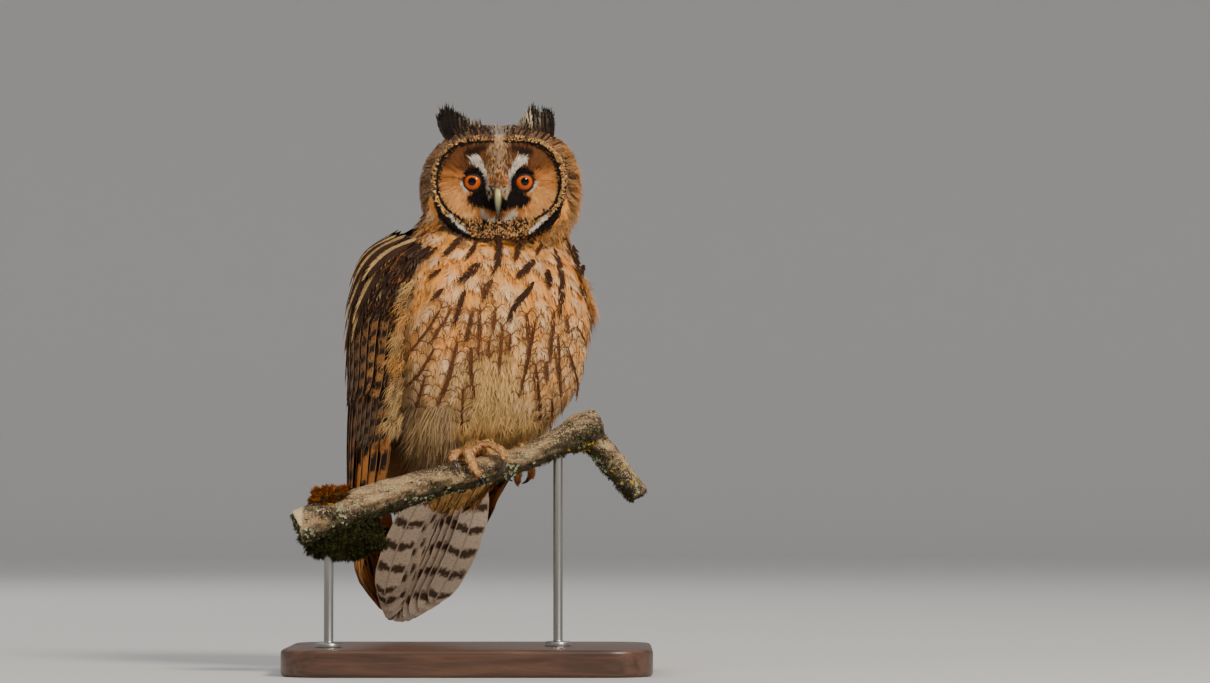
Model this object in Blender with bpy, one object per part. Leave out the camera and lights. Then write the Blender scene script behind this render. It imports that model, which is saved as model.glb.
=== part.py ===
"""A life-size long-eared owl that stands on a cut length of branch above a plain display base.

The origin is the middle of the base's underside, +Z is up, and the owl's face looks along -Y.
Sizes are millimetres, and a mesh is turned to metres as it is made. Points on the body are
given in the bird's own frame: how far to its right, how far forward, and how high above the floor.
"""

import math
import random

import bmesh
import bpy
from mathutils import Matrix, Vector

MM = 0.001
GAP = 0.32  # kept between pieces that touch

# The body's stance: its chest is turned from the face by this much, towards the left wing
BODY_YAW = math.radians(24)
BODY_MID = Vector((3, 5, 0))
TO_RIGHT = Vector((-math.cos(BODY_YAW), -math.sin(BODY_YAW), 0))
TO_FRONT = Vector((math.sin(BODY_YAW), -math.cos(BODY_YAW), 0))

# Level slices of the plumage: height, middle (right, forward), half width, depth in front, depth behind
TORSO_SLICES = (
    (144, -1, -30, 20, 15, 14),
    (151, -2, -22, 35, 28, 27),
    (161, -3, -15, 47, 40, 38),
    (174, -4, -9, 58, 49, 45),
    (192, -5, -4, 67, 55, 50),
    (214, -5, 0, 71, 58, 53),
    (238, -6, 3, 72, 59, 53),
    (260, -6, 5, 67, 53, 51),
    (276, -7, 6, 61, 46, 48),
    (290, -9, 7, 55, 36, 44),
    (303, -10, 7, 49, 27, 39),
    (316, -11, 6, 42, 20, 33),
)
TORSO_BOTTOM = 141
TORSO_TOP = 319
TORSO_SIDES = 28
TORSO_RINGS = 15
TORSO_SQUARENESS = 2.5  # 2 would be an ellipse

# The head, seen from the front: +x is the bird's left, z is up, and forward is -Y
HEAD_MID = Vector((20, -8, 322))
HEAD_HALF_WIDTH = 54.5
HEAD_ABOVE = 44.5
HEAD_BELOW = 40
HEAD_FRONT = 46
HEAD_BEHIND = 44
HEAD_SQUARENESS = (2.6, 2.25)  # on the bird's left, and on its right
RIM_HALF_WIDTH = 43
RIM_ABOVE = 35
RIM_BELOW = 33
RIM_SQUARENESS = 2.5
RIM_FORWARD = 31
HEAD_SIDES = 28
FACE_RINGS = (0.12, 0.25, 0.38, 0.5, 0.63, 0.78, 0.91, 1.0)
SKULL_RINGS = (36, 26, 14, 0, -16, -33, -50, -66, -79)  # degrees forward of the head's middle

EYE_RADIUS = 8.5
EYE_SPACING = 34
EYE_ABOVE = 3.8
EYE_OPENING = 6.3
EYE_PLANE = 31.5
EYE_TURN = math.radians(9)
LID_THICKNESS = 1.3


def world(right, forward, height):
    return BODY_MID + TO_RIGHT * right + TO_FRONT * forward + Vector((0, 0, height))


def between(rows, key):
    """Values at key, on a smooth line through rows of (key, value, value, ...)."""
    last = len(rows) - 1
    key = min(max(key, rows[0][0]), rows[last][0])
    i = 0
    while i < last - 1 and key > rows[i + 1][0]:
        i += 1
    start, end = rows[i], rows[i + 1]
    before, after = rows[max(i - 1, 0)], rows[min(i + 2, last)]
    span = end[0] - start[0]
    t = (key - start[0]) / span
    found = []
    for k in range(1, len(start)):
        leaving = (end[k] - before[k]) / (end[0] - before[0]) * span
        arriving = (after[k] - start[k]) / (after[0] - start[0]) * span
        found.append(
            (2 * t**3 - 3 * t**2 + 1) * start[k]
            + (t**3 - 2 * t**2 + t) * leaving
            + (3 * t**2 - 2 * t**3) * end[k]
            + (t**3 - t**2) * arriving
        )
    return found


def bump(distance, width):
    return math.exp(-((distance / width) ** 2))


def squared(value, power):
    return math.copysign(abs(value) ** power, value)


def material(name, colour, roughness, metallic=0.0):
    made = bpy.data.materials.get(name)
    if made is None:
        made = bpy.data.materials.new(name)
        made.use_nodes = True
        shader = made.node_tree.nodes["Principled BSDF"]
        shader.inputs["Base Color"].default_value = (*colour, 1)
        shader.inputs["Roughness"].default_value = roughness
        shader.inputs["Metallic"].default_value = metallic
    return made


def solid(name, points, faces, finish=None):
    """A mesh object from points in millimetres."""
    mesh = bpy.data.meshes.new(name)
    mesh.from_pydata([Vector(p) * MM for p in points], [], faces)
    mesh.update()
    made = bpy.data.objects.new(name, mesh)
    bpy.context.scene.collection.objects.link(made)
    if finish:
        mesh.materials.append(finish)
    return made


def loft(name, rings, finish=None):
    """A closed skin over rings of points. A ring of one point is a pole."""
    points, starts, faces = [], [], []
    for ring in rings:
        starts.append(len(points))
        points.extend(ring)
    for a, b in zip(range(len(rings)), range(1, len(rings))):
        many = max(len(rings[a]), len(rings[b]))
        for i in range(many):
            j = (i + 1) % many
            low, high = starts[a], starts[b]
            if len(rings[a]) == 1:
                faces.append((low, high + j, high + i))
            elif len(rings[b]) == 1:
                faces.append((low + i, low + j, high))
            else:
                faces.append((low + i, low + j, high + j, high + i))
    return facing_out(solid(name, points, faces, finish))


def facing_out(body):
    mesh = bmesh.new()
    mesh.from_mesh(body.data)
    bmesh.ops.recalc_face_normals(mesh, faces=mesh.faces)
    if mesh.calc_volume(signed=True) < 0:
        bmesh.ops.reverse_faces(mesh, faces=mesh.faces)
    mesh.to_mesh(body.data)
    mesh.free()
    return body


def swollen(body, by):
    """A copy of a body whose surface lies this much further out, for cutting what touches it."""
    copy = body.copy()
    copy.data = body.data.copy()
    bpy.context.scene.collection.objects.link(copy)
    mesh = bmesh.new()
    mesh.from_mesh(copy.data)
    mesh.normal_update()
    moves = [(v, v.normal * by * MM * v.calc_shell_factor()) for v in mesh.verts]
    for v, move in moves:
        v.co += move
    mesh.to_mesh(copy.data)
    mesh.free()
    return copy


def combine(body, operation, others, solver="MANIFOLD"):
    """Joins others to the body, or cuts them from it, and removes them."""
    group = bpy.data.collections.new("pieces")
    bpy.context.scene.collection.children.link(group)
    for other in others:
        group.objects.link(other)
    step = body.modifiers.new("combine", "BOOLEAN")
    step.operation = operation
    step.operand_type = "COLLECTION"
    step.collection = group
    step.solver = solver
    bpy.context.view_layer.objects.active = body
    bpy.ops.object.modifier_apply(modifier=step.name)
    for other in others:
        bpy.data.objects.remove(other)
    bpy.data.collections.remove(group)
    return keep_largest(body)


def cut_clear(body, others):
    """Cuts from a body what would touch the others."""
    for other in others:
        combine(body, "DIFFERENCE", [swollen(other, GAP)])
    return body


def keep_largest(body):
    """Leaves the largest closed surface of a body."""
    mesh = bmesh.new()
    mesh.from_mesh(body.data)
    bmesh.ops.triangulate(mesh, faces=mesh.faces)
    left, shells = set(mesh.verts), []
    while left:
        shell, edge = set(), [left.pop()]
        while edge:
            v = edge.pop()
            shell.add(v)
            for e in v.link_edges:
                other = e.other_vert(v)
                if other in left:
                    left.discard(other)
                    edge.append(other)
        shells.append(shell)
    shells.sort(key=len, reverse=True)
    scraps = [v for shell in shells[1:] for v in shell]
    bmesh.ops.delete(mesh, geom=scraps, context="VERTS")
    mesh.to_mesh(body.data)
    mesh.free()
    return body


def part_off(body, point, normal):
    """Removes what lies on the normal's side of a plane, and closes the cut."""
    mesh = bmesh.new()
    mesh.from_mesh(body.data)
    everything = mesh.verts[:] + mesh.edges[:] + mesh.faces[:]
    cut = bmesh.ops.bisect_plane(
        mesh, geom=everything, plane_co=Vector(point) * MM, plane_no=normal, clear_outer=True
    )
    rim = [e for e in cut["geom_cut"] if isinstance(e, bmesh.types.BMEdge)]
    bmesh.ops.holes_fill(mesh, edges=rim)
    mesh.to_mesh(body.data)
    mesh.free()
    return keep_largest(facing_out(body))


def duplicate(body, name):
    copy = body.copy()
    copy.data = body.data.copy()
    copy.name = name
    bpy.context.scene.collection.objects.link(copy)
    return copy


def limb(name, stations, sides=10, finish=None, steps=10):
    """A round limb through stations of (share of the length, x, y, z, radius), with flat ends."""
    places = [between(stations, k / steps) for k in range(steps + 1)]
    middles = [Vector(p[:3]) for p in places]
    across = None
    rings = [[middles[0]]]
    for k, middle in enumerate(middles):
        ahead = (middles[min(k + 1, steps)] - middles[max(k - 1, 0)]).normalized()
        guide = across if across else (Vector((1, 0, 0)) if abs(ahead.x) < 0.8 else Vector((0, 0, 1)))
        across = (guide - ahead * guide.dot(ahead)).normalized()
        third = ahead.cross(across)
        ring = []
        for i in range(sides):
            turn = 2 * math.pi * i / sides
            ring.append(middle + (across * math.cos(turn) + third * math.sin(turn)) * places[k][3])
        rings.append(ring)
    rings.append([middles[-1]])
    return loft(name, rings, finish)


def ball(name, middle, radius, around=20, rings=10, finish=None, stretch=(1, 1, 1)):
    middle = Vector(middle)
    hoops = [[middle + Vector((0, 0, -radius * stretch[2]))]]
    for k in range(1, rings):
        up = math.pi * k / rings - math.pi / 2
        hoop = []
        for i in range(around):
            turn = 2 * math.pi * i / around
            spot = (math.cos(up) * math.cos(turn), math.cos(up) * math.sin(turn), math.sin(up))
            hoop.append(middle + Vector([radius * s * c for s, c in zip(stretch, spot)]))
        hoops.append(hoop)
    hoops.append([middle + Vector((0, 0, radius * stretch[2]))])
    return loft(name, hoops, finish)


# Feathers that are long enough to stand off the body are thin curved plates, three points across.
# Their fullness along the shaft, as a share of the half width:
VANE_SHAPE = ((0, 0.5), (0.3, 0.9), (0.6, 1.0), (0.86, 0.86), (1, 0.22))
COVERT_SHAPE = ((0, 0.6), (0.35, 1.0), (0.84, 0.85), (1, 0.25))
VANE_THICKNESS = 0.85
VANE_EDGE = 0.55
TIP_THICKNESS = 0.45  # share of the full thickness
STEEPEST = 0.45  # the most that a shingled feather is tipped, as a slope


def vane(sheet, root, tip, halves, shape, ribs, sunk, height, ramp, step_up=0.0, apart=(1, 1)):
    """One feather on a sheet. A sheet gives a point and its normal from (along, across).

    root and tip are places on the sheet, and halves the width on each side of the shaft. The root
    is sunk this far below the sheet, and past the ramp the rest lies at the height. It is tipped
    like a shingle, to stand step_up above a neighbour that lies this far apart, at root and tip.
    The plate bends at the ribs, so that neighbours bend alike.
    """
    margin = 0.06 * (tip[0] - root[0])
    places = [root[0], *(rib for rib in ribs if root[0] + margin < rib < tip[0] - margin), tip[0]]
    points, faces = [], []
    step = 0.02
    for along in places:
        share = (along - root[0]) / (tip[0] - root[0])
        fullness = between(shape, share)[0]
        across = root[1] + (tip[1] - root[1]) * share
        scale = (sheet(along, across + step)[0] - sheet(along, across - step)[0]).length / (2 * step)
        rise = height - (height + sunk) * max(0, 1 - (along - root[0]) / ramp)
        spacing = (apart[0] + (apart[1] - apart[0]) * share) * scale
        roll = min(step_up / spacing, STEEPEST)
        thin = 1 if share < 1 else TIP_THICKNESS
        upper, lower = [], []
        for side in (-1, 0, 1):
            half = halves[0] if side < 0 else halves[1]
            spot, out = sheet(along, across + side * half * fullness / scale)
            lift = rise - side * half * fullness * roll
            thickness = (VANE_EDGE if side else VANE_THICKNESS) * thin
            upper.append(spot + out * (lift + thickness / 2))
            lower.append(spot + out * (lift - thickness / 2))
        points.extend(upper + lower[::-1])
    for k in range(len(places) - 1):
        for i in range(6):
            j = (i + 1) % 6
            a, b, c, d = k * 6 + i, k * 6 + j, k * 6 + 6 + j, k * 6 + 6 + i
            faces.extend(((a, b, c), (a, c, d)) if i < 3 else ((a, b, d), (b, c, d)))
    last = (len(places) - 1) * 6
    for start in (0, last):
        faces.extend(((start, start + 1, start + 4, start + 5), (start + 1, start + 2, start + 3, start + 4)))
    return facing_out(solid("vane", points, faces))


# Torso and neck


def torso_point(height, turn):
    """A point of the plumage. turn is 0 in front and a quarter turn on the bird's right."""
    right, forward, half, front, behind = between(TORSO_SLICES, height)
    power = 2 / TORSO_SQUARENESS
    depth = front if math.cos(turn) > 0 else behind
    return world(
        right + half * squared(math.sin(turn), power),
        forward + depth * squared(math.cos(turn), power),
        height,
    )


def torso_form(name):
    low, high = TORSO_SLICES[0][0], TORSO_SLICES[-1][0]
    rings = [[world(-1, -31, TORSO_BOTTOM)]]
    for k in range(TORSO_RINGS + 1):
        height = low + (high - low) * k / TORSO_RINGS
        turns = [2 * math.pi * i / TORSO_SIDES for i in range(TORSO_SIDES)]
        rings.append([torso_point(height, turn) for turn in turns])
    rings.append([world(-11, 2, TORSO_TOP)])
    return loft(name, rings)


# Head


def outline(turn, half_width, above, below, squareness):
    """Radius of a rounded box in a direction, 0 at the bird's left and a quarter turn upwards."""
    c, s = math.cos(turn), math.sin(turn)
    tall = above if s > 0 else below
    total = abs(c / half_width) ** squareness + abs(s / tall) ** squareness
    return total ** (-1 / squareness)


def face_height(x, z, share):
    """How far the face stands forward of the head's middle. share is 1 on the disc's rim."""
    side = abs(x)
    forward = RIM_FORWARD + 3 * (1 - share**2)
    forward += 5.5 * bump(x, 7) * min(max((z + 12) / 14, 0), 1) * min(max((40 - z) / 16, 0), 1)
    forward += 4.5 * bump(x, 9) * bump(z + 9, 9)
    forward += 2.4 * bump(side - 14, 7) * bump(z - 16, 4.5)
    forward -= 4.2 * bump(side - EYE_SPACING / 2, 9) * bump(z - EYE_ABOVE, 9)
    if share > 0.99:
        forward += 1.6
    elif share > 0.9:
        forward -= 1.4
    return forward


def on_head(x, z, forward):
    return HEAD_MID + Vector((x, -forward, z))


def head_form(name):
    turns = [2 * math.pi * i / HEAD_SIDES for i in range(HEAD_SIDES)]
    rings = [[on_head(0, 0, face_height(0, 0, 0))]]
    for share in FACE_RINGS:
        ring = []
        for turn in turns:
            reach = share * outline(turn, RIM_HALF_WIDTH, RIM_ABOVE, RIM_BELOW, RIM_SQUARENESS)
            x, z = reach * math.cos(turn), reach * math.sin(turn)
            ring.append(on_head(x, z, face_height(x, z, share)))
        rings.append(ring)
    for degrees in SKULL_RINGS:
        lean = math.radians(degrees)
        depth = (HEAD_FRONT if lean > 0 else HEAD_BEHIND) * math.sin(lean)
        ring = []
        for turn in turns:
            power = HEAD_SQUARENESS[0 if math.cos(turn) > 0 else 1]
            full = outline(turn, HEAD_HALF_WIDTH, HEAD_ABOVE, HEAD_BELOW, power)
            reach = full * math.cos(lean)
            ring.append(on_head(reach * math.cos(turn), reach * math.sin(turn), depth))
        rings.append(ring)
    rings.append([on_head(0, 0, -HEAD_BEHIND)])
    return loft(name, rings)


def eye_frame(side):
    """The middle of the eyeball and the way that it looks. side is 1 for the bird's left eye."""
    look = Vector((side * math.sin(EYE_TURN), -math.cos(EYE_TURN), 0))
    opening = on_head(side * EYE_SPACING / 2, EYE_ABOVE, EYE_PLANE)
    back = math.sqrt(EYE_RADIUS**2 - EYE_OPENING**2)
    return opening - look * back, look, opening


def lid(name, side):
    """The ring of lids round an eye, thicker above."""
    _, look, opening = eye_frame(side)
    across = Vector((0, 0, 1)).cross(look).normalized()
    up = look.cross(across)
    around, section = 16, 5
    points, faces = [], []
    for i in range(around):
        turn = 2 * math.pi * i / around
        out = across * math.cos(turn) + up * math.sin(turn)
        thick = LID_THICKNESS * (1.25 if math.sin(turn) > 0.2 else 1)
        for k in range(section):
            roll = 2 * math.pi * k / section
            spread = EYE_OPENING + 0.6 + thick * math.cos(roll)
            points.append(opening + out * spread + look * thick * math.sin(roll))
    for i in range(around):
        for k in range(section):
            a, b = i * section, (i + 1) % around * section
            n = (k + 1) % section
            faces.append((a + k, b + k, b + n, a + n))
    return facing_out(solid(name, points, faces))


def eyes(finish):
    made = []
    for side, word in ((1, "left"), (-1, "right")):
        middle, _, _ = eye_frame(side)
        made.append(ball(f"eye_{word}", middle, EYE_RADIUS, 16, 8, finish))
    return made


# Bill: share of its length, then forward, above, half width and half height, from the head's middle
UPPER_BILL = (
    (0, 33, 1.0, 3.7, 3.8),
    (0.3, 39.5, 0.4, 3.8, 4.0),
    (0.5, 43.6, -2.6, 3.6, 3.7),
    (0.7, 46.2, -8.2, 3.0, 3.1),
    (0.86, 46.4, -14.0, 2.1, 2.1),
    (1.0, 44.6, -20.5, 0.35, 0.4),
)
LOWER_BILL = (
    (0, 34, -7.0, 3.1, 2.2),
    (0.5, 39.4, -10.0, 2.8, 2.2),
    (0.8, 41.8, -13.2, 2.1, 1.8),
    (1.0, 42.8, -16.2, 0.6, 0.6),
)
NOSTRIL = (39.8, 1.4, 3.6, 0.9)  # forward, above, to the side, radius


def bill_half(name, rows, finish, sides=11, steps=8):
    spine = [between(rows, k / steps) for k in range(steps + 1)]
    rings = [[on_head(0, spine[0][1], spine[0][0])]]
    for k, (forward, above, wide, tall) in enumerate(spine):
        last, following = spine[max(k - 1, 0)], spine[min(k + 1, steps)]
        ahead = Vector((following[0] - last[0], following[1] - last[1])).normalized()
        ring = []
        for i in range(sides):
            turn = 2 * math.pi * i / sides
            off = tall * math.sin(turn)
            x = wide * math.cos(turn) * (1 if math.sin(turn) > 0 else 0.9)
            ring.append(on_head(x, above + off * ahead[0], forward - off * ahead[1]))
        rings.append(ring)
    rings.append([on_head(0, spine[-1][1], spine[-1][0])])
    return loft(name, rings, finish)


def bill(head, finish):
    upper = bill_half("bill_upper", UPPER_BILL, finish)
    lower = bill_half("bill_lower", LOWER_BILL, finish)
    forward, above, aside, radius = NOSTRIL
    pits = [ball("pit", on_head(s * aside, above, forward), radius, 8, 6) for s in (-1, 1)]
    combine(upper, "DIFFERENCE", [swollen(head, GAP)])
    combine(upper, "DIFFERENCE", pits)
    combine(lower, "DIFFERENCE", [swollen(upper, GAP)])
    combine(lower, "DIFFERENCE", [swollen(head, GAP)])
    return upper, lower


# Tail: its root and tip, and the sleeve of coverts round its root
TAIL_ROOT = Vector((2, 40, 160))
TAIL_TIP = Vector((-54, 100, 29))
TAIL_ALONG = (TAIL_TIP - TAIL_ROOT).normalized()
TAIL_ACROSS = (TO_RIGHT - TAIL_ALONG * TO_RIGHT.dot(TAIL_ALONG)).normalized()
TAIL_BEHIND = TAIL_ACROSS.cross(TAIL_ALONG)
if TAIL_BEHIND.y < 0:
    TAIL_BEHIND.negate()
TAIL_LENGTH = (TAIL_TIP - TAIL_ROOT).length
TAIL_PARTING = 20
RUMP = ((-26, 34, 26), (-12, 36, 24), (4, 33, 18), (20, 29, 12), (36, 24, 7.5), (50, 19, 4), (60, 13, 2))


def on_tail(along, across, behind):
    return TAIL_ROOT + TAIL_ALONG * along + TAIL_ACROSS * across + TAIL_BEHIND * behind


def rump_form(name, sides=16):
    rings = [[on_tail(RUMP[0][0] - 2, 0, 0)]]
    for along, wide, deep in RUMP:
        ring = []
        for i in range(sides):
            turn = 2 * math.pi * i / sides
            ring.append(on_tail(along, wide * math.cos(turn), deep * math.sin(turn)))
        rings.append(ring)
    rings.append([on_tail(RUMP[-1][0] + 2, 0, 0)])
    return loft(name, rings)


# Tail feathers on one side, from the middle outwards. The outer ones are shorter and lie beneath
RECTRICES = 6
RECTRIX_HALF = 11.5
RECTRIX_ENDS = (154, 153, 151, 147, 141, 133)
RECTRIX_ROOT = 24
RECTRIX_SHAPE = ((0, 0.4), (0.25, 0.8), (0.55, 1), (0.86, 0.9), (1, 0.25))
TAIL_RIBS = (50, 85, 120, 140)
FAN_SPACING = 4.3
RECTRIX_STACK = 1.3
TAIL_ENVELOPE = ((0, 20), (40, 36), (85, 38), (112, 35), (130, 29), (144, 22), (156, 10))


TAIL_SPREAD = ((20, 0.42), (55, 0.88), (92, 1.0), (128, 0.84), (154, 0.62))


def tail_sheet(along, across):
    """The tail is widest about two thirds of the way down, and its tips close in again."""
    return on_tail(along, across * between(TAIL_SPREAD, along)[0], 0), TAIL_BEHIND


def tail_vanes():
    made = []
    for side in (-1, 1):
        for i, end in enumerate(RECTRIX_ENDS):
            aside = i + 0.5
            high = (RECTRICES / 2 - i) * RECTRIX_STACK
            if i == 0 and side > 0:
                high += RECTRIX_STACK
            middle = RECTRIX_HALF if i == 0 else min(RECTRIX_HALF, aside * FAN_SPACING - 0.5)
            halves = (RECTRIX_HALF, middle) if side < 0 else (middle, RECTRIX_HALF)
            root = (RECTRIX_ROOT, side * aside * FAN_SPACING)
            tip = (end, side * aside * FAN_SPACING)
            made.append(vane(tail_sheet, root, tip, halves, RECTRIX_SHAPE, TAIL_RIBS, -high * 0.8, high, 25))
    return made


def tail_envelope(name, thickness=12):
    """A smooth form that holds all of the tail feathers, for cutting what lies against them."""
    rings = [[on_tail(-2, 0, 0)]]
    for along, wide in TAIL_ENVELOPE:
        sweep = [(-1, 1), (-0.5, 1), (0, 1), (0.5, 1), (1, 1), (1, -1), (0.5, -1), (0, -1), (-0.5, -1), (-1, -1)]
        rings.append([on_tail(along, wide * s, f * thickness / 2) for s, f in sweep])
    rings.append([on_tail(TAIL_ENVELOPE[-1][0] + 1, 0, 0)])
    return loft(name, rings)


# Wings: share of the way from shoulder to tip, then the front edge (right, forward, height), the
# corner that the wing's outer sheet rounds (right, forward), and the back edge (right, forward, height)
RIGHT_WING = (
    (0.00, 38, 26, 288, 64, -27, 2, -37, 301),
    (0.07, 52, 30, 274, 90, -40, 3, -48, 286),
    (0.17, 63, 31, 250, 97, -46, 5, -55, 257),
    (0.29, 66, 28, 224, 99, -50, 6, -59, 224),
    (0.41, 65, 22, 196, 96, -55, 5, -63, 194),
    (0.55, 62, 10, 164, 95, -62, 4, -68, 158),
    (0.69, 58, -12, 128, 89, -71, 4, -77, 122),
    (0.82, 58, -44, 94, 74, -88, 5, -95, 91),
    (0.93, 51, -80, 62, 54, -102, 11, -107, 61),
    (1.00, 31, -101, 39, 27, -113, 17, -115, 38),
)
LEFT_WING = (
    (0.00, -40, 24, 286, -66, -27, -5, -37, 301),
    (0.07, -54, 26, 272, -86, -38, -7, -48, 286),
    (0.17, -68, 18, 250, -98, -46, -7, -55, 257),
    (0.29, -72, 10, 224, -100, -50, -6, -59, 224),
    (0.41, -69, 0, 197, -96, -54, -4, -63, 194),
    (0.55, -60, -18, 166, -84, -62, -2, -67, 158),
    (0.69, -44, -46, 132, -58, -73, 1, -75, 126),
    (0.82, -37, -70, 100, -44, -92, 2, -92, 96),
    (0.93, -24, -94, 70, -28, -109, -1, -110, 68),
    (1.00, -13, -106, 47, -14, -117, -3, -118, 45),
)
WING_FULLNESS = 0.8  # how far the outer sheet goes into its corner


def wing_spot(rows, along, across):
    """A point of the wing's outer sheet. across is 0 at the front edge and 1 at the back edge."""
    fr, ff, fh, cr, cf, br, bf, bh = between(rows, along)
    front, back = world(fr, ff, fh), world(br, bf, bh)
    corner = world(cr, cf, (fh + bh) / 2)
    first = front.lerp(corner, WING_FULLNESS)
    second = back.lerp(corner, WING_FULLNESS)
    rest = 1 - across
    return front * rest**3 + 3 * first * rest**2 * across + 3 * second * rest * across**2 + back * across**3


def wing_normal(rows, along, across):
    step = 0.02
    low, high = max(along - step, 0), min(along + step, 1)
    down = wing_spot(rows, high, across) - wing_spot(rows, low, across)
    near, far = max(across - step, 0), min(across + step, 1)
    over = wing_spot(rows, along, far) - wing_spot(rows, along, near)
    out = down.cross(over).normalized()
    return -out if rows is RIGHT_WING else out


WING_CORE_DROP = ((0, 0), (0.12, 0.6), (0.26, 2.2), (0.5, 3.6), (1, 3.6))
WING_CORE_DEPTH = ((0, 14), (0.15, 20), (0.4, 18), (0.55, 8), (0.7, 5), (0.85, 3), (1, 1.6))
WING_CORE_END = 0.74

# Tiers of wing feathers, lowest first: how many, the root and tip (along, across) of the first and of
# the last, how far the middle tips reach past a line between those, half width, sunk, height
WING_TIERS = (
    (7, (0.48, 0.08), (0.48, 0.56), (0.965, 0.12), (0.92, 0.86), 0.05, 9.5, 7.0, -2.4),
    (5, (0.32, 0.38), (0.32, 0.86), (0.74, 0.50), (0.68, 0.93), 0.03, 11.5, 6.0, 0.0),
    (2, (0.22, 0.80), (0.22, 0.92), (0.60, 0.78), (0.56, 0.92), 0, 10.5, 5.0, 2.6),
    (3, (0.36, 0.07), (0.36, 0.24), (0.57, 0.09), (0.58, 0.27), 0, 9.0, 6.0, 0.2),
    (5, (0.19, 0.12), (0.19, 0.70), (0.43, 0.12), (0.40, 0.74), 0.02, 12.0, 5.0, 2.2),
    (4, (0.04, 0.42), (0.04, 0.92), (0.27, 0.40), (0.31, 0.90), 0.02, 12.5, 4.0, 2.4),
)
WING_STEP = 1.3  # how far each feather stands above the one that it overlaps
WING_RAMP = 0.13
WING_RIBS = (0, 0.07, 0.16, 0.27, 0.38, 0.5, 0.62, 0.74, 0.85, 0.94)


def wing_sheet(rows):
    return lambda along, across: (wing_spot(rows, along, across), wing_normal(rows, along, across))


def wing_core(name, rows, widths=5):
    """The wing beneath its long feathers, as a slab whose inner face is later cut to the body."""
    rings = []
    for along in [rib for rib in WING_RIBS if rib < WING_CORE_END] + [WING_CORE_END]:
        drop = between(WING_CORE_DROP, along)[0]
        depth = between(WING_CORE_DEPTH, along)[0]
        outer, inner = [], []
        for i in range(widths + 1):
            across = 0.03 + 0.94 * i / widths
            edge = 0.35 + 0.65 * math.sin(math.pi * min(max(across, 0.06), 0.94))
            spot, out = wing_spot(rows, along, across), wing_normal(rows, along, across)
            outer.append(spot - out * drop)
            inner.append(spot - out * (drop + depth * edge))
        rings.append(outer + inner[::-1])
    first = sum(rings[0], Vector()) / len(rings[0])
    last = sum(rings[-1], Vector()) / len(rings[-1])
    return loft(name, [[first], *rings, [last]])


def wing_vanes(rows, seed):
    chance = random.Random(seed)
    sheet = wing_sheet(rows)
    made = []
    for tier, (many, root_a, root_b, tip_a, tip_b, reach, half, sunk, height) in enumerate(WING_TIERS):
        shape = VANE_SHAPE if tier < 3 else COVERT_SHAPE
        apart = [(b[1] - a[1]) / (many - 1) for a, b in ((root_a, root_b), (tip_a, tip_b))]
        for i in range(many):
            share = i / (many - 1)
            root = [a + (b - a) * share for a, b in zip(root_a, root_b)]
            tip = [a + (b - a) * share for a, b in zip(tip_a, tip_b)]
            tip[0] += reach * 4 * share * (1 - share) + chance.uniform(-0.006, 0.006)
            halves = (half, half)
            made.append(
                vane(sheet, root, tip, halves, shape, WING_RIBS, sunk, height, WING_RAMP, WING_STEP, apart)
            )
    return made


def wing(name, rows, seed, clear_of, finish):
    body = wing_core(name, rows)
    body.data.materials.append(finish)
    combine(body, "UNION", wing_vanes(rows, seed))
    cut_clear(body, clear_of)
    return combine(body, "DIFFERENCE", [tail_envelope("envelope")])


# Perch: share of its length, x, y, z and radius
PERCH = (
    (0.00, -112, -41, 96, 13.5),
    (0.11, -90, -37, 105, 12.6),
    (0.27, -58, -31, 116, 11.6),
    (0.45, -22, -24, 127.5, 10.6),
    (0.61, 10, -18, 135, 9.8),
    (0.75, 38, -12, 143.5, 8.6),
    (0.87, 60, -7, 154, 10.0),
    (0.95, 75, -4, 161.5, 13.4),
    (1.00, 87, -1, 165.5, 12.0),
)
PERCH_SIDES = 12
PERCH_STEPS = 16
SNAG = ((0, 80, -3, 160, 7.5), (0.3, 90, -1, 147, 8.8), (0.65, 101, 2, 133, 8.4), (1, 113, 5, 118, 8.0))


def branch(name, rows, sides, steps, finish, roughness, seed):
    """A branch whose bark is uneven."""
    chance = random.Random(seed)
    made = limb(name, rows, sides, finish, steps)
    places = [Vector(between(rows, k / 40)[:3]) * MM for k in range(41)]
    for v in made.data.vertices:
        middle = min(places, key=lambda p: (p - v.co).length)
        away = v.co - middle
        if away.length > 0.003:
            v.co = middle + away * (1 + chance.uniform(-roughness, roughness))
    return made


def moss_lump(name, middle, size, finish, seed, clear_of):
    """A clump of moss, cut clear of what it grows on one piece at a time."""
    chance = random.Random(seed)
    made = ball(name, (0, 0, 0), 1, 12, 8, finish)
    for v in made.data.vertices:
        spot = v.co / MM
        grown = 1 + chance.uniform(-0.16, 0.16)
        v.co = (Vector(middle) + Vector([s * c for s, c in zip(size, spot)]) * grown) * MM
    return cut_clear(made, clear_of)


# Legs and feet. Places on the perch: how far along it from the foot, the turn over it from its
# top towards the front in degrees, and the distance from its middle line
FOOT_SHARE = 0.61
GRIP = PERCH[4][4] + 0.8
TOE = 3.5


def on_perch(along, degrees, reach):
    here = Vector(between(PERCH, FOOT_SHARE)[:3])
    beyond = Vector(between(PERCH, FOOT_SHARE + 0.05)[:3])
    behind = Vector(between(PERCH, FOOT_SHARE - 0.05)[:3])
    ahead = (beyond - behind).normalized()
    up = (Vector((0, 0, 1)) - ahead * ahead.z).normalized()
    front = up.cross(ahead)
    if front.y > 0:
        front.negate()
    turn = math.radians(degrees)
    return here + ahead * along + (up * math.cos(turn) + front * math.sin(turn)) * reach


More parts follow.
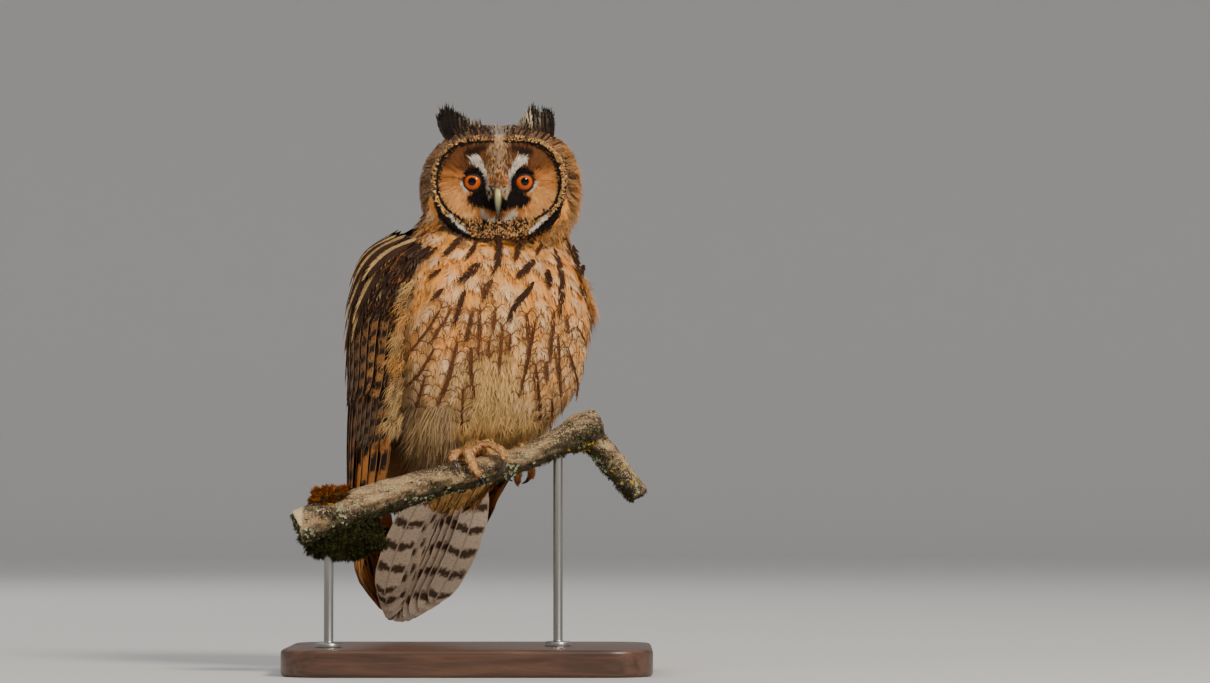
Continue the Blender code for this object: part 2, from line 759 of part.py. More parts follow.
# Each toe: (share of its length, along, degrees, reach, radius), then the claw beyond it
RIGHT_TOES = {
    "inner": (
        ((0, -3, -8, GRIP + 7, 4.2), (0.35, 4, 12, GRIP + 8.6, 3.9), (0.7, 12, 42, GRIP + 6.4, 3.5),
         (1, 12.5, 74, GRIP + 4.4, 2.9)),
        ((0, 12.4, 77, GRIP + 4.2, 2.2), (0.5, 10, 98, GRIP + 3.4, 1.5), (1, 4, 120, GRIP + 1.2, 0.3)),
    ),
    "middle": (
        ((0, -5, -4, GRIP + 6, 4.2), (0.35, -8.5, 24, GRIP + 5.8, 3.9), (0.7, -9, 62, GRIP + 4.2, 3.6),
         (1, -6.5, 98, GRIP + 3.6, 3.0)),
        ((0, -6.2, 101, GRIP + 3.6, 2.2), (0.5, -5, 124, GRIP + 3.0, 1.5), (1, -4, 146, GRIP + 1.0, 0.3)),
    ),
    "outer": (
        ((0, -7, -12, GRIP + 5.6, 4.0), (0.4, -14, -8, GRIP + 4.8, 3.6), (0.75, -18, 12, GRIP + 4.0, 3.3),
         (1, -19.5, 34, GRIP + 3.6, 2.8)),
        ((0, -19.6, 37, GRIP + 3.6, 2.1), (0.5, -19.4, 60, GRIP + 3.0, 1.4), (1, -18, 82, GRIP + 1.0, 0.3)),
    ),
    "hind": (
        ((0, -3, -20, GRIP + 5.6, 4.0), (0.4, -3, -52, GRIP + 4.6, 3.6), (0.75, -2, -80, GRIP + 4.0, 3.3),
         (1, -1, -102, GRIP + 3.6, 2.8)),
        ((0, -1, -105, GRIP + 3.6, 2.1), (0.5, 0, -126, GRIP + 3.0, 1.4), (1, 1, -146, GRIP + 1.0, 0.3)),
    ),
}
RIGHT_SHANK = ((0, 17, 8, 176, 9.5), (0.45, 13, -4, 160, 7.6), (0.8, 7.5, -11, 151, 5.6), (1, 6.5, -14, 148.6, 5.0))

# The left leg is drawn up under the belly, behind the perch, with its toes closed
LEFT_SHANK = ((0, 34, 16, 172, 9.0), (0.5, 33, 12, 158, 7.0), (1, 32, 9, 147.5, 5.0))
LEFT_PALM = Vector((31.8, 8.2, 143.4))
LEFT_TOES = {
    "inner": ((0, 2, 0, 0, 3.6), (0.4, 7, 1, -4, 3.2), (0.75, 9, 3, -9, 2.8), (1, 8, 6, -12.5, 2.4)),
    "middle": ((0, -1, 0, 0, 3.7), (0.4, 0, -1, -6, 3.3), (0.75, 0, 1, -12, 3.0), (1, 0, 5, -15.5, 2.5)),
    "outer": ((0, -3, 0, 0, 3.6), (0.4, -8, 1, -4, 3.2), (0.75, -10, 4, -8, 2.8), (1, -9, 7, -11, 2.4)),
    "hind": ((0, 0, 2, 0, 3.4), (0.4, 0, 8, -1, 3.1), (0.75, 0, 12, -4, 2.8), (1, 0, 13.4, -7.5, 2.3)),
}
LEFT_CLAW = 8


def right_foot(perch, finish, horn):
    toes = []
    for word, (toe, _) in RIGHT_TOES.items():
        path = [(row[0], *on_perch(*row[1:4]), row[4]) for row in toe]
        toes.append(limb(f"toe_{word}", path, 7, finish, 5))
    palm = ball("foot_right", on_perch(-5, -6, GRIP + 5), 6, 12, 7, finish)
    combine(palm, "UNION", toes)
    combine(palm, "DIFFERENCE", [swollen(perch, GAP)])
    for word, (_, claw) in RIGHT_TOES.items():
        path = [(row[0], *on_perch(*row[1:4]), row[4]) for row in claw]
        nail = limb(f"claw_right_{word}", path, 7, horn, 4)
        combine(nail, "DIFFERENCE", [swollen(perch, GAP)])
        combine(nail, "DIFFERENCE", [swollen(palm, GAP)])
    return palm


def left_foot(finish, horn):
    palm = ball("foot_left", LEFT_PALM, 5.2, 12, 7, finish)
    toes = []
    for word, rows in LEFT_TOES.items():
        path = [(row[0], *(LEFT_PALM + Vector(row[1:4])), row[4]) for row in rows]
        toes.append(limb(f"toe_{word}", path, 7, finish, 5))
        tip, before = Vector(path[-1][1:4]), Vector(between(path, 0.9)[:3])
        ahead = (tip - before).normalized()
        inward = Vector((LEFT_PALM.x - tip.x, 4, 0)).normalized()
        start = tip + ahead * GAP
        bend = start + ahead * LEFT_CLAW * 0.5 + inward
        point = start + ahead * LEFT_CLAW * 0.8 + inward * 4
        rows = ((0, *start, 1.9), (0.5, *bend, 1.3), (1, *point, 0.3))
        limb(f"claw_left_{word}", rows, 6, horn, 4)
    return combine(palm, "UNION", toes)


def shank(name, rows, clear_of, finish):
    return cut_clear(limb(name, rows, 12, finish, 7), clear_of)


# Ear tufts: root, tip, and which way (along x) their shorter feathers lie
TUFTS = {
    "right": ((-2, -14, 354), (-17, -17, 380), 1),
    "left": ((44, -14, 354), (50, -17, 380), -1),
}
# Each feather of a tuft: how far aside its root and its tip are, its share of the length, its depth
TUFT_VANES = (
    (-4.2, -2.8, 0.90, 2.6),
    (-2.0, -0.4, 1.00, 1.3),
    (0.8, 1.8, 0.98, 0.0),
    (3.6, 4.2, 0.88, -1.3),
    (6.0, 7.0, 0.68, -2.6),
)
TUFT_HALF = 3.6
TUFT_RIBS = (9, 20)
TUFT_STUB = (8.6, 4.6, 7.5)


def ear_tuft(name, root, tip, inner, head, finish):
    root, tip = Vector(root), Vector(tip)
    length = (tip - root).length
    up = (tip - root).normalized()
    back = (Vector((0, 1, 0)) - up * up.y).normalized()
    across = up.cross(back)
    if across.x * inner < 0:
        across.negate()
    tuft = ball(name, root + up * 4, 1, 10, 6, finish, TUFT_STUB)
    sheet = lambda along, aside: (root + up * along + across * aside, -back)
    vanes = []
    for start, end, share, deep in TUFT_VANES:
        high = -deep
        tip_place = (length * share, end)
        vanes.append(vane(sheet, (0, start), tip_place, (TUFT_HALF, TUFT_HALF), VANE_SHAPE, TUFT_RIBS, -high, high, 8))
    combine(tuft, "UNION", vanes)
    return combine(tuft, "DIFFERENCE", [swollen(head, GAP)])


# Display stand
BASE_SIZE = (244, 180, 18)
BASE_CORNER = 30
BASE_EDGE = 3
ROD_RADIUS = 3.2
ROD_FOOT = (9, 3)  # radius and height of the collar where a rod meets the base
ROD_SHARES = {"left": 0.865, "right": 0.1}  # where along the perch each rod holds it


def stand(perch, wood, metal):
    wide, deep, thick = BASE_SIZE
    points = []
    for corner in range(4):
        sx, sy = ((1, 1), (-1, 1), (-1, -1), (1, -1))[corner]
        for k in range(7):
            turn = math.radians(90 * corner + 90 * k / 6)
            x = sx * (wide / 2 - BASE_CORNER) + BASE_CORNER * math.cos(turn)
            y = sy * (deep / 2 - BASE_CORNER) + BASE_CORNER * math.sin(turn)
            points.append((x, y))
    rings = []
    for inset, height in ((BASE_EDGE / 2, 0), (0, BASE_EDGE / 2), (0, thick - BASE_EDGE), (BASE_EDGE, thick)):
        shrink = [(1 - 2 * inset / wide), (1 - 2 * inset / deep)]
        rings.append([Vector((x * shrink[0], y * shrink[1], height)) for x, y in points])
    loft("stand_base", [[Vector((0, 0, 0))], *rings, [Vector((0, 0, thick))]], wood)
    rods = []
    for word, share in ROD_SHARES.items():
        x, y, z, _ = between(PERCH, share)
        profile = (
            (thick + GAP, ROD_FOOT[0]), (thick + GAP + ROD_FOOT[1] * 0.7, ROD_FOOT[0]),
            (thick + GAP + ROD_FOOT[1], ROD_FOOT[0] - 1), (thick + GAP + ROD_FOOT[1], ROD_RADIUS), (z, ROD_RADIUS),
        )
        rings = [[Vector((x, y, profile[0][0]))]]
        for height, radius in profile:
            turns = [2 * math.pi * i / 14 for i in range(14)]
            rings.append([Vector((x + radius * math.cos(t), y + radius * math.sin(t), height)) for t in turns])
        rings.append([Vector((x, y, profile[-1][0]))])
        rod = loft(f"stand_rod_{word}", rings, metal)
        rods.append(combine(rod, "DIFFERENCE", [swollen(perch, GAP)]))
    return rods


NECK_CUTS = (((0, -48, 287), (0, 36, 303)), ((0, -54, 264), (0, 44, 281)))


def cut_plane(front, back):
    """A plane that holds the x axis and two points, as a point and its upward normal."""
    level = Vector(back) - Vector(front)
    return Vector(front), Vector((1, 0, 0)).cross(level).normalized()


def main():
    for old in list(bpy.data.objects):
        bpy.data.objects.remove(old)
    breast = material("breast_plumage", (0.72, 0.50, 0.30), 0.85)
    mantle = material("wing_plumage", (0.30, 0.22, 0.16), 0.85)
    mask = material("face_plumage", (0.55, 0.33, 0.17), 0.85)
    down = material("foot_plumage", (0.74, 0.50, 0.28), 0.8)
    iris = material("eye_surface", (0.85, 0.22, 0.02), 0.1)
    horn = material("claw_horn", (0.05, 0.045, 0.04), 0.35)
    beak = material("bill_horn", (0.30, 0.31, 0.27), 0.4)
    bark = material("branch_bark", (0.34, 0.28, 0.20), 0.9)
    moss = material("branch_moss", (0.12, 0.12, 0.04), 0.95)
    wood = material("stand_wood", (0.10, 0.065, 0.045), 0.45)
    metal = material("stand_metal", (0.45, 0.43, 0.40), 0.35, 1.0)

    perch = branch("perch", PERCH, PERCH_SIDES, PERCH_STEPS, bark, 0.05, 3)
    snag = branch("snag", SNAG, 10, 6, bark, 0.05, 5)
    combine(perch, "UNION", [snag])

    flesh = torso_form("torso")
    combine(flesh, "UNION", [head_form("head"), rump_form("rump")])
    planes = [cut_plane(front, back) for front, back in NECK_CUTS]
    half_gap = GAP / 2
    head = duplicate(flesh, "head")
    part_off(head, planes[0][0] + planes[0][1] * half_gap, -planes[0][1])
    neck = duplicate(flesh, "neck")
    part_off(neck, planes[0][0] - planes[0][1] * half_gap, planes[0][1])
    part_off(neck, planes[1][0] + planes[1][1] * half_gap, -planes[1][1])
    torso = flesh
    torso.name = "torso"
    part_off(torso, planes[1][0] - planes[1][1] * half_gap, planes[1][1])
    tail = duplicate(torso, "tail")
    part_off(tail, on_tail(TAIL_PARTING + half_gap, 0, 0), -TAIL_ALONG)
    part_off(torso, on_tail(TAIL_PARTING - half_gap, 0, 0), TAIL_ALONG)
    combine(torso, "DIFFERENCE", [swollen(perch, GAP)])

    combine(head, "UNION", [lid("lid_a", 1), lid("lid_b", -1)])
    sockets = [ball("socket", eye_frame(s)[0], EYE_RADIUS + GAP, 16, 8) for s in (1, -1)]
    combine(head, "DIFFERENCE", sockets)
    eyes(iris)
    bill(head, beak)
    for word, (root, tip, inner) in TUFTS.items():
        ear_tuft(f"ear_tuft_{word}", root, tip, inner, head, mantle)

    core = duplicate(tail, "core")
    combine(tail, "UNION", tail_vanes())
    combine(tail, "DIFFERENCE", [swollen(torso, GAP)])
    wing("wing_right", RIGHT_WING, 31, (torso, neck, head, core), mantle)
    wing("wing_left", LEFT_WING, 22, (torso, neck, head, core), mantle)
    bpy.data.objects.remove(core)

    foot = right_foot(perch, down, horn)
    shank("leg_right", RIGHT_SHANK, (torso, foot, perch), down)
    foot = left_foot(down, horn)
    shank("leg_left", LEFT_SHANK, (torso, foot, perch), down)

    rods = stand(perch, wood, metal)
    moss_lump("moss_above", (-87, -35, 114), (20, 13, 10), moss, 14, [perch])
    moss_lump("moss_below", (-84, -35, 91), (30, 13, 15), moss, 12, [perch, *rods])

    for body, finish in ((head, mask), (neck, breast), (torso, breast), (tail, mantle)):
        body.data.materials.append(finish)
    for made in bpy.context.scene.objects:
        if made.type == "MESH":
            made.data.shade_smooth()
            made.data.set_sharp_from_angle(angle=math.radians(40))


if __name__ == "__main__":
    main()
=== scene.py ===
"""Dresses the solids of a life-size long-eared owl on a perch: skin, feathers, eyes, bill, claws,
bark, moss and stand. Shapes are worked out in millimetres and turned to metres as they are made.
"""

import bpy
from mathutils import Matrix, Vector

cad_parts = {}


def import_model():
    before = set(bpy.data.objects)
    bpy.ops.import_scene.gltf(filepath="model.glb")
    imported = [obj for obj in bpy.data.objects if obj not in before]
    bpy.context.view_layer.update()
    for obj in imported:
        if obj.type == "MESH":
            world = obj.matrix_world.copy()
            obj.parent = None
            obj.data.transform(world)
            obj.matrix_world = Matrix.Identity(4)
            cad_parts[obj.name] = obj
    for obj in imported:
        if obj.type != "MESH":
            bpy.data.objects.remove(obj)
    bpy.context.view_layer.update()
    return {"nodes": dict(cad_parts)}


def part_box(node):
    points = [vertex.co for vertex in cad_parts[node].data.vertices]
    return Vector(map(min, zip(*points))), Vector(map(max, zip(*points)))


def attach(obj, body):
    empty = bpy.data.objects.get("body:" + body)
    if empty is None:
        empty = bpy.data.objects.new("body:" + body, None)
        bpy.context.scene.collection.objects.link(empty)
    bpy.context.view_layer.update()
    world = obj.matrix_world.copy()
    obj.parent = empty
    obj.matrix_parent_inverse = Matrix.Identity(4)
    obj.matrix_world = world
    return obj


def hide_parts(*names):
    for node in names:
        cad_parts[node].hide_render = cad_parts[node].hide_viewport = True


bl_info = {
    "name": "Long-eared owl on a perch",
    "version": (1, 0, 0),
    "blender": (4, 5, 0),
    "location": "3D View > Sidebar > Owl",
    "description": "Skin, feathers, eyes, horn, bark and moss for a life-size long-eared owl",
    "category": "Object",
}

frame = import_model()

import math

import bmesh
import bpy
import numpy as np
from bpy.props import FloatProperty, FloatVectorProperty, IntProperty, PointerProperty
from mathutils import Vector, noise
from mathutils.bvhtree import BVHTree

MM = 0.001


def paint(red, green, blue):
    """A colour as a screen shows it, 0 to 255, as the light values that a shader takes."""
    return tuple(((c / 255 + 0.055) / 1.055) ** 2.4 for c in (red, green, blue))


# Sizes of the bird that its solids share. Points on the body are (right, forward, height).
BODY_YAW = math.radians(24)
BODY_MID = np.array((3.0, 5.0, 0.0))
TO_RIGHT = np.array((-math.cos(BODY_YAW), -math.sin(BODY_YAW), 0.0))
TO_FRONT = np.array((math.sin(BODY_YAW), -math.cos(BODY_YAW), 0.0))
UP = np.array((0.0, 0.0, 1.0))
TORSO_SLICES = (
    (144, -1, -30, 20, 15, 14),
    (151, -2, -22, 35, 28, 27),
    (161, -3, -15, 47, 40, 38),
    (174, -4, -9, 58, 49, 45),
    (192, -5, -4, 67, 55, 50),
    (214, -5, 0, 71, 58, 53),
    (238, -6, 3, 72, 59, 53),
    (260, -6, 5, 67, 53, 51),
    (276, -7, 6, 61, 46, 48),
    (290, -9, 7, 55, 36, 44),
    (303, -10, 7, 49, 27, 39),
    (316, -11, 6, 42, 20, 33),
)
TORSO_SQUARENESS = 2.5
HEAD_MID = np.array((20.0, -8.0, 322.0))
HEAD_HALF_WIDTH = 54.5
HEAD_ABOVE = 44.5
HEAD_BELOW = 40
HEAD_FRONT = 46
HEAD_BEHIND = 44
HEAD_SQUARENESS = (2.6, 2.25)
RIM_HALF_WIDTH = 43
RIM_ABOVE = 35
RIM_BELOW = 33
RIM_SQUARENESS = 2.5
EYE_SPACING = 34
EYE_ABOVE = 3.8
EYE_RADIUS = 8.5
EYE_OPENING = 6.3
EYE_PLANE = 31.5
EYE_TURN = math.radians(9)
TAIL_ROOT = np.array((2.0, 40.0, 160.0))
TAIL_TIP = np.array((-54.0, 100.0, 29.0))
RIGHT_WING = (
    (0.00, 38, 26, 288, 64, -27, 2, -37, 301),
    (0.07, 52, 30, 274, 90, -40, 3, -48, 286),
    (0.17, 63, 31, 250, 97, -46, 5, -55, 257),
    (0.29, 66, 28, 224, 99, -50, 6, -59, 224),
    (0.41, 65, 22, 196, 96, -55, 5, -63, 194),
    (0.55, 62, 10, 164, 95, -62, 4, -68, 158),
    (0.69, 58, -12, 128, 89, -71, 4, -77, 122),
    (0.82, 58, -44, 94, 74, -88, 5, -95, 91),
    (0.93, 51, -80, 62, 54, -102, 11, -107, 61),
    (1.00, 31, -101, 39, 27, -113, 17, -115, 38),
)
LEFT_WING = (
    (0.00, -40, 24, 286, -66, -27, -5, -37, 301),
    (0.07, -54, 26, 272, -86, -38, -7, -48, 286),
    (0.17, -68, 18, 250, -98, -46, -7, -55, 257),
    (0.29, -72, 10, 224, -100, -50, -6, -59, 224),
    (0.41, -69, 0, 197, -96, -54, -4, -63, 194),
    (0.55, -60, -18, 166, -84, -62, -2, -67, 158),
    (0.69, -44, -46, 132, -58, -73, 1, -75, 126),
    (0.82, -37, -70, 100, -44, -92, 2, -92, 96),
    (0.93, -24, -94, 70, -28, -109, -1, -110, 68),
    (1.00, -13, -106, 47, -14, -117, -3, -118, 45),
)
WING_FULLNESS = 0.8
WING_CORE_DROP = ((0, 0), (0.12, 0.6), (0.26, 2.2), (0.5, 3.6), (1, 3.6))
WING_CORE_DEPTH = ((0, 14), (0.15, 20), (0.4, 18), (0.55, 8), (0.7, 5), (0.85, 3), (1, 1.6))
WING_CORE_END = 0.74
TAIL_SPREAD = ((20, 0.42), (55, 0.88), (92, 1.0), (128, 0.84), (154, 0.62))
RUMP = ((-26, 34, 26), (-12, 36, 24), (4, 33, 18), (20, 29, 12), (36, 24, 7.5), (50, 19, 4), (60, 13, 2))

SKIN_VOXEL, BARK_VOXEL, MOSS_VOXEL = 1.35, 0.95, 1.2
BAKE_PATCH = 0.003
TOE_FEATHER_AREA = 1.3
STREAK_STATIONS = 9
ARM_SPACING = 8.6
BASE_CORNER = 30
COLLAR_RADIUS = 8.9
# The rod's outline: height over its foot, radius
ROD_PROFILE = ((2.0, 8.9), (2.6, 8.5), (2.95, 7.9), (3.0, 3.9), (3.3, 3.35), (3.8, 3.15), (None, 3.15))
# A lid's outline round the eye: how far out from its edge, how far forward
LID_PROFILE = (
    (0.0, 0.1), (-0.05, 0.4), (0.25, 0.7), (0.8, 0.75), (1.4, 0.35), (1.9, -0.5), (2.2, -1.8), (1.2, -1.8),
    (0.1, -0.9),
)
# Rings of feathers round the tail's root: along the tail, half width, half depth
TAIL_COVERT_RINGS = (
    (-20, 35, 26), (-11, 35, 24), (-2, 34, 21), (7, 32, 18), (16, 30, 14), (25, 27, 11), (34, 24, 8.5),
)
TAIL_FEATHER_ENDS = (154, 153, 151, 147, 141, 133)

FLESH = ("head", "neck", "torso", "leg_right", "leg_left", "foot_right", "foot_left")


# Small sums on arrays of points


def unit(v):
    return v / np.maximum(np.linalg.norm(v, axis=-1, keepdims=True), 1e-9)


def dot(a, b):
    return np.sum(a * b, axis=-1)


def laid(ways, outs):
    """Ways turned flat against a surface."""
    return unit(ways - outs * dot(ways, outs)[..., None])


def smooth(low, high, value):
    """0 below low, 1 above high, and a soft step between. low may be the greater."""
    t = np.clip((np.asarray(value, float) - low) / (high - low), 0, 1)
    return t * t * (3 - 2 * t)


def bump(distance, width):
    return np.exp(-((np.asarray(distance, float) / width) ** 2))


def mix(a, b, share):
    """Colours or points between a and b."""
    share = np.asarray(share, float)[..., None]
    return np.asarray(a, float) * (1 - share) + np.asarray(b, float) * share


def rows_at(rows, keys):
    """Values at keys, on a smooth line through rows of (key, value, value, ...)."""
    rows = np.asarray(rows, float)
    keys = np.clip(np.asarray(keys, float), rows[0, 0], rows[-1, 0])
    last = len(rows) - 1
    i = np.clip(np.searchsorted(rows[:, 0], keys, side="right") - 1, 0, last - 1)
    start, end = rows[i], rows[i + 1]
    before, after = rows[np.maximum(i - 1, 0)], rows[np.minimum(i + 2, last)]
    span = end[..., :1] - start[..., :1]
    t = (keys[..., None] - start[..., :1]) / span
    leaving = (end[..., 1:] - before[..., 1:]) / (end[..., :1] - before[..., :1]) * span
    arriving = (after[..., 1:] - start[..., 1:]) / (after[..., :1] - start[..., :1]) * span
    value = (2 * t**3 - 3 * t**2 + 1) * start[..., 1:] + (t**3 - 2 * t**2 + t) * leaving
    return value + (3 * t**2 - 2 * t**3) * end[..., 1:] + (t**3 - t**2) * arriving


def world(right, forward, height):
    right, forward, height = np.broadcast_arrays(*[np.asarray(v, float) for v in (right, forward, height)])
    return BODY_MID + right[..., None] * TO_RIGHT + forward[..., None] * TO_FRONT + height[..., None] * UP


def torso_point(height, turn):
    """A point of the plumage. turn is 0 in front and a quarter turn on the bird's right."""
    right, forward, half, front, behind = np.moveaxis(rows_at(TORSO_SLICES, height), -1, 0)
    power = 2 / TORSO_SQUARENESS
    s, c = np.sin(turn), np.cos(turn)
    depth = np.where(c > 0, front, behind)
    return world(
        right + half * np.sign(s) * np.abs(s) ** power,
        forward + depth * np.sign(c) * np.abs(c) ** power,
        height,
    )


def outline(turn, half_width, above, below, squareness):
    c, s = np.cos(turn), np.sin(turn)
    tall = np.where(s > 0, above, below)
    return (np.abs(c / half_width) ** squareness + np.abs(s / tall) ** squareness) ** (-1 / squareness)


def skull_point(lean, turn):
    """A point of the head behind the face. lean is degrees forward of its middle."""
    lean = np.radians(lean)
    depth = np.where(lean > 0, HEAD_FRONT, HEAD_BEHIND) * np.sin(lean)
    power = np.where(np.cos(turn) > 0, *HEAD_SQUARENESS)
    reach = outline(turn, HEAD_HALF_WIDTH, HEAD_ABOVE, HEAD_BELOW, power) * np.cos(lean)
    return HEAD_MID + np.stack([reach * np.cos(turn), -depth, reach * np.sin(turn)], -1)


def wing_spot(rows, along, across):
    """A point of the wing's outer sheet. across is 0 at the front edge and 1 at the back edge."""
    fr, ff, fh, cr, cf, br, bf, bh = np.moveaxis(rows_at(rows, along), -1, 0)
    front, back, corner = world(fr, ff, fh), world(br, bf, bh), world(cr, cf, (fh + bh) / 2)
    first, second = front + (corner - front) * WING_FULLNESS, back + (corner - back) * WING_FULLNESS
    t = np.asarray(across, float)[..., None]
    rest = 1 - t
    return front * rest**3 + 3 * first * rest**2 * t + 3 * second * rest * t**2 + back * t**3


def wing_sheet(rows):
    """Gives the point and the normal of a wing at (along, across)."""

    def sheet(along, across):
        along, across = np.broadcast_arrays(np.asarray(along, float), np.asarray(across, float))
        step = 0.02
        above, below = np.maximum(along - step, 0), np.minimum(along + step, 1)
        down = wing_spot(rows, below, across) - wing_spot(rows, above, across)
        ahead, behind = np.maximum(across - step, 0), np.minimum(across + step, 1)
        over = wing_spot(rows, along, behind) - wing_spot(rows, along, ahead)
        out = unit(np.cross(down, over))
        return wing_spot(rows, along, across), -out if rows is RIGHT_WING else out

    return sheet


TAIL_LENGTH = np.linalg.norm(TAIL_TIP - TAIL_ROOT)
TAIL_ALONG = (TAIL_TIP - TAIL_ROOT) / TAIL_LENGTH
TAIL_ACROSS = unit(TO_RIGHT - TAIL_ALONG * dot(TO_RIGHT, TAIL_ALONG))
TAIL_BEHIND = np.cross(TAIL_ACROSS, TAIL_ALONG)
if TAIL_BEHIND[1] < 0:
    TAIL_BEHIND = -TAIL_BEHIND


def on_tail(along, across, behind):
    along, across, behind = np.broadcast_arrays(*[np.asarray(v, float) for v in (along, across, behind)])
    return (
        TAIL_ROOT + along[..., None] * TAIL_ALONG + across[..., None] * TAIL_ACROSS
        + behind[..., None] * TAIL_BEHIND
    )


def tail_sheet(along, across):
    along, across = np.broadcast_arrays(np.asarray(along, float), np.asarray(across, float))
    spread = rows_at(TAIL_SPREAD, along)[..., 0]
    return on_tail(along, across * spread, 0), np.broadcast_to(TAIL_BEHIND, along.shape + (3,))


def eye_frame(side):
    """The eyeball's middle, the way that it looks, and the middle of its opening. side 1 is the left eye."""
    look = np.array((side * math.sin(EYE_TURN), -math.cos(EYE_TURN), 0.0))
    opening = HEAD_MID + np.array((side * EYE_SPACING / 2, -EYE_PLANE, EYE_ABOVE))
    return opening - look * math.sqrt(EYE_RADIUS**2 - EYE_OPENING**2), look, opening


# Meshes


def deselect():
    for each in bpy.context.selected_objects:
        each.select_set(False)


def mesh_piece(name, points, faces, finish):
    """A mesh object from points in millimetres and arrays of faces, one array for each count of corners."""
    faces = [np.asarray(f, np.int32) for f in faces if len(f)]
    corners = np.concatenate([f.ravel() for f in faces])
    sizes = np.concatenate([np.full(len(f), f.shape[1]) for f in faces])
    starts = np.concatenate([[0], np.cumsum(sizes)[:-1]]).astype(np.int32)
    mesh = bpy.data.meshes.new(name)
    mesh.vertices.add(len(points))
    mesh.vertices.foreach_set("co", (np.asarray(points) * MM).astype(np.float32).ravel())
    mesh.loops.add(len(corners))
    mesh.loops.foreach_set("vertex_index", corners)
    mesh.polygons.add(len(sizes))
    mesh.polygons.foreach_set("loop_start", starts)
    mesh.update(calc_edges=True)
    made = bpy.data.objects.new(name, mesh)
    bpy.context.scene.collection.objects.link(made)
    if finish:
        mesh.materials.append(finish)
    mesh.shade_smooth()
    return made


def points_of(piece):
    points = np.zeros(len(piece.data.vertices) * 3, np.float32)
    piece.data.vertices.foreach_get("co", points)
    return points.reshape(-1, 3).astype(float) / MM


def move_points(piece, points):
    piece.data.vertices.foreach_set("co", (points * MM).astype(np.float32).ravel())
    piece.data.update()


def normals_of(piece):
    out = np.zeros(len(piece.data.vertices) * 3, np.float32)
    piece.data.vertex_normals.foreach_get("vector", out)
    return out.reshape(-1, 3).astype(float)


def edges_of(piece):
    pairs = np.zeros(len(piece.data.edges) * 2, np.int32)
    piece.data.edges.foreach_get("vertices", pairs)
    return pairs.reshape(-1, 2)


def relax(values, pairs, rounds, share=0.5):
    """Evens out what each vertex holds with its neighbours."""
    count = np.zeros(len(values))
    np.add.at(count, pairs.ravel(), 1)
    for _ in range(rounds):
        total = np.zeros_like(values)
        np.add.at(total, pairs[:, 0], values[pairs[:, 1]])
        np.add.at(total, pairs[:, 1], values[pairs[:, 0]])
        values = values + (total / count[:, None] - values) * np.reshape(share, (-1, 1))
    return values


def give(piece, name, values):
    """Stores a number, a vector or a colour on each vertex."""
    values = np.asarray(values, np.float32)
    if values.ndim == 1:
        piece.data.attributes.new(name, "FLOAT", "POINT").data.foreach_set("value", values)
    elif values.shape[1] == 3:
        piece.data.attributes.new(name, "FLOAT_VECTOR", "POINT").data.foreach_set("vector", values.ravel())
    else:
        piece.data.attributes.new(name, "FLOAT_COLOR", "POINT").data.foreach_set("color", values.ravel())


def give_uv(piece, name, uv):
    corners = np.zeros(len(piece.data.loops), np.int32)
    piece.data.loops.foreach_get("vertex_index", corners)
    layer = piece.data.uv_layers.new(name=name)
    layer.data.foreach_set("uv", np.asarray(uv, np.float32)[corners].ravel())


def loft_points(rings):
    """Points and faces of a skin over rings that all have as many points, with its two ends closed."""
    rings = np.asarray(rings, float)
    many, around = rings.shape[:2]
    points = np.concatenate([rings.reshape(-1, 3), [rings[0].mean(0)], [rings[-1].mean(0)]])
    i, k = np.arange(around), np.arange(many - 1)[:, None]
    j = (i + 1) % around
    quads = np.stack([k * around + i, k * around + j, (k + 1) * around + j, (k + 1) * around + i], -1)
    low, high = many * around, many * around + 1
    last = (many - 1) * around
    first_cap = np.stack([np.full(around, low), j, i], -1)
    last_cap = np.stack([np.full(around, high), last + i, last + j], -1)
    return points, [quads.reshape(-1, 4), np.concatenate([first_cap, last_cap])]


def facing_out(piece):
    mesh = bmesh.new()
    mesh.from_mesh(piece.data)
    bmesh.ops.remove_doubles(mesh, verts=mesh.verts, dist=0.00001)
    bmesh.ops.recalc_face_normals(mesh, faces=mesh.faces)
    if mesh.calc_volume(signed=True) < 0:
        bmesh.ops.reverse_faces(mesh, faces=mesh.faces)
    mesh.to_mesh(piece.data)
    mesh.free()
    return piece


def joined(pieces):
    """Joins pieces into the first of them."""
    deselect()
    for each in pieces:
        each.select_set(True)
    bpy.context.view_layer.objects.active = pieces[0]
    if len(pieces) > 1:
        bpy.ops.object.join()
    return pieces[0]


def copies_joined(name, nodes, swell):
    """One object made from copies of CAD nodes, each a little swollen, so that they run into one another."""
    made = []
    for node in nodes:
        copy = frame["nodes"][node].copy()
        copy.data = copy.data.copy()
        copy.parent = None
        for key in list(copy.keys()):
            del copy[key]
        copy.hide_render = False
        copy.hide_viewport = False
        copy.data.materials.clear()
        bpy.context.scene.collection.objects.link(copy)
        mesh = bmesh.new()
        mesh.from_mesh(copy.data)
        bmesh.ops.remove_doubles(mesh, verts=mesh.verts, dist=0.00001)
        mesh.normal_update()
        for v in mesh.verts:
            v.co += v.normal * swell * MM
        mesh.to_mesh(copy.data)
        mesh.free()
        made.append(copy)
    whole = joined(made)
    whole.name = name
    whole.data.name = name
    return whole


def apply_step(piece, kind, **settings):
    step = piece.modifiers.new(kind.lower(), kind)
    for key, value in settings.items():
        setattr(step, key, value)
    deselect()
    piece.select_set(True)
    bpy.context.view_layer.objects.active = piece
    bpy.ops.object.modifier_apply(modifier=step.name)
    return piece


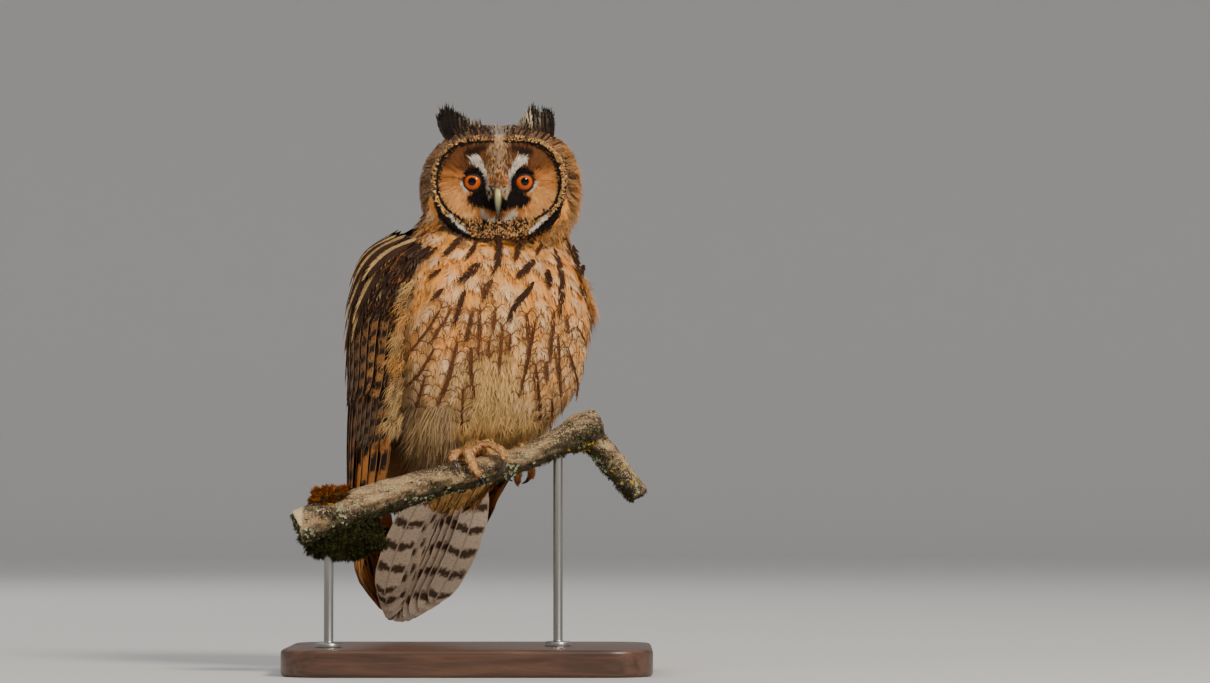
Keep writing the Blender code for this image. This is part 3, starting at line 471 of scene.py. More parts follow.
class Ground:
    """A piece to set feathers on: the nearest place on it with a smooth normal, and its unwrap."""

    def __init__(self, piece, uv_name="OFBake", even=3):
        points = points_of(piece)
        faces = [tuple(f.vertices) for f in piece.data.polygons]
        self.tree = BVHTree.FromPolygons([tuple(p) for p in points], faces)
        normals = unit(relax(normals_of(piece), edges_of(piece), even))
        first = np.array([f[0] for f in faces])
        third = np.array([f[2] for f in faces])
        self.outs = unit(normals[first] + normals[third])
        layer = piece.data.uv_layers.get(uv_name)
        starts = np.zeros(len(faces), np.int32)
        piece.data.polygons.foreach_get("loop_start", starts)
        if layer:
            uv = np.zeros(len(piece.data.loops) * 2, np.float32)
            layer.data.foreach_get("uv", uv)
            uv = uv.reshape(-1, 2)
            self.uv = (uv[starts] + uv[starts + 2]) / 2
        else:
            self.uv = np.zeros((len(faces), 2))

    def nearest(self, points):
        found = [self.tree.find_nearest(Vector(p)) for p in points]
        spots = np.array([f[0] for f in found], float).reshape(-1, 3)
        index = np.array([f[2] for f in found], int)
        return spots, self.outs[index], index

    def seen_from(self, starts, aims):
        """Where rays first meet the ground: the points, their faces, and whether they meet it at all."""
        found = [self.tree.ray_cast(Vector(s), Vector(a)) for s, a in zip(starts, aims)]
        met = np.array([f[0] is not None for f in found], bool)
        spots = np.array(
            [tuple(f[0]) if f[0] is not None else (0, 0, 0) for f in found], float
        ).reshape(-1, 3)
        index = np.array([f[2] if f[2] is not None else 0 for f in found], int)
        return spots, index, met


# Feathers. A walk is the shaft's places, side ways and outward ways, station by station.
STREAK_SHAPE = ((0, 0.3), (0.2, 0.8), (0.5, 1.0), (0.8, 0.9), (1.0, 0.5), (1.15, 0.1))
CONTOUR_SHAPE = ((0, 0.45), (0.3, 0.9), (0.6, 1.0), (0.85, 0.78), (1.0, 0.3), (1.15, 0.05))
QUILL_SHAPE = ((0, 0.35), (0.2, 0.85), (0.5, 1.0), (0.8, 0.95), (0.93, 0.72), (1, 0.16))


def walk(ground, roots, aims, lengths, stiff, steps=5):
    """Shafts that start at roots and follow the ground, as far as their stiffness lets them."""
    here, out, face = ground.nearest(roots)
    aim = laid(aims, out)
    places, sides, outs = [], [], []
    for k in range(steps + 1):
        places.append(here)
        sides.append(unit(np.cross(aim, out)))
        outs.append(out)
        if k == steps:
            break
        ahead = here + aim * (lengths / steps)[:, None]
        spot, out, _ = ground.nearest(ahead)
        clear = np.maximum(dot(ahead - spot, out), 0)[:, None]
        here = spot + (ahead - spot) * (clear > 0) * np.reshape(stiff, (-1, 1))
        flat = laid(aim, out)
        aim = unit(flat * (1 - np.reshape(stiff, (-1, 1))) + aim * np.reshape(stiff, (-1, 1)))
    return np.array(places), np.array(sides), np.array(outs), face


def sheet_walk(sheet, roots, tips, steps=5):
    """Shafts on a wing sheet, from root to tip places."""
    roots, tips = np.asarray(roots, float), np.asarray(tips, float)
    share = np.linspace(0, 1, steps + 1)[:, None]
    along = roots[:, 0] + (tips[:, 0] - roots[:, 0]) * share
    across = roots[:, 1] + (tips[:, 1] - roots[:, 1]) * share
    places, outs = sheet(along, across)
    aims = unit(np.gradient(places, axis=0))
    outs = laid(outs, aims)
    return places, np.cross(aims, outs), outs, None


def at_stations(walked, along):
    """The shaft's place, side and outward way at shares of the length, for each feather."""
    places, sides, outs = walked[:3]
    steps = len(places) - 1
    k = np.clip(np.floor(along * steps).astype(int), 0, steps - 1)
    f = (along * steps - k)[..., None]
    n = np.arange(places.shape[1])[:, None]
    found = [track[k, n] + (track[k + 1, n] - track[k, n]) * f for track in (places, sides, outs)]
    return found[0], unit(found[1]), unit(found[2])


def barbed(
    walked, half, looks, chance, per_side=8, reach=0.3, loose=0.5, lift=(0.2, 2.4), camber=0.22,
    shape=CONTOUR_SHAPE, fuzz=0,
):
    """Feathers of overlapping barbs on both sides of each shaft, with loose single barbs on top."""
    many = walked[0].shape[1]
    lift = [np.broadcast_to(np.asarray(each, float), (many,))[:, None] for each in lift]
    half = np.broadcast_to(np.asarray(half, float), (many,))[:, None]
    loose = np.broadcast_to(np.asarray(loose, float), (many,))[:, None]
    start = 0.03 + 0.86 * (np.arange(per_side) + 0.5) / per_side
    start = np.concatenate([start, start])[None]
    sign = np.concatenate([-np.ones(per_side), np.ones(per_side)])[None]
    end = start + reach * (1 - 0.3 * start) + chance.normal(0, 0.045, (many, per_side * 2)) * loose
    width = rows_at(shape, end)[..., 0] * (1 + chance.normal(0, 0.12, end.shape) * loose)
    rise = chance.uniform(-0.1, 0.4, end.shape) * loose
    slim = 0.86 / per_side * 0.66
    middle = start + 0.36 * (end - start)
    zero = np.zeros_like(end)
    u = np.stack([zero, zero, 0.56 * width * sign, 0.56 * width * sign, width * sign], -1)
    v = np.stack(
        [start - slim + zero, start + slim + zero, middle - slim * 0.95, middle + slim * 0.95, end], -1
    )
    up = np.stack([zero, zero, rise * 0.3, rise * 0.3, rise], -1)
    tip = chance.normal(0, 0.06, (many, 1)) * loose
    wide = 0.2 + zero[:, :1]
    u_tip = np.stack([-wide, wide, -wide * 0.8, wide * 0.8, tip], -1)
    level = zero[:, :1]
    v_tip = np.stack([level + 0.78, level + 0.78, level + 0.93, level + 0.93, 1.04 + tip * 0.4], -1)
    u, v = np.concatenate([u, u_tip], 1), np.concatenate([v, v_tip], 1)
    up = np.concatenate([up, u_tip * 0], 1)
    if fuzz:
        many_by = (many, fuzz)
        v0 = chance.uniform(0.12, 0.98, many_by)
        u0 = chance.uniform(-0.93, 0.93, many_by) * rows_at(shape, v0)[..., 0]
        length = chance.uniform(0.13, 0.25, many_by)
        v1 = v0 + length
        u1 = u0 * (1 + 1.25 * length) + chance.normal(0, 0.05, many_by)
        thin = np.full(many_by, 0.22) / half
        high = chance.uniform(0.1, 1.0, many_by) * loose + 0.15
        um, vm = (u0 + u1) / 2, (v0 + v1) / 2
        u_fuzz = np.stack([u0 - thin, u0 + thin, um - thin * 0.85, um + thin * 0.85, u1], -1)
        v_fuzz = np.stack([v0, v0, vm, vm, v1], -1)
        up_fuzz = np.stack([0 * high + 0.1, 0 * high + 0.1, high * 0.6, high * 0.6, high], -1)
        u, v = np.concatenate([u, u_fuzz], 1), np.concatenate([v, v_fuzz], 1)
        up = np.concatenate([up, up_fuzz], 1)
    barbs = per_side * 2 + 1 + fuzz
    flat = (many, barbs * 5)
    u, v, up = u.reshape(flat), np.clip(v.reshape(flat), -0.05, 1.2), up.reshape(flat)
    place, side, out = at_stations(walked, v)
    height = lift[0] + (lift[1] - lift[0]) * np.clip(v, 0, 1.1) ** 1.4 - camber * half * u**2 + up
    points = place + side * (u * half)[..., None] + out * height[..., None]
    base = (np.arange(many * barbs) * 5).reshape(many, barbs)
    a, b, c, d, e = (base + k for k in range(5))
    left, right, single = slice(0, per_side), slice(per_side, per_side * 2), slice(per_side * 2, None)
    quads = [
        np.stack([a[:, left], b[:, left], d[:, left], c[:, left]], -1),
        np.stack([a[:, right], c[:, right], d[:, right], b[:, right]], -1),
        np.stack([a[:, single], b[:, single], d[:, single], c[:, single]], -1),
    ]
    tris = [
        np.stack([c[:, left], d[:, left], e[:, left]], -1),
        np.stack([c[:, right], e[:, right], d[:, right]], -1),
        np.stack([c[:, single], d[:, single], e[:, single]], -1),
    ]
    tone = np.repeat(1 + chance.normal(0, 0.07, (many, barbs)), 5, axis=1)
    return batch(points, quads, tris, u, v, tone, looks)


def hairy(
    roots, aims, outs, length, looks, chance, hairs=5, width=0.5, fan=0.35, lift=0.25, curl=0.3, spread=0.6,
    droop=0.0,
):
    """Tufts of fine hairs, each hair a narrow strip that ends in a point."""
    many = len(roots)
    shape = (many, hairs)
    side = unit(np.cross(aims, outs))[:, None]
    aims, outs, roots = aims[:, None], outs[:, None], roots[:, None]
    length = (
        np.broadcast_to(np.asarray(length, float).reshape(-1, 1), shape) * chance.uniform(0.7, 1.15, shape)
    )
    width = np.broadcast_to(np.asarray(width, float).reshape(-1, 1), shape)[..., None]
    lift = np.broadcast_to(np.asarray(lift, float).reshape(-1, 1), shape)
    turned = chance.uniform(-1, 1, shape)[..., None] * fan
    raised = (lift * chance.uniform(0.4, 1.6, shape))[..., None]
    first = unit(aims + side * turned + outs * raised)
    second = unit(first - outs * curl - UP * droop + side * chance.uniform(-0.2, 0.2, shape)[..., None])
    across = unit(np.cross(first, outs))
    start = roots + side * chance.uniform(-1, 1, shape)[..., None] * spread
    start = start + aims * chance.uniform(-1, 1, shape)[..., None] * spread
    middle = start + first * length[..., None] * 0.5
    end = middle + second * length[..., None] * 0.55
    points = np.stack(
        [
            start - across * width / 2, start + across * width / 2, middle - across * width * 0.42,
            middle + across * width * 0.42, end,
        ],
        2,
    ).reshape(many, hairs * 5, 3)
    u = np.broadcast_to(turned * 0.5, shape + (5,)).reshape(many, -1)
    v = np.broadcast_to(np.array((0, 0, 0.5, 0.5, 1.0)), shape + (5,)).reshape(many, -1)
    base = (np.arange(many * hairs) * 5).reshape(shape)
    a, b, c, d, e = (base + k for k in range(5))
    tone = np.repeat(1 + chance.normal(0, 0.09, shape), 5, axis=1)
    return batch(points, [np.stack([a, b, d, c], -1)], [np.stack([c, d, e], -1)], u, v, tone, looks)


def ribbons(places, outs, widths, looks, chance):
    """Single curved barbs as narrow strips: places and outward ways station by station."""
    many, stations = places.shape[:2]
    side = unit(np.cross(np.gradient(places, axis=1), outs)) * (widths / 2)[..., None]
    points = np.stack([places - side, places + side], 2).reshape(many, stations * 2, 3)
    base = (np.arange(many) * stations * 2)[:, None] + np.arange(stations - 1) * 2
    quads = np.stack([base, base + 1, base + 3, base + 2], -1)
    u = np.zeros((many, stations * 2))
    v = np.broadcast_to(np.repeat(np.linspace(0, 1, stations), 2), u.shape)
    tone = np.broadcast_to(1 + chance.normal(0, 0.08, (many, 1)), u.shape)
    return batch(points, [quads], [], u, v, tone, looks)


def batch(points, quads, tris, u, v, tone, looks):
    return {
        "points": points.reshape(-1, 3),
        "quads": np.concatenate([q.reshape(-1, 4) for q in quads]),
        "tris": np.concatenate([t.reshape(-1, 3) for t in tris]) if tris else np.zeros((0, 3), int),
        "uv": np.stack([u.ravel(), v.ravel()], -1),
        "tone": tone.ravel(),
        "each": u.shape[1],
        "looks": looks,
    }


def plumage_piece(name, batches, finish, replaces=()):
    """Joins batches of feathers into one piece, with their colours and both their UV maps."""
    batches = [b for b in batches if len(b["points"])]
    offset, quads, tris = 0, [], []
    for one in batches:
        quads.append(one["quads"] + offset)
        tris.append(one["tris"] + offset)
        offset += len(one["points"])
    points = np.concatenate([b["points"] for b in batches])
    made = mesh_piece(name, points, [np.concatenate(quads), np.concatenate(tris)], finish)
    for key in ("Vane", "Mark", "Down"):
        give(made, key, np.concatenate([np.repeat(b["looks"][key], b["each"], axis=0) for b in batches]))
    give(made, "Tone", np.concatenate([b["tone"] for b in batches]))
    uv = np.concatenate([b["uv"] for b in batches])
    give_uv(made, "Feather", np.stack([uv[:, 0] * 0.5 + 0.5, uv[:, 1]], -1))
    patches = []
    for one in batches:
        middle = np.repeat(one["looks"]["Place"], one["each"], axis=0)
        size = np.repeat(
            one["looks"].get("Patch", np.full(len(one["looks"]["Place"]), BAKE_PATCH)), one["each"]
        )[:, None]
        inside = np.stack([np.clip(one["uv"][:, 0], -1, 1) * 0.5, np.clip(one["uv"][:, 1], 0, 1) - 0.5], -1)
        patches.append(middle + inside * size)
    give_uv(made, "OFBake", np.concatenate(patches))
    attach(made, "root")
    if replaces:
        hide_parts(*replaces)
    return made


def looks_of(vane, mark, down, streak, bars, count, place):
    """What each feather of a batch looks like: its colours, and how it is marked."""
    many = len(place)
    held = {}
    for key, colour, extra in (("Vane", vane, streak), ("Mark", mark, bars), ("Down", down, count)):
        colour = np.broadcast_to(np.asarray(colour, float), (many, 3))
        extra = np.broadcast_to(np.asarray(extra, float), (many,))
        held[key] = np.concatenate([colour, extra[:, None]], 1)
    held["Place"] = place
    return held


def varied(colour, chance, many, amount=0.12):
    """A colour for each of many feathers, a little lighter or darker from one to the next."""
    colour = np.broadcast_to(np.asarray(colour, float), (many, 3))
    return np.clip(colour * (1 + chance.normal(0, amount, (many, 1))), 0.002, 0.98)


# Materials


class Nodes:
    """A few short ways to lay out a material's nodes."""

    def __init__(self, name, rough, **sockets):
        self.made = bpy.data.materials.new(name)
        self.made.use_nodes = True
        self.tree = self.made.node_tree
        self.shader = self.tree.nodes["Principled BSDF"]
        self.shader.inputs["Roughness"].default_value = rough
        for key, value in sockets.items():
            self.shader.inputs[key.replace("_", " ")].default_value = value

    def node(self, kind, **settings):
        made = self.tree.nodes.new(kind)
        for key, value in settings.items():
            setattr(made, key, value)
        return made

    def set(self, socket, value):
        if isinstance(value, bpy.types.NodeSocket):
            self.tree.links.new(value, socket)
        elif isinstance(value, tuple) and len(value) == 3 and socket.type == "RGBA":
            socket.default_value = (*value, 1)
        else:
            socket.default_value = value

    def math(self, operation, a, b=0.0, c=0.0, clamp=False):
        made = self.node("ShaderNodeMath", operation=operation, use_clamp=clamp)
        for socket, value in zip(made.inputs, (a, b, c)):
            self.set(socket, value)
        return made.outputs[0]

    def times(self, a, b):
        return self.math("MULTIPLY", a, b)

    def plus(self, a, b):
        return self.math("ADD", a, b)

    def scaled(self, a, by, plus):
        return self.math("MULTIPLY_ADD", a, by, plus)

    def step(self, low, high, value):
        made = self.node("ShaderNodeMapRange", interpolation_type="SMOOTHSTEP")
        self.set(made.inputs["Value"], value)
        self.set(made.inputs["From Min"], low)
        self.set(made.inputs["From Max"], high)
        return made.outputs["Result"]

    def blend(self, share, a, b, kind="MIX"):
        made = self.node("ShaderNodeMix", data_type="RGBA", blend_type=kind)
        self.set(made.inputs[0], share)
        self.set(made.inputs[6], a)
        self.set(made.inputs[7], b)
        return made.outputs[2]

    def attribute(self, name):
        return self.node("ShaderNodeAttribute", attribute_name=name).outputs

    def where(self, uv=None):
        if uv:
            return self.node("ShaderNodeUVMap", uv_map=uv).outputs[0]
        return self.node("ShaderNodeTexCoord").outputs["Object"]

    def mapped(self, vector, scale=(1, 1, 1), rotation=(0, 0, 0)):
        made = self.node("ShaderNodeMapping")
        self.set(made.inputs["Vector"], vector)
        made.inputs["Scale"].default_value = scale
        made.inputs["Rotation"].default_value = rotation
        return made.outputs[0]

    def noise(self, vector, scale, detail=3.0, rough=0.55, distortion=0.0):
        made = self.node("ShaderNodeTexNoise")
        self.set(made.inputs["Vector"], vector)
        made.inputs["Scale"].default_value = scale
        made.inputs["Detail"].default_value = detail
        made.inputs["Roughness"].default_value = rough
        made.inputs["Distortion"].default_value = distortion
        return made.outputs["Fac"]

    def raise_by(self, height, strength, distance=0.001):
        made = self.node("ShaderNodeBump")
        made.inputs["Strength"].default_value = strength
        made.inputs["Distance"].default_value = distance
        self.set(made.inputs["Height"], height)
        self.set(self.shader.inputs["Normal"], made.outputs[0])

    def colour(self, value):
        self.set(self.shader.inputs["Base Color"], value)
        return self.made

    def toned(self, value, tone):
        """The base colour, made lighter or darker by a tone round 1."""
        made = self.node("ShaderNodeVectorMath", operation="SCALE")
        self.set(made.inputs[0], value)
        self.set(made.inputs["Scale"], tone)
        return self.colour(made.outputs[0])


def plumage_finish(name, rough=0.82, mottle=0.0):
    """Feathers with a streak along the shaft and thin curved bars, both from each feather's own values."""
    n = Nodes(name, rough, Specular_IOR_Level=0.12)
    vane, mark, down = n.attribute("Vane"), n.attribute("Mark"), n.attribute("Down")
    uv = n.node("ShaderNodeSeparateXYZ")
    n.set(uv.inputs[0], n.where("Feather"))
    across = n.math("ABSOLUTE", n.scaled(uv.outputs[0], 2.0, -1.0))
    along = uv.outputs[1]
    spot = n.where()
    ragged = n.scaled(n.noise(spot, 420.0, 2.0), 0.3, -0.15)
    taper = n.times(n.step(-0.05, 0.35, along), n.scaled(n.step(0.85, 1.1, along), -0.75, 1.0))
    wide = n.times(vane["Alpha"], taper)
    off = n.plus(across, n.times(ragged, n.scaled(wide, 0.8, 0.06)))
    streak = n.step(n.plus(wide, 0.12), n.math("SUBTRACT", wide, 0.06), off)
    streak = n.times(streak, n.step(0.0, 0.04, vane["Alpha"]))
    arch = n.times(across, n.scaled(across, -0.27, 0.3))
    phase = n.times(n.plus(along, arch), n.times(down["Alpha"], 20.0))
    phase = n.plus(phase, n.times(ragged, 0.35))
    wave = n.math("PINGPONG", phase, 0.5)
    thin = n.scaled(across, 0.04, 0.385)
    bars = n.times(n.step(thin, n.plus(thin, 0.05), wave), n.step(1.0, 0.62, across))
    bars = n.times(n.times(bars, n.step(0.3, 0.5, along)), mark["Alpha"])
    ground = n.blend(n.step(0.4, 0.9, along), down["Color"], vane["Color"])
    if mottle:
        fine = n.step(0.47, 0.6, n.noise(spot, 900.0, 2.0, 0.7))
        ground = n.blend(n.times(fine, mottle), ground, mark["Color"])
    marked = n.blend(n.math("MAXIMUM", streak, bars), ground, mark["Color"])
    tone = n.times(n.attribute("Tone")["Fac"], n.scaled(n.noise(spot, 160.0, 2.0), 0.5, 0.75))
    return n.toned(marked, tone)


def quill_finish(name):
    """Long feathers with broad dark bars, fine mottling and a pale shaft."""
    n = Nodes(name, 0.62, Specular_IOR_Level=0.2)
    vane, mark, down = n.attribute("Vane"), n.attribute("Mark"), n.attribute("Down")
    uv = n.node("ShaderNodeSeparateXYZ")
    n.set(uv.inputs[0], n.where("Feather"))
    side = n.scaled(uv.outputs[0], 2.0, -1.0)
    across = n.math("ABSOLUTE", side)
    along = uv.outputs[1]
    spot = n.where()
    ragged = n.scaled(n.noise(spot, 260.0, 3.0), 0.5, -0.25)
    slant = n.times(across, 0.035)
    phase = n.plus(n.times(n.plus(along, slant), n.times(down["Alpha"], 20.0)), ragged)
    phase = n.scaled(n.attribute("Tone")["Fac"], 5.0, phase)
    wave = n.math("PINGPONG", phase, 0.5)
    edge = n.scaled(vane["Alpha"], -0.5, 0.5)
    bars = n.step(n.math("SUBTRACT", edge, 0.1), n.plus(edge, 0.1), wave)
    speck = n.times(n.step(0.5, 0.62, n.noise(spot, 700.0, 2.0, 0.7)), mark["Alpha"])
    ground = n.blend(n.step(0.75, 0.15, along), vane["Color"], down["Color"])
    marked = n.blend(n.math("MAXIMUM", bars, speck), ground, mark["Color"])
    edged = n.blend(
        n.times(n.step(0.84, 0.95, across), 0.7), marked, n.blend(0.3, down["Color"], paint(196, 164, 120))
    )
    shaft = n.blend(n.step(0.075, 0.04, across), edged, n.blend(0.5, down["Color"], paint(150, 120, 86)))
    barbs = n.node("ShaderNodeTexWave", wave_type="BANDS", bands_direction="Y")
    n.set(barbs.inputs["Vector"], n.mapped(n.where("Feather"), (1, 1, 1), (0, 0, 0.5)))
    barbs.inputs["Scale"].default_value = 30.0
    barbs.inputs["Distortion"].default_value = 1.5
    tone = n.times(n.attribute("Tone")["Fac"], n.scaled(barbs.outputs["Fac"], 0.22, 0.85))
    n.raise_by(barbs.outputs["Fac"], 0.25, 0.0006)
    return n.toned(shaft, tone)


def skin_finish(name):
    n = Nodes(name, 0.9, Specular_IOR_Level=0.2)
    coat = n.attribute("Coat")["Color"]
    tone = n.scaled(n.noise(n.where(), 500.0, 3.0), 0.7, 0.6)
    n.raise_by(n.noise(n.where(), 900.0, 3.0), 0.5, 0.0008)
    return n.toned(coat, tone)


def eye_finish(name, iris, rim):
    """The iris reads its own direction: round the pupil as a vector, and how far out."""
    n = Nodes(name, 0.35, Coat_Weight=1.0, Coat_Roughness=0.012, Coat_IOR=1.38, Specular_IOR_Level=0.0)
    ring = n.attribute("Ring")
    share = n.attribute("Out")["Fac"]
    rays = n.noise(ring["Vector"], 9.0, 4.0, 0.7)
    fine = n.noise(ring["Vector"], 30.0, 2.0, 0.7)
    glow = n.scaled(rays, 0.5, n.times(fine, 0.35))
    body = n.blend(
        n.step(0.25, 0.75, glow), tuple(c * 0.72 for c in iris), tuple(min(c * 1.25, 1) for c in iris)
    )
    body = n.blend(n.step(0.78, 1.02, n.scaled(rays, 0.12, n.math("SUBTRACT", share, 0.06))), body, rim)
    body = n.blend(n.step(0.56, 0.42, share), body, tuple(c * 0.6 for c in iris))
    pupil = n.step(0.455, 0.42, share)
    body = n.blend(pupil, body, (0.002, 0.002, 0.002))
    body = n.blend(n.step(1.0, 1.06, share), body, (0.004, 0.003, 0.003))
    return n.colour(body)


def horn_finish(name, base, tip, ridge, gloss):
    n = Nodes(name, gloss, Coat_Weight=0.25, Coat_Roughness=0.2)
    share = n.attribute("Along")["Fac"]
    crest = n.attribute("Crest")["Fac"]
    spot = n.where()
    grain = n.noise(n.mapped(spot, (1, 1, 0.25)), 900.0, 3.0)
    body = n.blend(n.step(0.35, 0.95, share), base, tip)
    # The ridge colour on the crest is partly the bill's own yellowish top and partly a painted highlight
    # along the ridge
    body = n.blend(n.times(n.step(0.15, 0.95, crest), n.step(1.0, 0.5, share)), body, ridge)
    n.raise_by(grain, 0.2, 0.0005)
    return n.toned(body, n.scaled(grain, 0.6, 0.7))


# What the user may change


def size_in_mm(name, description, default, low, high):
    return FloatProperty(
        name=name, description=description, default=default * MM, min=low * MM, max=high * MM,
        unit="LENGTH", precision=4,
    )


def tint(name, description, default):
    return FloatVectorProperty(
        name=name, description=description, default=default, subtype="COLOR", min=0, max=1,
    )


class OwlPlumage(bpy.types.PropertyGroup):
    coat_depth: size_in_mm("Coat depth", "How far the skin lies inside the solids on the body", 4.2, 0, 8)
    row_step: size_in_mm("Row step", "Distance between rows of body feathers", 9.2, 3, 20)
    feather_length: size_in_mm("Body feather length", "Length of a breast feather", 25, 5, 50)
    feather_half: size_in_mm("Body feather half width", "Half the width of a breast feather", 7.6, 2, 20)
    orange: tint("Orange buff", "Warm buff of the upper breast", paint(222, 146, 66))
    cream: tint("Cream", "Plain fluffy belly", paint(220, 180, 116))
    pale: tint("Pale", "Whitish ends of the belly feathers", paint(216, 182, 142))
    streak: tint("Streak", "Dark brown streaks along the shafts", paint(58, 36, 25))
    thin_streak: tint("Thin streak", "Streaks and crossbars of the belly", paint(104, 64, 40))
    grey: tint("Grey brown", "Finely marked grey brown of the head and back", paint(126, 102, 80))
    dark: tint("Dark brown", "Dark centres of the back and wing feathers", paint(54, 36, 25))
    rufous: tint("Rufous", "Orange brown patches of the wings and head", paint(184, 110, 54))


class OwlFace(bpy.types.PropertyGroup):
    tuft_step: size_in_mm("Tuft step", "Distance between tufts of the facial disc", 1.35, 0.6, 5)
    disc: tint("Disc", "Rufous of the facial disc", paint(190, 118, 58))
    disc_dark: tint("Upper disc", "Darker brown above the eyes", paint(116, 72, 40))
    disc_light: tint("Lower disc", "Lighter orange below the eyes", paint(224, 160, 94))
    white: tint("White", "Brows and the lower rim of the disc", paint(240, 228, 208))
    black: tint("Black", "Mask round the eyes", paint(24, 18, 16))


class OwlEyes(bpy.types.PropertyGroup):
    iris_radius: size_in_mm("Iris radius", "Radius of the orange ring", 5.7, 2, 8)
    iris: tint("Iris", "Deep orange of the iris", paint(204, 86, 0))
    iris_rim: tint("Iris rim", "Darker red edge of the iris", paint(150, 30, 2))


class OwlPerch(bpy.types.PropertyGroup):
    bark: tint("Bark", "Sunlit buff brown bark", paint(172, 142, 104))
    # The branch's dark underside does not use this colour: it is painted shade, in bark_finish
    bark_dark: tint("Bark cracks", "Dark cracks and the underside", paint(58, 46, 34))
    moss: tint("Moss", "Dark green hanging moss", paint(58, 58, 26))
    moss_rust: tint("Rusty moss", "Rust brown clump on top", paint(124, 62, 20))
    lichen: tint("Yellow lichen", "Leafy yellow lichen", paint(206, 178, 48))
    lichen_grey: tint("Grey lichen", "Crusts of grey green lichen", paint(150, 152, 118))
    moss_tufts: IntProperty(
        name="Moss tufts", description="Tufts along the underside", default=1500, min=100, max=6000
    )


class OwlStand(bpy.types.PropertyGroup):
    wood: tint("Wood", "Dark stained wood of the base", paint(84, 56, 40))
    metal: tint("Metal", "Brushed steel of the rods", (0.52, 0.5, 0.47))
    edge: size_in_mm("Edge radius", "Rounding of the base's upper edge", 3, 0.5, 6)


class OwlStudio(bpy.types.PropertyGroup):
    floor: tint("Floor", "Pale floor and backdrop", (0.56, 0.55, 0.53))
    distance: FloatProperty(name="Camera distance", description="From the camera to the owl",
                            default=3.0, min=0.5, max=10.0, unit="LENGTH")
    elevation: FloatProperty(name="Camera elevation", description="The camera looks up by this much",
                             default=math.radians(-2), subtype="ANGLE", min=-0.2, max=1.5)
    key: FloatProperty(
        name="Key light", description="Power of the large light at the right", default=130.0, min=0
    )
    fill: FloatProperty(
        name="Fill light", description="Power of the soft light at the left", default=30.0, min=0
    )


# Regions and their marks


def colour_of(value):
    return np.array(tuple(value)[:3], float)


def colours(group, *names):
    return [colour_of(getattr(group, name)) for name in names]


# The breast's streaks as the camera sees them: half width, how dark, then x and z along the shaft
STREAKS = (
    (2.7, 1.0, (-13, 299), (-19, 293)),
    (2.9, 0.9, (-4, 293), (-10, 284), (-17, 276)),
    (2.1, 0.9, (-20, 283), (-30, 274)),
    (2.2, 0.7, (4, 289), (2, 282), (-3, 274)),
    (3.2, 1.0, (6, 273), (-1, 265), (-8, 260)),
    (2.1, 0.7, (-18, 269), (-26, 262)),
    (2.6, 1.0, (18, 294), (19, 282), (18, 272), (13, 264)),
    (2.2, 0.8, (32, 287), (29, 273)),
    (3.1, 1.0, (42, 275), (36, 268), (29, 262)),
    (3.3, 1.0, (50, 269), (51, 256)),
    (2.9, 1.0, (53, 284), (59, 272), (60, 257), (57, 236)),
    (2.4, 0.8, (62, 288), (65, 277)),
    (2.6, 1.0, (69, 287), (72, 273), (71, 261)),
    (2.7, 1.0, (42, 261), (34, 250), (26, 244), (25, 234)),
    (2.2, 0.6, (14, 262), (8, 253)),
    (2.1, 0.7, (-17, 256), (-24, 248)),
    (2.2, 0.8, (-3, 256), (-7, 244), (-10, 232)),
    (1.9, 0.7, (46, 287), (43, 277)),
    (2.0, 1.0, (76, 273), (75, 266)),
    (1.8, 0.6, (11, 258), (8, 248)),
    (2.2, 0.9, (70, 259), (72, 250)),
    (1.7, 0.6, (-26, 294), (-30, 289)),
    (1.9, 0.7, (58, 293), (60, 288)),
    (2.0, 0.7, (11, 292), (8, 285)),
    (1.9, 0.7, (39, 292), (40, 285)),
    (1.2, 0.3, (-17, 245), (-28, 227), (-37, 216)),
    (1.2, 0.3, (-17, 235), (-24, 222)),
    (1.7, 0.5, (1, 242), (-1, 232), (-3, 222)),
    (1.5, 0.4, (6, 244), (6, 232), (5, 211)),
    (1.5, 0.4, (16, 245), (14, 227)),
    (1.3, 0.3, (20, 234), (20, 224), (18, 204)),
    (1.2, 0.3, (11, 224), (12, 210)),
    (1.7, 0.5, (36, 241), (37, 228), (38, 221)),
    (1.4, 0.5, (43, 239), (39, 221), (35, 199), (31, 187)),
    (1.6, 0.5, (54, 244), (53, 228), (51, 209)),
    (1.4, 0.4, (62, 240), (63, 228)),
    (1.0, 0.4, (68, 233), (76, 217)),
    (1.3, 0.5, (62, 221), (67, 203), (71, 182)),
    (1.8, 0.4, (-8, 224), (-11, 208), (-15, 195), (-21, 180)),
    (1.3, 0.3, (-22, 219), (-30, 203), (-39, 193)),
    (1.7, 0.4, (0, 220), (0, 197), (2, 187)),
    (1.3, 0.3, (-28, 201), (-32, 186), (-36, 169)),
    (1.2, 0.25, (-5, 193), (-6, 169)),
    (1.4, 0.5, (42, 209), (44, 191), (45, 164)),
    (1.3, 0.4, (49, 210), (49, 195)),
    (1.3, 0.5, (52, 186), (54, 161)),
    (1.4, 0.4, (57, 229), (57, 208), (58, 181)),
    (1.2, 0.3, (-12, 244), (-17, 234)),
    (1.1, 0.3, (26, 228), (25, 217)),
)


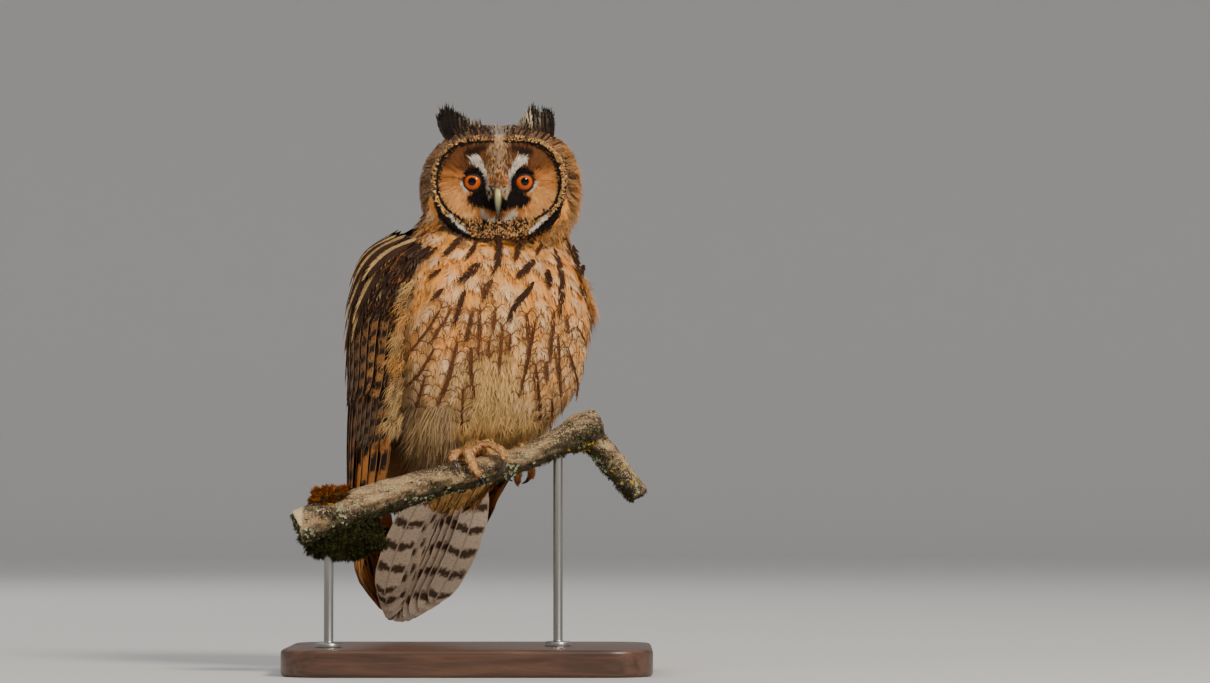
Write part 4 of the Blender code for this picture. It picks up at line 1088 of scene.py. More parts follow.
def breast_marks(plumage, spots, turn, chance):
    """Colours and marks of body feathers whose roots are at spots."""
    many = len(spots)
    x, z = spots[:, 0], spots[:, 2]
    front = smooth(1.75, 1.25, np.abs(turn))
    orange, cream, pale = colours(plumage, "orange", "cream", "pale")
    patch = np.array([noise.noise(Vector((a * 0.035, b * 0.035, c * 0.035))) for a, b, c in spots])
    warm = np.clip(smooth(196, 262, z + 55 * patch) * 0.85 + chance.normal(0, 0.2, many), 0, 1)
    down = mix(mix(cream, orange, 0.35), orange, warm)
    vane = mix(mix(pale, cream, 0.35), orange, warm * 0.9)
    light = (chance.random(many) < 0.5)[:, None]
    vane = np.where(light, vane * 0.3 + pale * 0.7, vane)
    high = smooth(222, 270, z)
    streak = 0.13 + 0.17 * high
    streak = (
        streak * np.clip(1 + chance.normal(0, 0.25, many), 0.3, 1.6)
        * (chance.random(many) < 0.97 - 0.1 * high)
    )
    bars = smooth(262, 240, z) * 0.85 * (streak > 0)
    count = 3.2 + chance.normal(0, 0.12, many)
    mark = mix(colour_of(plumage.thin_streak), colour_of(plumage.streak), smooth(205, 268, z))
    plain = np.clip(bump(x - 15 - 8 * patch, 13) * smooth(226, 206, z) + smooth(176, 164, z), 0, 1)
    flank = (
        smooth(1.0, 1.2, turn) * smooth(150, 190, z) * smooth(300, 270, z) + smooth(-1.2, -1.4, turn) * 0.6
    )
    drawn = smooth(-1.0, -0.85, turn) * smooth(1.6, 1.45, turn)
    streak, bars = streak * (1 - drawn), bars * (1 - drawn)
    plain = np.clip(plain + flank, 0, 1)
    vane = mix(vane, mix(cream, orange, np.clip(flank * 0.35, 0, 1)), plain)
    streak = streak * (1 - plain)
    bars = bars * (1 - plain)
    back = 1 - front
    grey = colour_of(plumage.grey)
    vane = mix(
        vane, varied(mix(grey, colour_of(plumage.orange) * 0.8, chance.random(many) * 0.5), chance, many),
        back,
    )
    down = mix(down, grey * 0.8, back)
    mark = mix(mark, colour_of(plumage.dark), back)
    streak = streak * front + back * 0.42
    bars = bars * front + back * 0.5
    count = count * front + back * 5
    return (
        varied(vane, chance, many, 0.08), mark, varied(down, chance, many, 0.08), np.clip(streak, 0, 0.6),
        bars, count / 20, plain,
    )


def ring_roots(point_at, rows, step, chance, low=-math.pi, high=math.pi, jitter=0.3):
    """Roots in staggered rows on a closed form: row by row, evenly spaced round it."""
    spots, turns, keys = [], [], []
    dense = np.linspace(low, high, 241)
    for k, row in enumerate(rows):
        line = point_at(np.full(dense.shape, float(row)), dense)
        length = np.concatenate([[0], np.cumsum(np.linalg.norm(np.diff(line, axis=0), axis=1))])
        many = max(int(length[-1] / step), 3)
        marks = (
            np.arange(many) + (0.5 if k % 2 else 0.0) + chance.uniform(-jitter, jitter, many)
        ) / many * length[-1]
        turn = np.interp(np.mod(marks, length[-1]), length, dense)
        key = row + chance.uniform(-jitter, jitter, many) * abs(rows[1] - rows[0])
        spots.append(point_at(key, turn))
        turns.append(turn)
        keys.append(key)
    return np.concatenate(spots), np.concatenate(turns), np.concatenate(keys)


def open_air(ground, spots, middle, near=8.0):
    """Where rays from outside meet the ground, and which spots no other part covers."""
    out = unit(spots - middle)
    hits, index, met = ground.seen_from(spots + out * 70, -out)
    return hits, index, met & (np.linalg.norm(hits - spots, axis=1) < near)


def onto_face(ground, x, z, ahead):
    """Where rays from in front of the face meet the ground, beside and above the head's middle."""
    starts = HEAD_MID + np.stack([x, np.full(len(x), -ahead), z], -1)
    return ground.seen_from(starts, np.tile((0.0, 1.0, 0.0), (len(x), 1)))


def torso_axis(spots):
    right, forward, *_ = np.moveaxis(rows_at(TORSO_SLICES, spots[:, 2]), -1, 0)
    return world(right, forward, spots[:, 2])


def face_share(x, z):
    """How far out a place of the face lies, 1 on the crest of the rim, and its turn."""
    turn = np.arctan2(z, x)
    return np.hypot(x, z) / outline(turn, RIM_HALF_WIDTH, RIM_ABOVE, RIM_BELOW, RIM_SQUARENESS), turn


# Reach from the middle between the eyes, by degrees above level: to the disc's dark edge, to the outer
# edge of its speckled rim, and to the outer edge of the black crescent below it
DISC_EDGES = (
    (-90, 31.0, 35.2, 35.4),
    (-80, 32.0, 36.8, 37.9),
    (-70, 33.0, 38.5, 40.8),
    (-57, 34.0, 39.8, 43.2),
    (-47, 34.6, 39.8, 44.6),
    (-38, 36.2, 40.2, 45.4),
    (-29, 38.3, 41.3, 45.5),
    (-20, 40.0, 42.6, 44.8),
    (-8, 40.8, 43.9, 44.0),
    (10, 40.8, 44.2, 44.2),
    (20, 40.2, 43.6, 43.6),
    (30, 39.0, 42.4, 42.4),
    (40, 36.7, 40.2, 40.2),
    (51, 33.3, 37.0, 37.0),
    (62, 29.8, 33.5, 33.5),
    (75, 27.0, 31.0, 31.0),
    (90, 26.0, 30.0, 30.0),
)
# Strokes of the face's markings, from the middle between the eyes: how far out, how high, half width
BROW = (
    (7.2, -5, 0.7), (6.9, 0, 1.1), (8.2, 5.5, 1.5), (11.0, 10.4, 2.0), (14.6, 14.6, 3.0), (17.6, 15.0, 2.0)
)
EYE_CORNER = (
    (10.0, -9, 2.4), (10.4, -3, 2.4), (10.6, 2, 2.6), (12.6, 6.4, 3.2), (17, 7.6, 2.6), (22.5, 6.2, 1.5)
)
BESIDE_BILL = ((1.5, -17, 3.4), (5.5, -14, 4.6), (9.8, -12.2, 5.6), (14.0, -12.6, 5.6), (18.4, -12.2, 3.2))
BILL_TIP = ((0, -20, 3.0), (0, -25.5, 2.4))
SMUDGE = ((9.5, 22.4, 2.0), (13.5, 21.8, 2.4), (17.5, 20.4, 2.9), (21.0, 19.6, 2.0))
MOUSTACHE = ((2.2, -27.2, 1.3), (6.2, -24.4, 1.9), (10.4, -21.2, 2.2))
CHEEK = ((16.5, -22.4, 1.5), (22.0, -22.8, 1.8))
LOW_WHITE = ((20.6, -33.0, 1.1), (25.2, -29.4, 1.9), (30.0, -24.6, 1.5), (33.4, -19.6, 0.7))
BEHIND_EYE = ((18, 11.0, 3), (24, 9.5, 1.6), (29, 10.0, 0.9))
BILL_BRISTLES = ((3.4, -3, 1.4), (4.4, -8, 2.0), (5.4, -11, 1.0))
THROAT = ((10.5, -27.0, 3.0), (17.0, -27.6, 3.4))
# The speckled wedge over the bill: height, half width
WEDGE = ((-9, 1.6), (-5, 2.4), (-1, 4.0), (5, 6.0), (12, 7.6), (18, 7.4), (26, 8.0), (32, 9.0))


def disc_edges(x, z):
    """The three reaches of DISC_EDGES at places measured from the middle between the eyes."""
    return np.moveaxis(rows_at(DISC_EDGES, np.degrees(np.arctan2(z, np.abs(x)))), -1, 0)


def stroke(x, z, line):
    """How far places lie from a line of (x, z, half width), 1 at its edge."""
    line = np.asarray(line, float)
    best = np.full(len(x), 9.0)
    for a, b in zip(line[:-1], line[1:]):
        d = b[:2] - a[:2]
        t = np.clip(((x - a[0]) * d[0] + (z - a[1]) * d[1]) / (d @ d), 0, 1)
        gap = np.hypot(x - a[0] - t * d[0], z - a[1] - t * d[1])
        best = np.minimum(best, gap / (a[2] + t * (b[2] - a[2])))
    return best


def inside(distance, soft=0.3):
    return smooth(1 + soft, 1 - soft, distance)


def face_marks(face, plumage, x, z, chance):
    """The colour of the face at places measured from its middle, x to the bird's left."""
    many = len(x)
    side = np.abs(x) + chance.normal(0, 0.28, many)
    ez = z - EYE_ABOVE + chance.normal(0, 0.28, many)
    edge, rim, black_edge = disc_edges(side, ez)
    out = np.hypot(side, ez)
    degrees = np.degrees(np.arctan2(ez, side))
    off = side - EYE_SPACING / 2
    eye = np.hypot(off, ez)
    round_eye = np.arctan2(ez, off)
    rays = np.array([
        noise.noise(Vector((math.cos(a) * 7, math.sin(a) * 7, b * 0.09 + c)))
        for a, b, c in zip(round_eye, eye, np.sign(x) * 5)
    ])
    speck = chance.random(many)
    disc, dark, light = colours(face, "disc", "disc_dark", "disc_light")
    black, white = colours(face, "black", "white")
    grey, cream = colours(plumage, "grey", "cream")

    def near(line, soft):
        return inside(stroke(side, ez, line), soft)

    coat = mix(disc, dark, smooth(3, 15, ez))
    coat = mix(coat, light, smooth(2, -9, ez) * smooth(17, 25, side) * 0.85)
    coat = mix(coat, dark * 0.8, smooth(edge * 0.84, edge * 0.99, out) * smooth(-20, 4, ez) * 0.6)
    coat = mix(coat, dark * 0.7, smooth(0.1, 0.45, rays) * smooth(-8, 6, ez) * 0.8)
    coat = mix(coat, light * 1.1, smooth(0.05, 0.4, -rays) * smooth(12, -4, ez) * 0.7)
    coat = mix(coat, mix(dark, disc, 0.3), smooth(15, 9, side) * smooth(-14, -19, ez) * 0.5)
    coat = mix(coat, cream * 1.15, near(CHEEK, 0.5) * np.where(x < 0, 0.8, 0.25))
    ring = inside(np.abs(out - edge) / np.where(degrees < -25, 0.6, 0.95), 0.4) * smooth(-62, -48, degrees)
    coat = mix(coat, black * 1.5, ring * np.where(degrees > 60, 0.5, 0.95))
    coat = mix(coat, black * 1.4, np.clip(near(SMUDGE, 0.5) * 0.9, 0, 1))
    coat = mix(coat, dark * 0.5, near(BEHIND_EYE, 0.7) * 0.75)
    mask = inside((eye - 5.5) / np.where(off < 0, 4.2, 2.1), 0.35)
    mask = np.maximum(mask, near(EYE_CORNER, 0.3))
    mask = np.maximum(mask, near(BESIDE_BILL, 0.22))
    mask = np.maximum(mask, near(BILL_TIP, 0.4) * 0.9)
    coat = mix(coat, black, mask)
    crescent = (
        bump(eye - 8.0, 0.75) * smooth(-75, -55, np.degrees(round_eye))
        * smooth(12, -8, np.degrees(round_eye))
    )
    coat = mix(coat, white * 0.9, crescent * 0.9)
    wide = rows_at(WEDGE, ez)[:, 0]
    middle = smooth(4.5, 1.0, side) * smooth(2, 8, ez)
    salt = np.where((speck < 0.33 + 0.35 * middle)[:, None], grey * 1.7, dark * 0.75)
    salt = np.where((speck > 0.84)[:, None], mix(light, cream, 0.3), salt)
    salt = mix(salt, colour_of(plumage.rufous) * 0.75, smooth(5, -1, ez) * 0.8)
    coat = mix(coat, salt, inside(side / wide, 0.15) * smooth(-8, -4, ez))
    brow = near(BROW, 0.25)
    coat = mix(coat, mix(np.array(paint(142, 132, 122)), white, smooth(1, 8, ez)), brow)
    bristle = near(BILL_BRISTLES, 0.3)
    coat = mix(coat, np.where((speck < 0.6)[:, None], np.array(paint(176, 160, 136)), black * 2), bristle)
    patch = smooth(0.0, 1.6, (ez - 27.5) * 1.15 - side) * smooth(26.5, 29, ez)
    throat = np.maximum(smooth(-26.0, -28.5, ez) * smooth(23.5, 20.5, side),
                        near(THROAT, 0.4))
    fleck = np.where(
        (speck < 0.5)[:, None], black * 2.4, np.where((speck < 0.85)[:, None], disc * 0.75, cream)
    )
    coat = mix(coat, mix(fleck, dark * 0.8, smooth(5, 1.5, side) * 0.5), throat)
    coat = mix(coat, np.array(paint(188, 176, 158)), near(MOUSTACHE, 0.3) * (0.7 + 0.25 * (x > 0)))
    rim_fleck = np.where(
        (speck < 0.4)[:, None], black * 2.6, np.where((speck < 0.8)[:, None], light * 0.85, cream * 1.15)
    )
    rim_fleck = mix(rim_fleck, mix(grey * 1.5, cream, 0.4), (speck > 0.4) * smooth(35, 60, degrees) * 0.7)
    on_rim = smooth(edge + 0.4, edge + 1.4, out) * smooth(-70, -60, degrees)
    coat = mix(coat, rim_fleck, on_rim * (1 - smooth(0.5, 2.0, wide - side) * (ez > 0)))
    coat = mix(coat, white, near(LOW_WHITE, 0.25))
    beyond = smooth(rim - 0.3, rim + 0.5, out)
    coat = mix(coat, mix(grey * 1.1, dark, (speck < 0.45) * 0.8), beyond)
    coat = mix(
        coat, black * 0.9,
        beyond * smooth(-8, -14, degrees) * smooth(black_edge + 0.8, black_edge - 0.4, out),
    )
    return mix(coat, mix(cream, white, 0.4), patch)


def head_marks(face, plumage, spots, chance):
    """Colours of the head outside the disc, from its place on the head."""
    many = len(spots)
    x, y, z = (spots - HEAD_MID).T
    forward = -y
    share, _ = face_share(x, z)
    grey, dark, rufous = colours(plumage, "grey", "dark", "rufous")
    black, white = colours(face, "black", "white")
    orange = colour_of(plumage.orange)
    speck = chance.random(many)
    # Painted light: the side of the head towards the key light, x above 0, is painted warmer and more rufous
    # and the other side greyer, as lit and shaded copies of one grey brown
    left = smooth(-5, 25, x)
    vane = mix(mix(grey, orange, 0.25), mix(rufous, orange, 0.45), left * 0.7)
    nape = smooth(5, -30, forward)
    vane = mix(vane, orange * 0.85, nape * 0.6)
    low = smooth(0, -22, z) * (1 - nape * 0.6)
    vane = mix(vane, mix(orange, colour_of(plumage.cream), 0.4), low * 0.75)
    crown = smooth(24, 36, z)
    vane = mix(vane, mix(grey, dark, 0.35), crown * 0.8)
    vane = mix(
        vane, white * 0.85,
        crown * bump(x, 5.0 + 0.1 * np.maximum(-forward, 0)) * smooth(-20, 10, forward) * 0.9,
    )
    streak = 0.05 + 0.22 * crown + 0.16 * nape + chance.normal(0, 0.05, many)
    streak = streak * (1 - 0.9 * crown * bump(x, 6) * smooth(-10, 10, forward))
    blotch = np.array([noise.noise(Vector(p) * 0.09) for p in spots])
    vane = mix(vane, dark * 1.5, smooth(0.12, 0.4, blotch) * (0.5 + 0.3 * left) * (1 - low * 0.4))
    edge = smooth(1.2, 1.05, share) * smooth(8, 20, forward)
    vane = mix(vane, np.where((speck < 0.6)[:, None], grey * 1.25, dark * 1.5), edge * 0.5)
    mark = mix(dark, black * 1.5, crown * 0.5)
    return (
        varied(vane, chance, many, 0.12), mark, varied(mix(vane, dark, 0.25), chance, many, 0.1),
        np.clip(streak, 0.02, 0.5), np.full(many, 0.45), np.full(many, 5 / 20),
    )


# Pieces


# The bill's middle line and half sizes by share: forward, above, half width, half height
UPPER_BILL = (
    (0, 33, 1.0, 1.5, 3.4),
    (0.3, 39.5, 0.2, 1.7, 3.2),
    (0.5, 43.6, -3.0, 2.4, 3.4),
    (0.7, 46.2, -8.2, 3.0, 3.1),
    (0.86, 46.4, -14.0, 2.1, 2.1),
    (1.0, 44.6, -20.5, 0.35, 0.4),
)
LOWER_BILL = (
    (0, 34, -7.0, 3.1, 2.2),
    (0.5, 39.4, -10.0, 2.8, 2.2),
    (0.8, 41.8, -13.2, 2.1, 1.8),
    (1.0, 42.8, -16.2, 0.6, 0.6),
)


class OWL_OT_skin(bpy.types.Operator):
    """One closed skin over head, neck, body, legs, feet and the roots of wings and tail"""

    bl_idname = "owl.skin"
    bl_label = "Skin"

    def execute(self, context):
        plumage, face = context.scene.owl_plumage, context.scene.owl_face
        skin = copies_joined("owl_skin", FLESH, 0.35)
        extra = [wing_core("core_right", RIGHT_WING), wing_core("core_left", LEFT_WING), rump("rump")]
        joined([skin, *extra])
        apply_step(skin, "REMESH", mode="VOXEL", voxel_size=SKIN_VOXEL * MM, adaptivity=0.0)
        pairs = edges_of(skin)
        points = points_of(skin)
        near_eye = np.minimum(*[np.linalg.norm(points - eye_frame(s)[2], axis=1) for s in (1, -1)])
        free = smooth(8, 14, near_eye)
        points = relax(points, pairs, 4, 0.5 * free)
        move_points(skin, points)
        out = unit(relax(normals_of(skin), pairs, 4))
        depth = self.depth(points, plumage.coat_depth / MM)
        move_points(skin, points - out * (depth * free)[:, None])
        self.colour(skin, plumage, face)
        skin.data.materials.append(skin_finish("skin"))
        deselect()
        skin.select_set(True)
        bpy.context.view_layer.objects.active = skin
        bpy.ops.object.mode_set(mode="EDIT")
        bpy.ops.mesh.select_all(action="SELECT")
        bpy.ops.uv.smart_project(angle_limit=math.radians(72), island_margin=0.002)
        bpy.ops.object.mode_set(mode="OBJECT")
        skin.data.uv_layers[0].name = "OFBake"
        skin.data.shade_smooth()
        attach(skin, "root")
        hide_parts(*FLESH)
        return {"FINISHED"}

    def depth(self, points, body_depth):
        """How deep the skin lies under the solids' surface: least on the face and the feet, and a little
        less on the head.
        """
        x, y, z = (points - HEAD_MID).T
        share, _ = face_share(x, z)
        in_face = smooth(1.08, 0.98, share) * smooth(12, 22, -y)
        depth = np.full(len(points), body_depth)
        depth = depth * (1 - smooth(282, 300, points[:, 2]) * 0.25)
        depth = depth * (1 - in_face * 0.8)
        low = smooth(157, 149, points[:, 2])
        return depth * (1 - low * 0.85)

    def colour(self, skin, plumage, face):
        points = points_of(skin)
        many = len(points)
        chance = np.random.default_rng(3)
        axis = torso_axis(points)
        flat = (points - axis) * (1, 1, 0)
        turn = np.arctan2(dot(flat, TO_RIGHT), dot(flat, TO_FRONT))
        vane, _, down, *_ = breast_marks(plumage, points, turn, chance)
        coat = mix(vane, down, 0.6) * 0.8
        head = smooth(286, 292, points[:, 2])
        coat = mix(coat, head_marks(face, plumage, points, chance)[2], head)
        x, y, z = (points - HEAD_MID).T
        share, _ = face_share(x, z)
        in_face = smooth(1.1, 1.04, share) * smooth(14, 22, -y)
        coat = mix(coat, face_marks(face, plumage, x, z, chance) * 0.85, in_face)
        low = smooth(160, 150, points[:, 2])
        coat = mix(coat, paint(196, 142, 88), low)
        behind = smooth(20, 40, points[:, 1]) * smooth(285, 270, points[:, 2])
        coat = mix(coat, colour_of(plumage.dark) * 1.3, behind * 0.6)
        give(skin, "Coat", np.concatenate([np.clip(coat, 0, 1), np.ones((many, 1))], 1))


def wing_core(name, rows, widths=10):
    rings = []
    for along in np.linspace(0, WING_CORE_END, 16):
        drop, depth = rows_at(WING_CORE_DROP, along)[0] + 1.2, rows_at(WING_CORE_DEPTH, along)[0]
        across = 0.03 + 0.94 * np.arange(widths + 1) / widths
        edge = 0.35 + 0.65 * np.sin(np.pi * np.clip(across, 0.06, 0.94))
        spot, out = wing_sheet(rows)(np.full(across.shape, along), across)
        outer = spot - out * drop
        inner = spot - out * (drop + depth * edge)[:, None]
        rings.append(np.concatenate([outer, inner[::-1]]))
    return facing_out(mesh_piece(name, *loft_points(rings), None))


def rump(name, sides=24):
    turn = 2 * np.pi * np.arange(sides) / sides
    rings = [on_tail(along, wide * np.cos(turn), deep * np.sin(turn)) for along, wide, deep in RUMP]
    return facing_out(mesh_piece(name, *loft_points(rings), None))


def ground_of(name, cache={}):
    piece = bpy.data.objects[name]
    if name not in cache:
        cache[name] = Ground(piece)
    return cache[name]


class OWL_OT_body_feathers(bpy.types.Operator):
    """Rows of overlapping body feathers on breast, flanks and back, and loose down on the belly"""

    bl_idname = "owl.body_feathers"
    bl_label = "Body feathers"

    def execute(self, context):
        plumage = context.scene.owl_plumage
        chance = np.random.default_rng(11)
        ground = ground_of("owl_skin")
        step = plumage.row_step / MM
        rows = np.arange(150, 310, step)
        spots, turn, _ = ring_roots(torso_point, rows, step * 1.08, chance)
        hits, index, kept = open_air(ground, spots, torso_axis(spots) + UP * 6, 11)
        x, y, z = (hits - HEAD_MID).T
        on_face = (np.hypot(x, z - EYE_ABOVE) < disc_edges(x, z - EYE_ABOVE)[2] + 1) & (-y > 12)
        kept = kept & ~on_face
        spots, turn, index = hits[kept], turn[kept], index[kept]
        collar, collar_index = self.collar(ground, chance)
        axis = collar - torso_axis(collar)
        spots, index = np.concatenate([spots, collar]), np.concatenate([index, collar_index])
        turn = np.concatenate([turn, np.arctan2(dot(axis, TO_RIGHT), dot(axis, TO_FRONT))])
        many = len(spots)
        sideways = unit(np.cross(UP, ground.outs[index]))
        lean = np.clip(turn - 0.15, -1.2, 1.2) * 0.36
        lean = np.where(np.abs(turn) > 1.7, 0, lean)
        aims = -UP + sideways * -lean[:, None] + chance.normal(0, 0.07, (many, 3))
        vane, mark, down, streak, bars, count, plain = breast_marks(plumage, spots, turn, chance)
        new = np.arange(many) >= many - len(collar)
        length = (
            plumage.feather_length / MM * chance.uniform(0.85, 1.12, many) * (1 + 0.1 * plain)
            * np.where(new, 0.7, 1)
        )
        half = plumage.feather_half / MM * chance.uniform(0.9, 1.12, many) * np.where(new, 0.75, 1)
        place = ground.uv[index]
        front = np.abs(turn) < 1.9
        for name, which, mottle in (("breast_feathers", front, 0.0), ("back_feathers", ~front, 0.35)):
            soft = plain[which]
            walked = walk(ground, spots[which], aims[which], length[which], 0.35)
            looks = looks_of(
                vane[which], mark[which], down[which], streak[which], bars[which], count[which], place[which]
            )
            feathers = [
                barbed(
                    walked, half[which], looks, chance, 15, 0.3, 0.4 + 0.9 * soft, (0.3, 3.8), 0.26, fuzz=44
                )
            ]
            if name == "breast_feathers":
                feathers.extend(self.streaks(plumage, ground, chance))
            plumage_piece(name, feathers, plumage_finish(name, mottle=mottle))
        self.down(plumage, ground)
        self.edges(plumage, ground)
        return {"FINISHED"}

    def streaks(self, plumage, ground, chance):
        """The breast's dark streaks, and the thin arched branches on the shafts of the lower ones."""
        tracks = []
        for _, _, *line in STREAKS:
            line = np.array(line, float)
            reach = np.concatenate([[0], np.cumsum(np.linalg.norm(np.diff(line, axis=0), axis=1))])
            at = np.linspace(0, reach[-1], STREAK_STATIONS)
            tracks.append(
                np.stack([np.interp(at, reach, line[:, 0]), 0 * at, np.interp(at, reach, line[:, 1])], -1)
            )
        tracks = np.array(tracks)
        many = len(tracks)
        eye = np.array(camera_place(bpy.context.scene.owl_studio)[0]) / MM
        flat = tracks.reshape(-1, 3)
        spots, index, met = ground.seen_from(flat + (eye - flat) * 0.1, unit(flat - eye))
        spots = np.where(met[:, None], spots, flat).reshape(many, STREAK_STATIONS, 3)
        outs = np.where(met[:, None], ground.outs[index], (0, -1.0, 0)).reshape(many, STREAK_STATIONS, 3)
        for _ in range(3):
            spots[:, 1:-1] = (spots[:, :-2] + spots[:, 1:-1] * 2 + spots[:, 2:]) / 4
            outs[:, 1:-1] = unit(outs[:, :-2] + outs[:, 1:-1] + outs[:, 2:])
        half = np.array([row[0] for row in STREAKS])
        shade = np.array([row[1] for row in STREAKS])
        dark, brown = colours(plumage, "streak", "thin_streak")
        mark = varied(mix(brown, dark, smooth(0.3, 0.8, shade)), chance, many, 0.1)
        place = ground.uv[index.reshape(many, STREAK_STATIONS)[:, STREAK_STATIONS // 2]]
        aims = unit(np.gradient(spots, axis=1))
        sides = unit(np.cross(aims, outs))
        looks = looks_of(mark, mark, mark, 0, 0, 0, place)
        walked = tuple(np.moveaxis(track, 1, 0) for track in (spots, sides, outs)) + (None,)
        fine = half < 2
        made = []
        for which, per_side, lift in ((~fine, 16, (4.0, 5.0)), (fine, 14, (4.2, 4.9))):
            part = tuple(track[:, which] for track in walked[:3]) + (None,)
            held = {key: value[which] for key, value in looks.items()}
            made.append(
                barbed(
                    part, half[which], held, chance, per_side, 0.16, 1.3, lift, 0.06, STREAK_SHAPE, fuzz=16
                )
            )
        arms, arm_mark, arm_place, width = [], [], [], []
        share = np.linspace(0, 1, 8)
        for i in np.flatnonzero(shade < 0.65):
            long = np.linalg.norm(spots[i, -1] - spots[i, 0])
            for down in np.arange(chance.uniform(0.5, 3.0), long, ARM_SPACING):
                at = down / long * (STREAK_STATIONS - 1)
                k = min(int(at), STREAK_STATIONS - 2)
                here = spots[i, k] + (spots[i, k + 1] - spots[i, k]) * (at - k)
                for way in (-1, 1):
                    reach = chance.uniform(5.0, 8.0)
                    out_by = reach * share
                    up_by = (
                        reach * (0.62 * np.sin(np.pi * share * 0.8) - 0.1 * share)
                        * chance.uniform(0.7, 1.15)
                    )
                    line = (
                        here + sides[i, k] * (way * out_by)[:, None]
                        - aims[i, k] * (up_by - half[i])[:, None]
                    )
                    lines = [(line, 0.95)]
                    for t in (3, 5, 6):
                        spur = (
                            line[t]
                            + (
                                sides[i, k] * way * 0.45 - aims[i, k]
                            ) * (share * chance.uniform(1.2, 2.4))[:, None]
                        )
                        lines.append((spur, 0.6))
                    for each, wide in lines:
                        arms.append(each)
                        width.append(wide * (1 - 0.75 * share))
                        arm_mark.append(mark[i])
                        arm_place.append(place[i])
        arms, width = np.array(arms), np.array(width)
        on, normal, _ = ground.nearest(arms.reshape(-1, 3))
        on, normal = (on + normal * 4.7).reshape(arms.shape), normal.reshape(arms.shape)
        looks = looks_of(np.array(arm_mark) * 1.1, brown, brown, 0, 0, 0, np.array(arm_place))
        made.append(ribbons(on, normal, width, looks, chance))
        return made

    def edges(self, plumage, ground):
        """Fluffy tufts over the front edge of the wing, and one that stands off the other side."""
        chance = np.random.default_rng(13)
        sheet = wing_sheet(RIGHT_WING)
        many = 120
        along = chance.uniform(0.13, 0.56, many)
        across = chance.uniform(-0.02, 0.03, many)
        spots, out = sheet(along, np.clip(across, 0.0, 1))
        back = sheet(along, np.full(many, 0.25))[0]
        outward = unit(back - spots)
        spots = (
            spots + out * chance.uniform(0.0, 2.4, many)[:, None]
            - outward * chance.uniform(1, 9, many)[:, None]
        )
        aims = (
            outward * chance.uniform(0.1, 0.8, many)[:, None] - UP * 0.8 + out * 0.2
            + chance.normal(0, 0.12, (many, 3))
        )
        z = spots[:, 2]
        cream, orange, grey = colours(plumage, "cream", "orange", "grey")
        draw = chance.random(many)
        colour = mix(cream, orange, bump(z - 238, 14) * 0.7 + bump(z - 205, 12) * 0.8)
        colour = mix(colour, grey * 1.1, (draw < 0.3) * 0.7)
        colour = mix(colour, colour_of(plumage.dark) * 1.6, (draw > 0.86) * smooth(250, 235, z) * 0.8)
        place = ground.uv[ground.nearest(spots)[2]]
        looks = looks_of(varied(colour, chance, many, 0.12), colour, colour * 0.9, 0, 0, 0, place)
        made = [
            hairy(
                spots, unit(aims), out, chance.uniform(6, 12, many), looks, chance, hairs=9, width=0.4,
                fan=0.7, lift=0.3, curl=0.35, spread=2.6, droop=0.2,
            )
        ]
        many = 110
        height = chance.uniform(238, 266, many)
        turn = chance.uniform(-1.45, -0.95, many)
        spots, out, index = ground.nearest(torso_point(height, turn))
        aims = unit(unit(out * (1, 1, 0)) * 0.45 - UP * 0.85 + chance.normal(0, 0.2, (many, 3)))
        colour = varied(mix(cream, orange, 0.35 + 0.3 * chance.random(many)), chance, many, 0.1)
        looks = looks_of(colour, colour, colour * 0.9, 0, 0, 0, ground.uv[index])
        made.append(
            hairy(
                spots + out * 3, aims, out, chance.uniform(8, 14, many), looks, chance, hairs=10, width=0.42,
                fan=0.6, lift=0.3, curl=0.5, spread=2.0, droop=0.2,
            )
        )
        plumage_piece("edge_tufts", made, plumage_finish("edge_tufts", 0.9))

    def collar(self, ground, chance):
        """Roots close under the face, in two rows outside its dark edge."""
        found = []
        for off, many in ((1.2, 22), (6.5, 25)):
            turn = np.radians(np.linspace(-168, -12, many) + chance.uniform(-2, 2, many))
            x, z = np.cos(turn), np.sin(turn)
            reach = disc_edges(x, z)[2] + off
            spots, index, met = onto_face(ground, x * reach, z * reach + EYE_ABOVE, 75.0)
            near = met & (spots[:, 1] < HEAD_MID[1] + 4)
            found.append((spots[near], index[near]))
        return np.concatenate([f[0] for f in found]), np.concatenate([f[1] for f in found])

    def down(self, plumage, ground):
        """Loose, hair-like feathers over the belly, thighs and flanks."""
        chance = np.random.default_rng(12)
        rows = np.arange(145, 300, 4.2)
        spots, turn, _ = ring_roots(torso_point, rows, 4.6, chance, jitter=0.5)
        hits, index, kept = open_air(ground, spots, torso_axis(spots) + UP * 6, 12)
        spots, turn, index = hits[kept], turn[kept], index[kept]
        x, z = spots[:, 0], spots[:, 2]
        belly = smooth(182, 166, z) * (np.abs(turn) < 2.4)
        middle = bump(x - 17, 14) * smooth(226, 205, z) * (np.abs(turn) < 1.3)
        flank = smooth(1.0, 1.2, turn) * smooth(1.9, 1.6, turn) * smooth(292, 270, z)
        other = smooth(-0.95, -1.15, turn) * smooth(-1.9, -1.6, turn) * bump(z - 262, 24)
        density = np.clip(belly + middle + flank + other, 0, 1)
        kept = chance.random(len(spots)) < density
        spots, turn, index, z = spots[kept], turn[kept], index[kept], z[kept]
        many = len(spots)
        out = ground.outs[index]
        sideways = unit(np.cross(UP, out))
        aims = (
            -UP + sideways * -(np.clip(turn - 0.15, -1.2, 1.2) * 0.4)[:, None]
            + chance.normal(0, 0.16, (many, 3))
        )
        aims = unit(aims - out * dot(aims, out)[:, None] * 0.9)
        colour = mix(colour_of(plumage.cream), colour_of(plumage.orange), smooth(190, 240, z) * 0.5)
        pallid = mix(colour_of(plumage.pale), colour_of(plumage.grey) * 1.6, 0.3)
        colour = mix(colour, pallid, (chance.random(many) < 0.35) * smooth(0.9, 1.2, turn) * 0.9)
        colour = varied(colour, chance, many, 0.1)
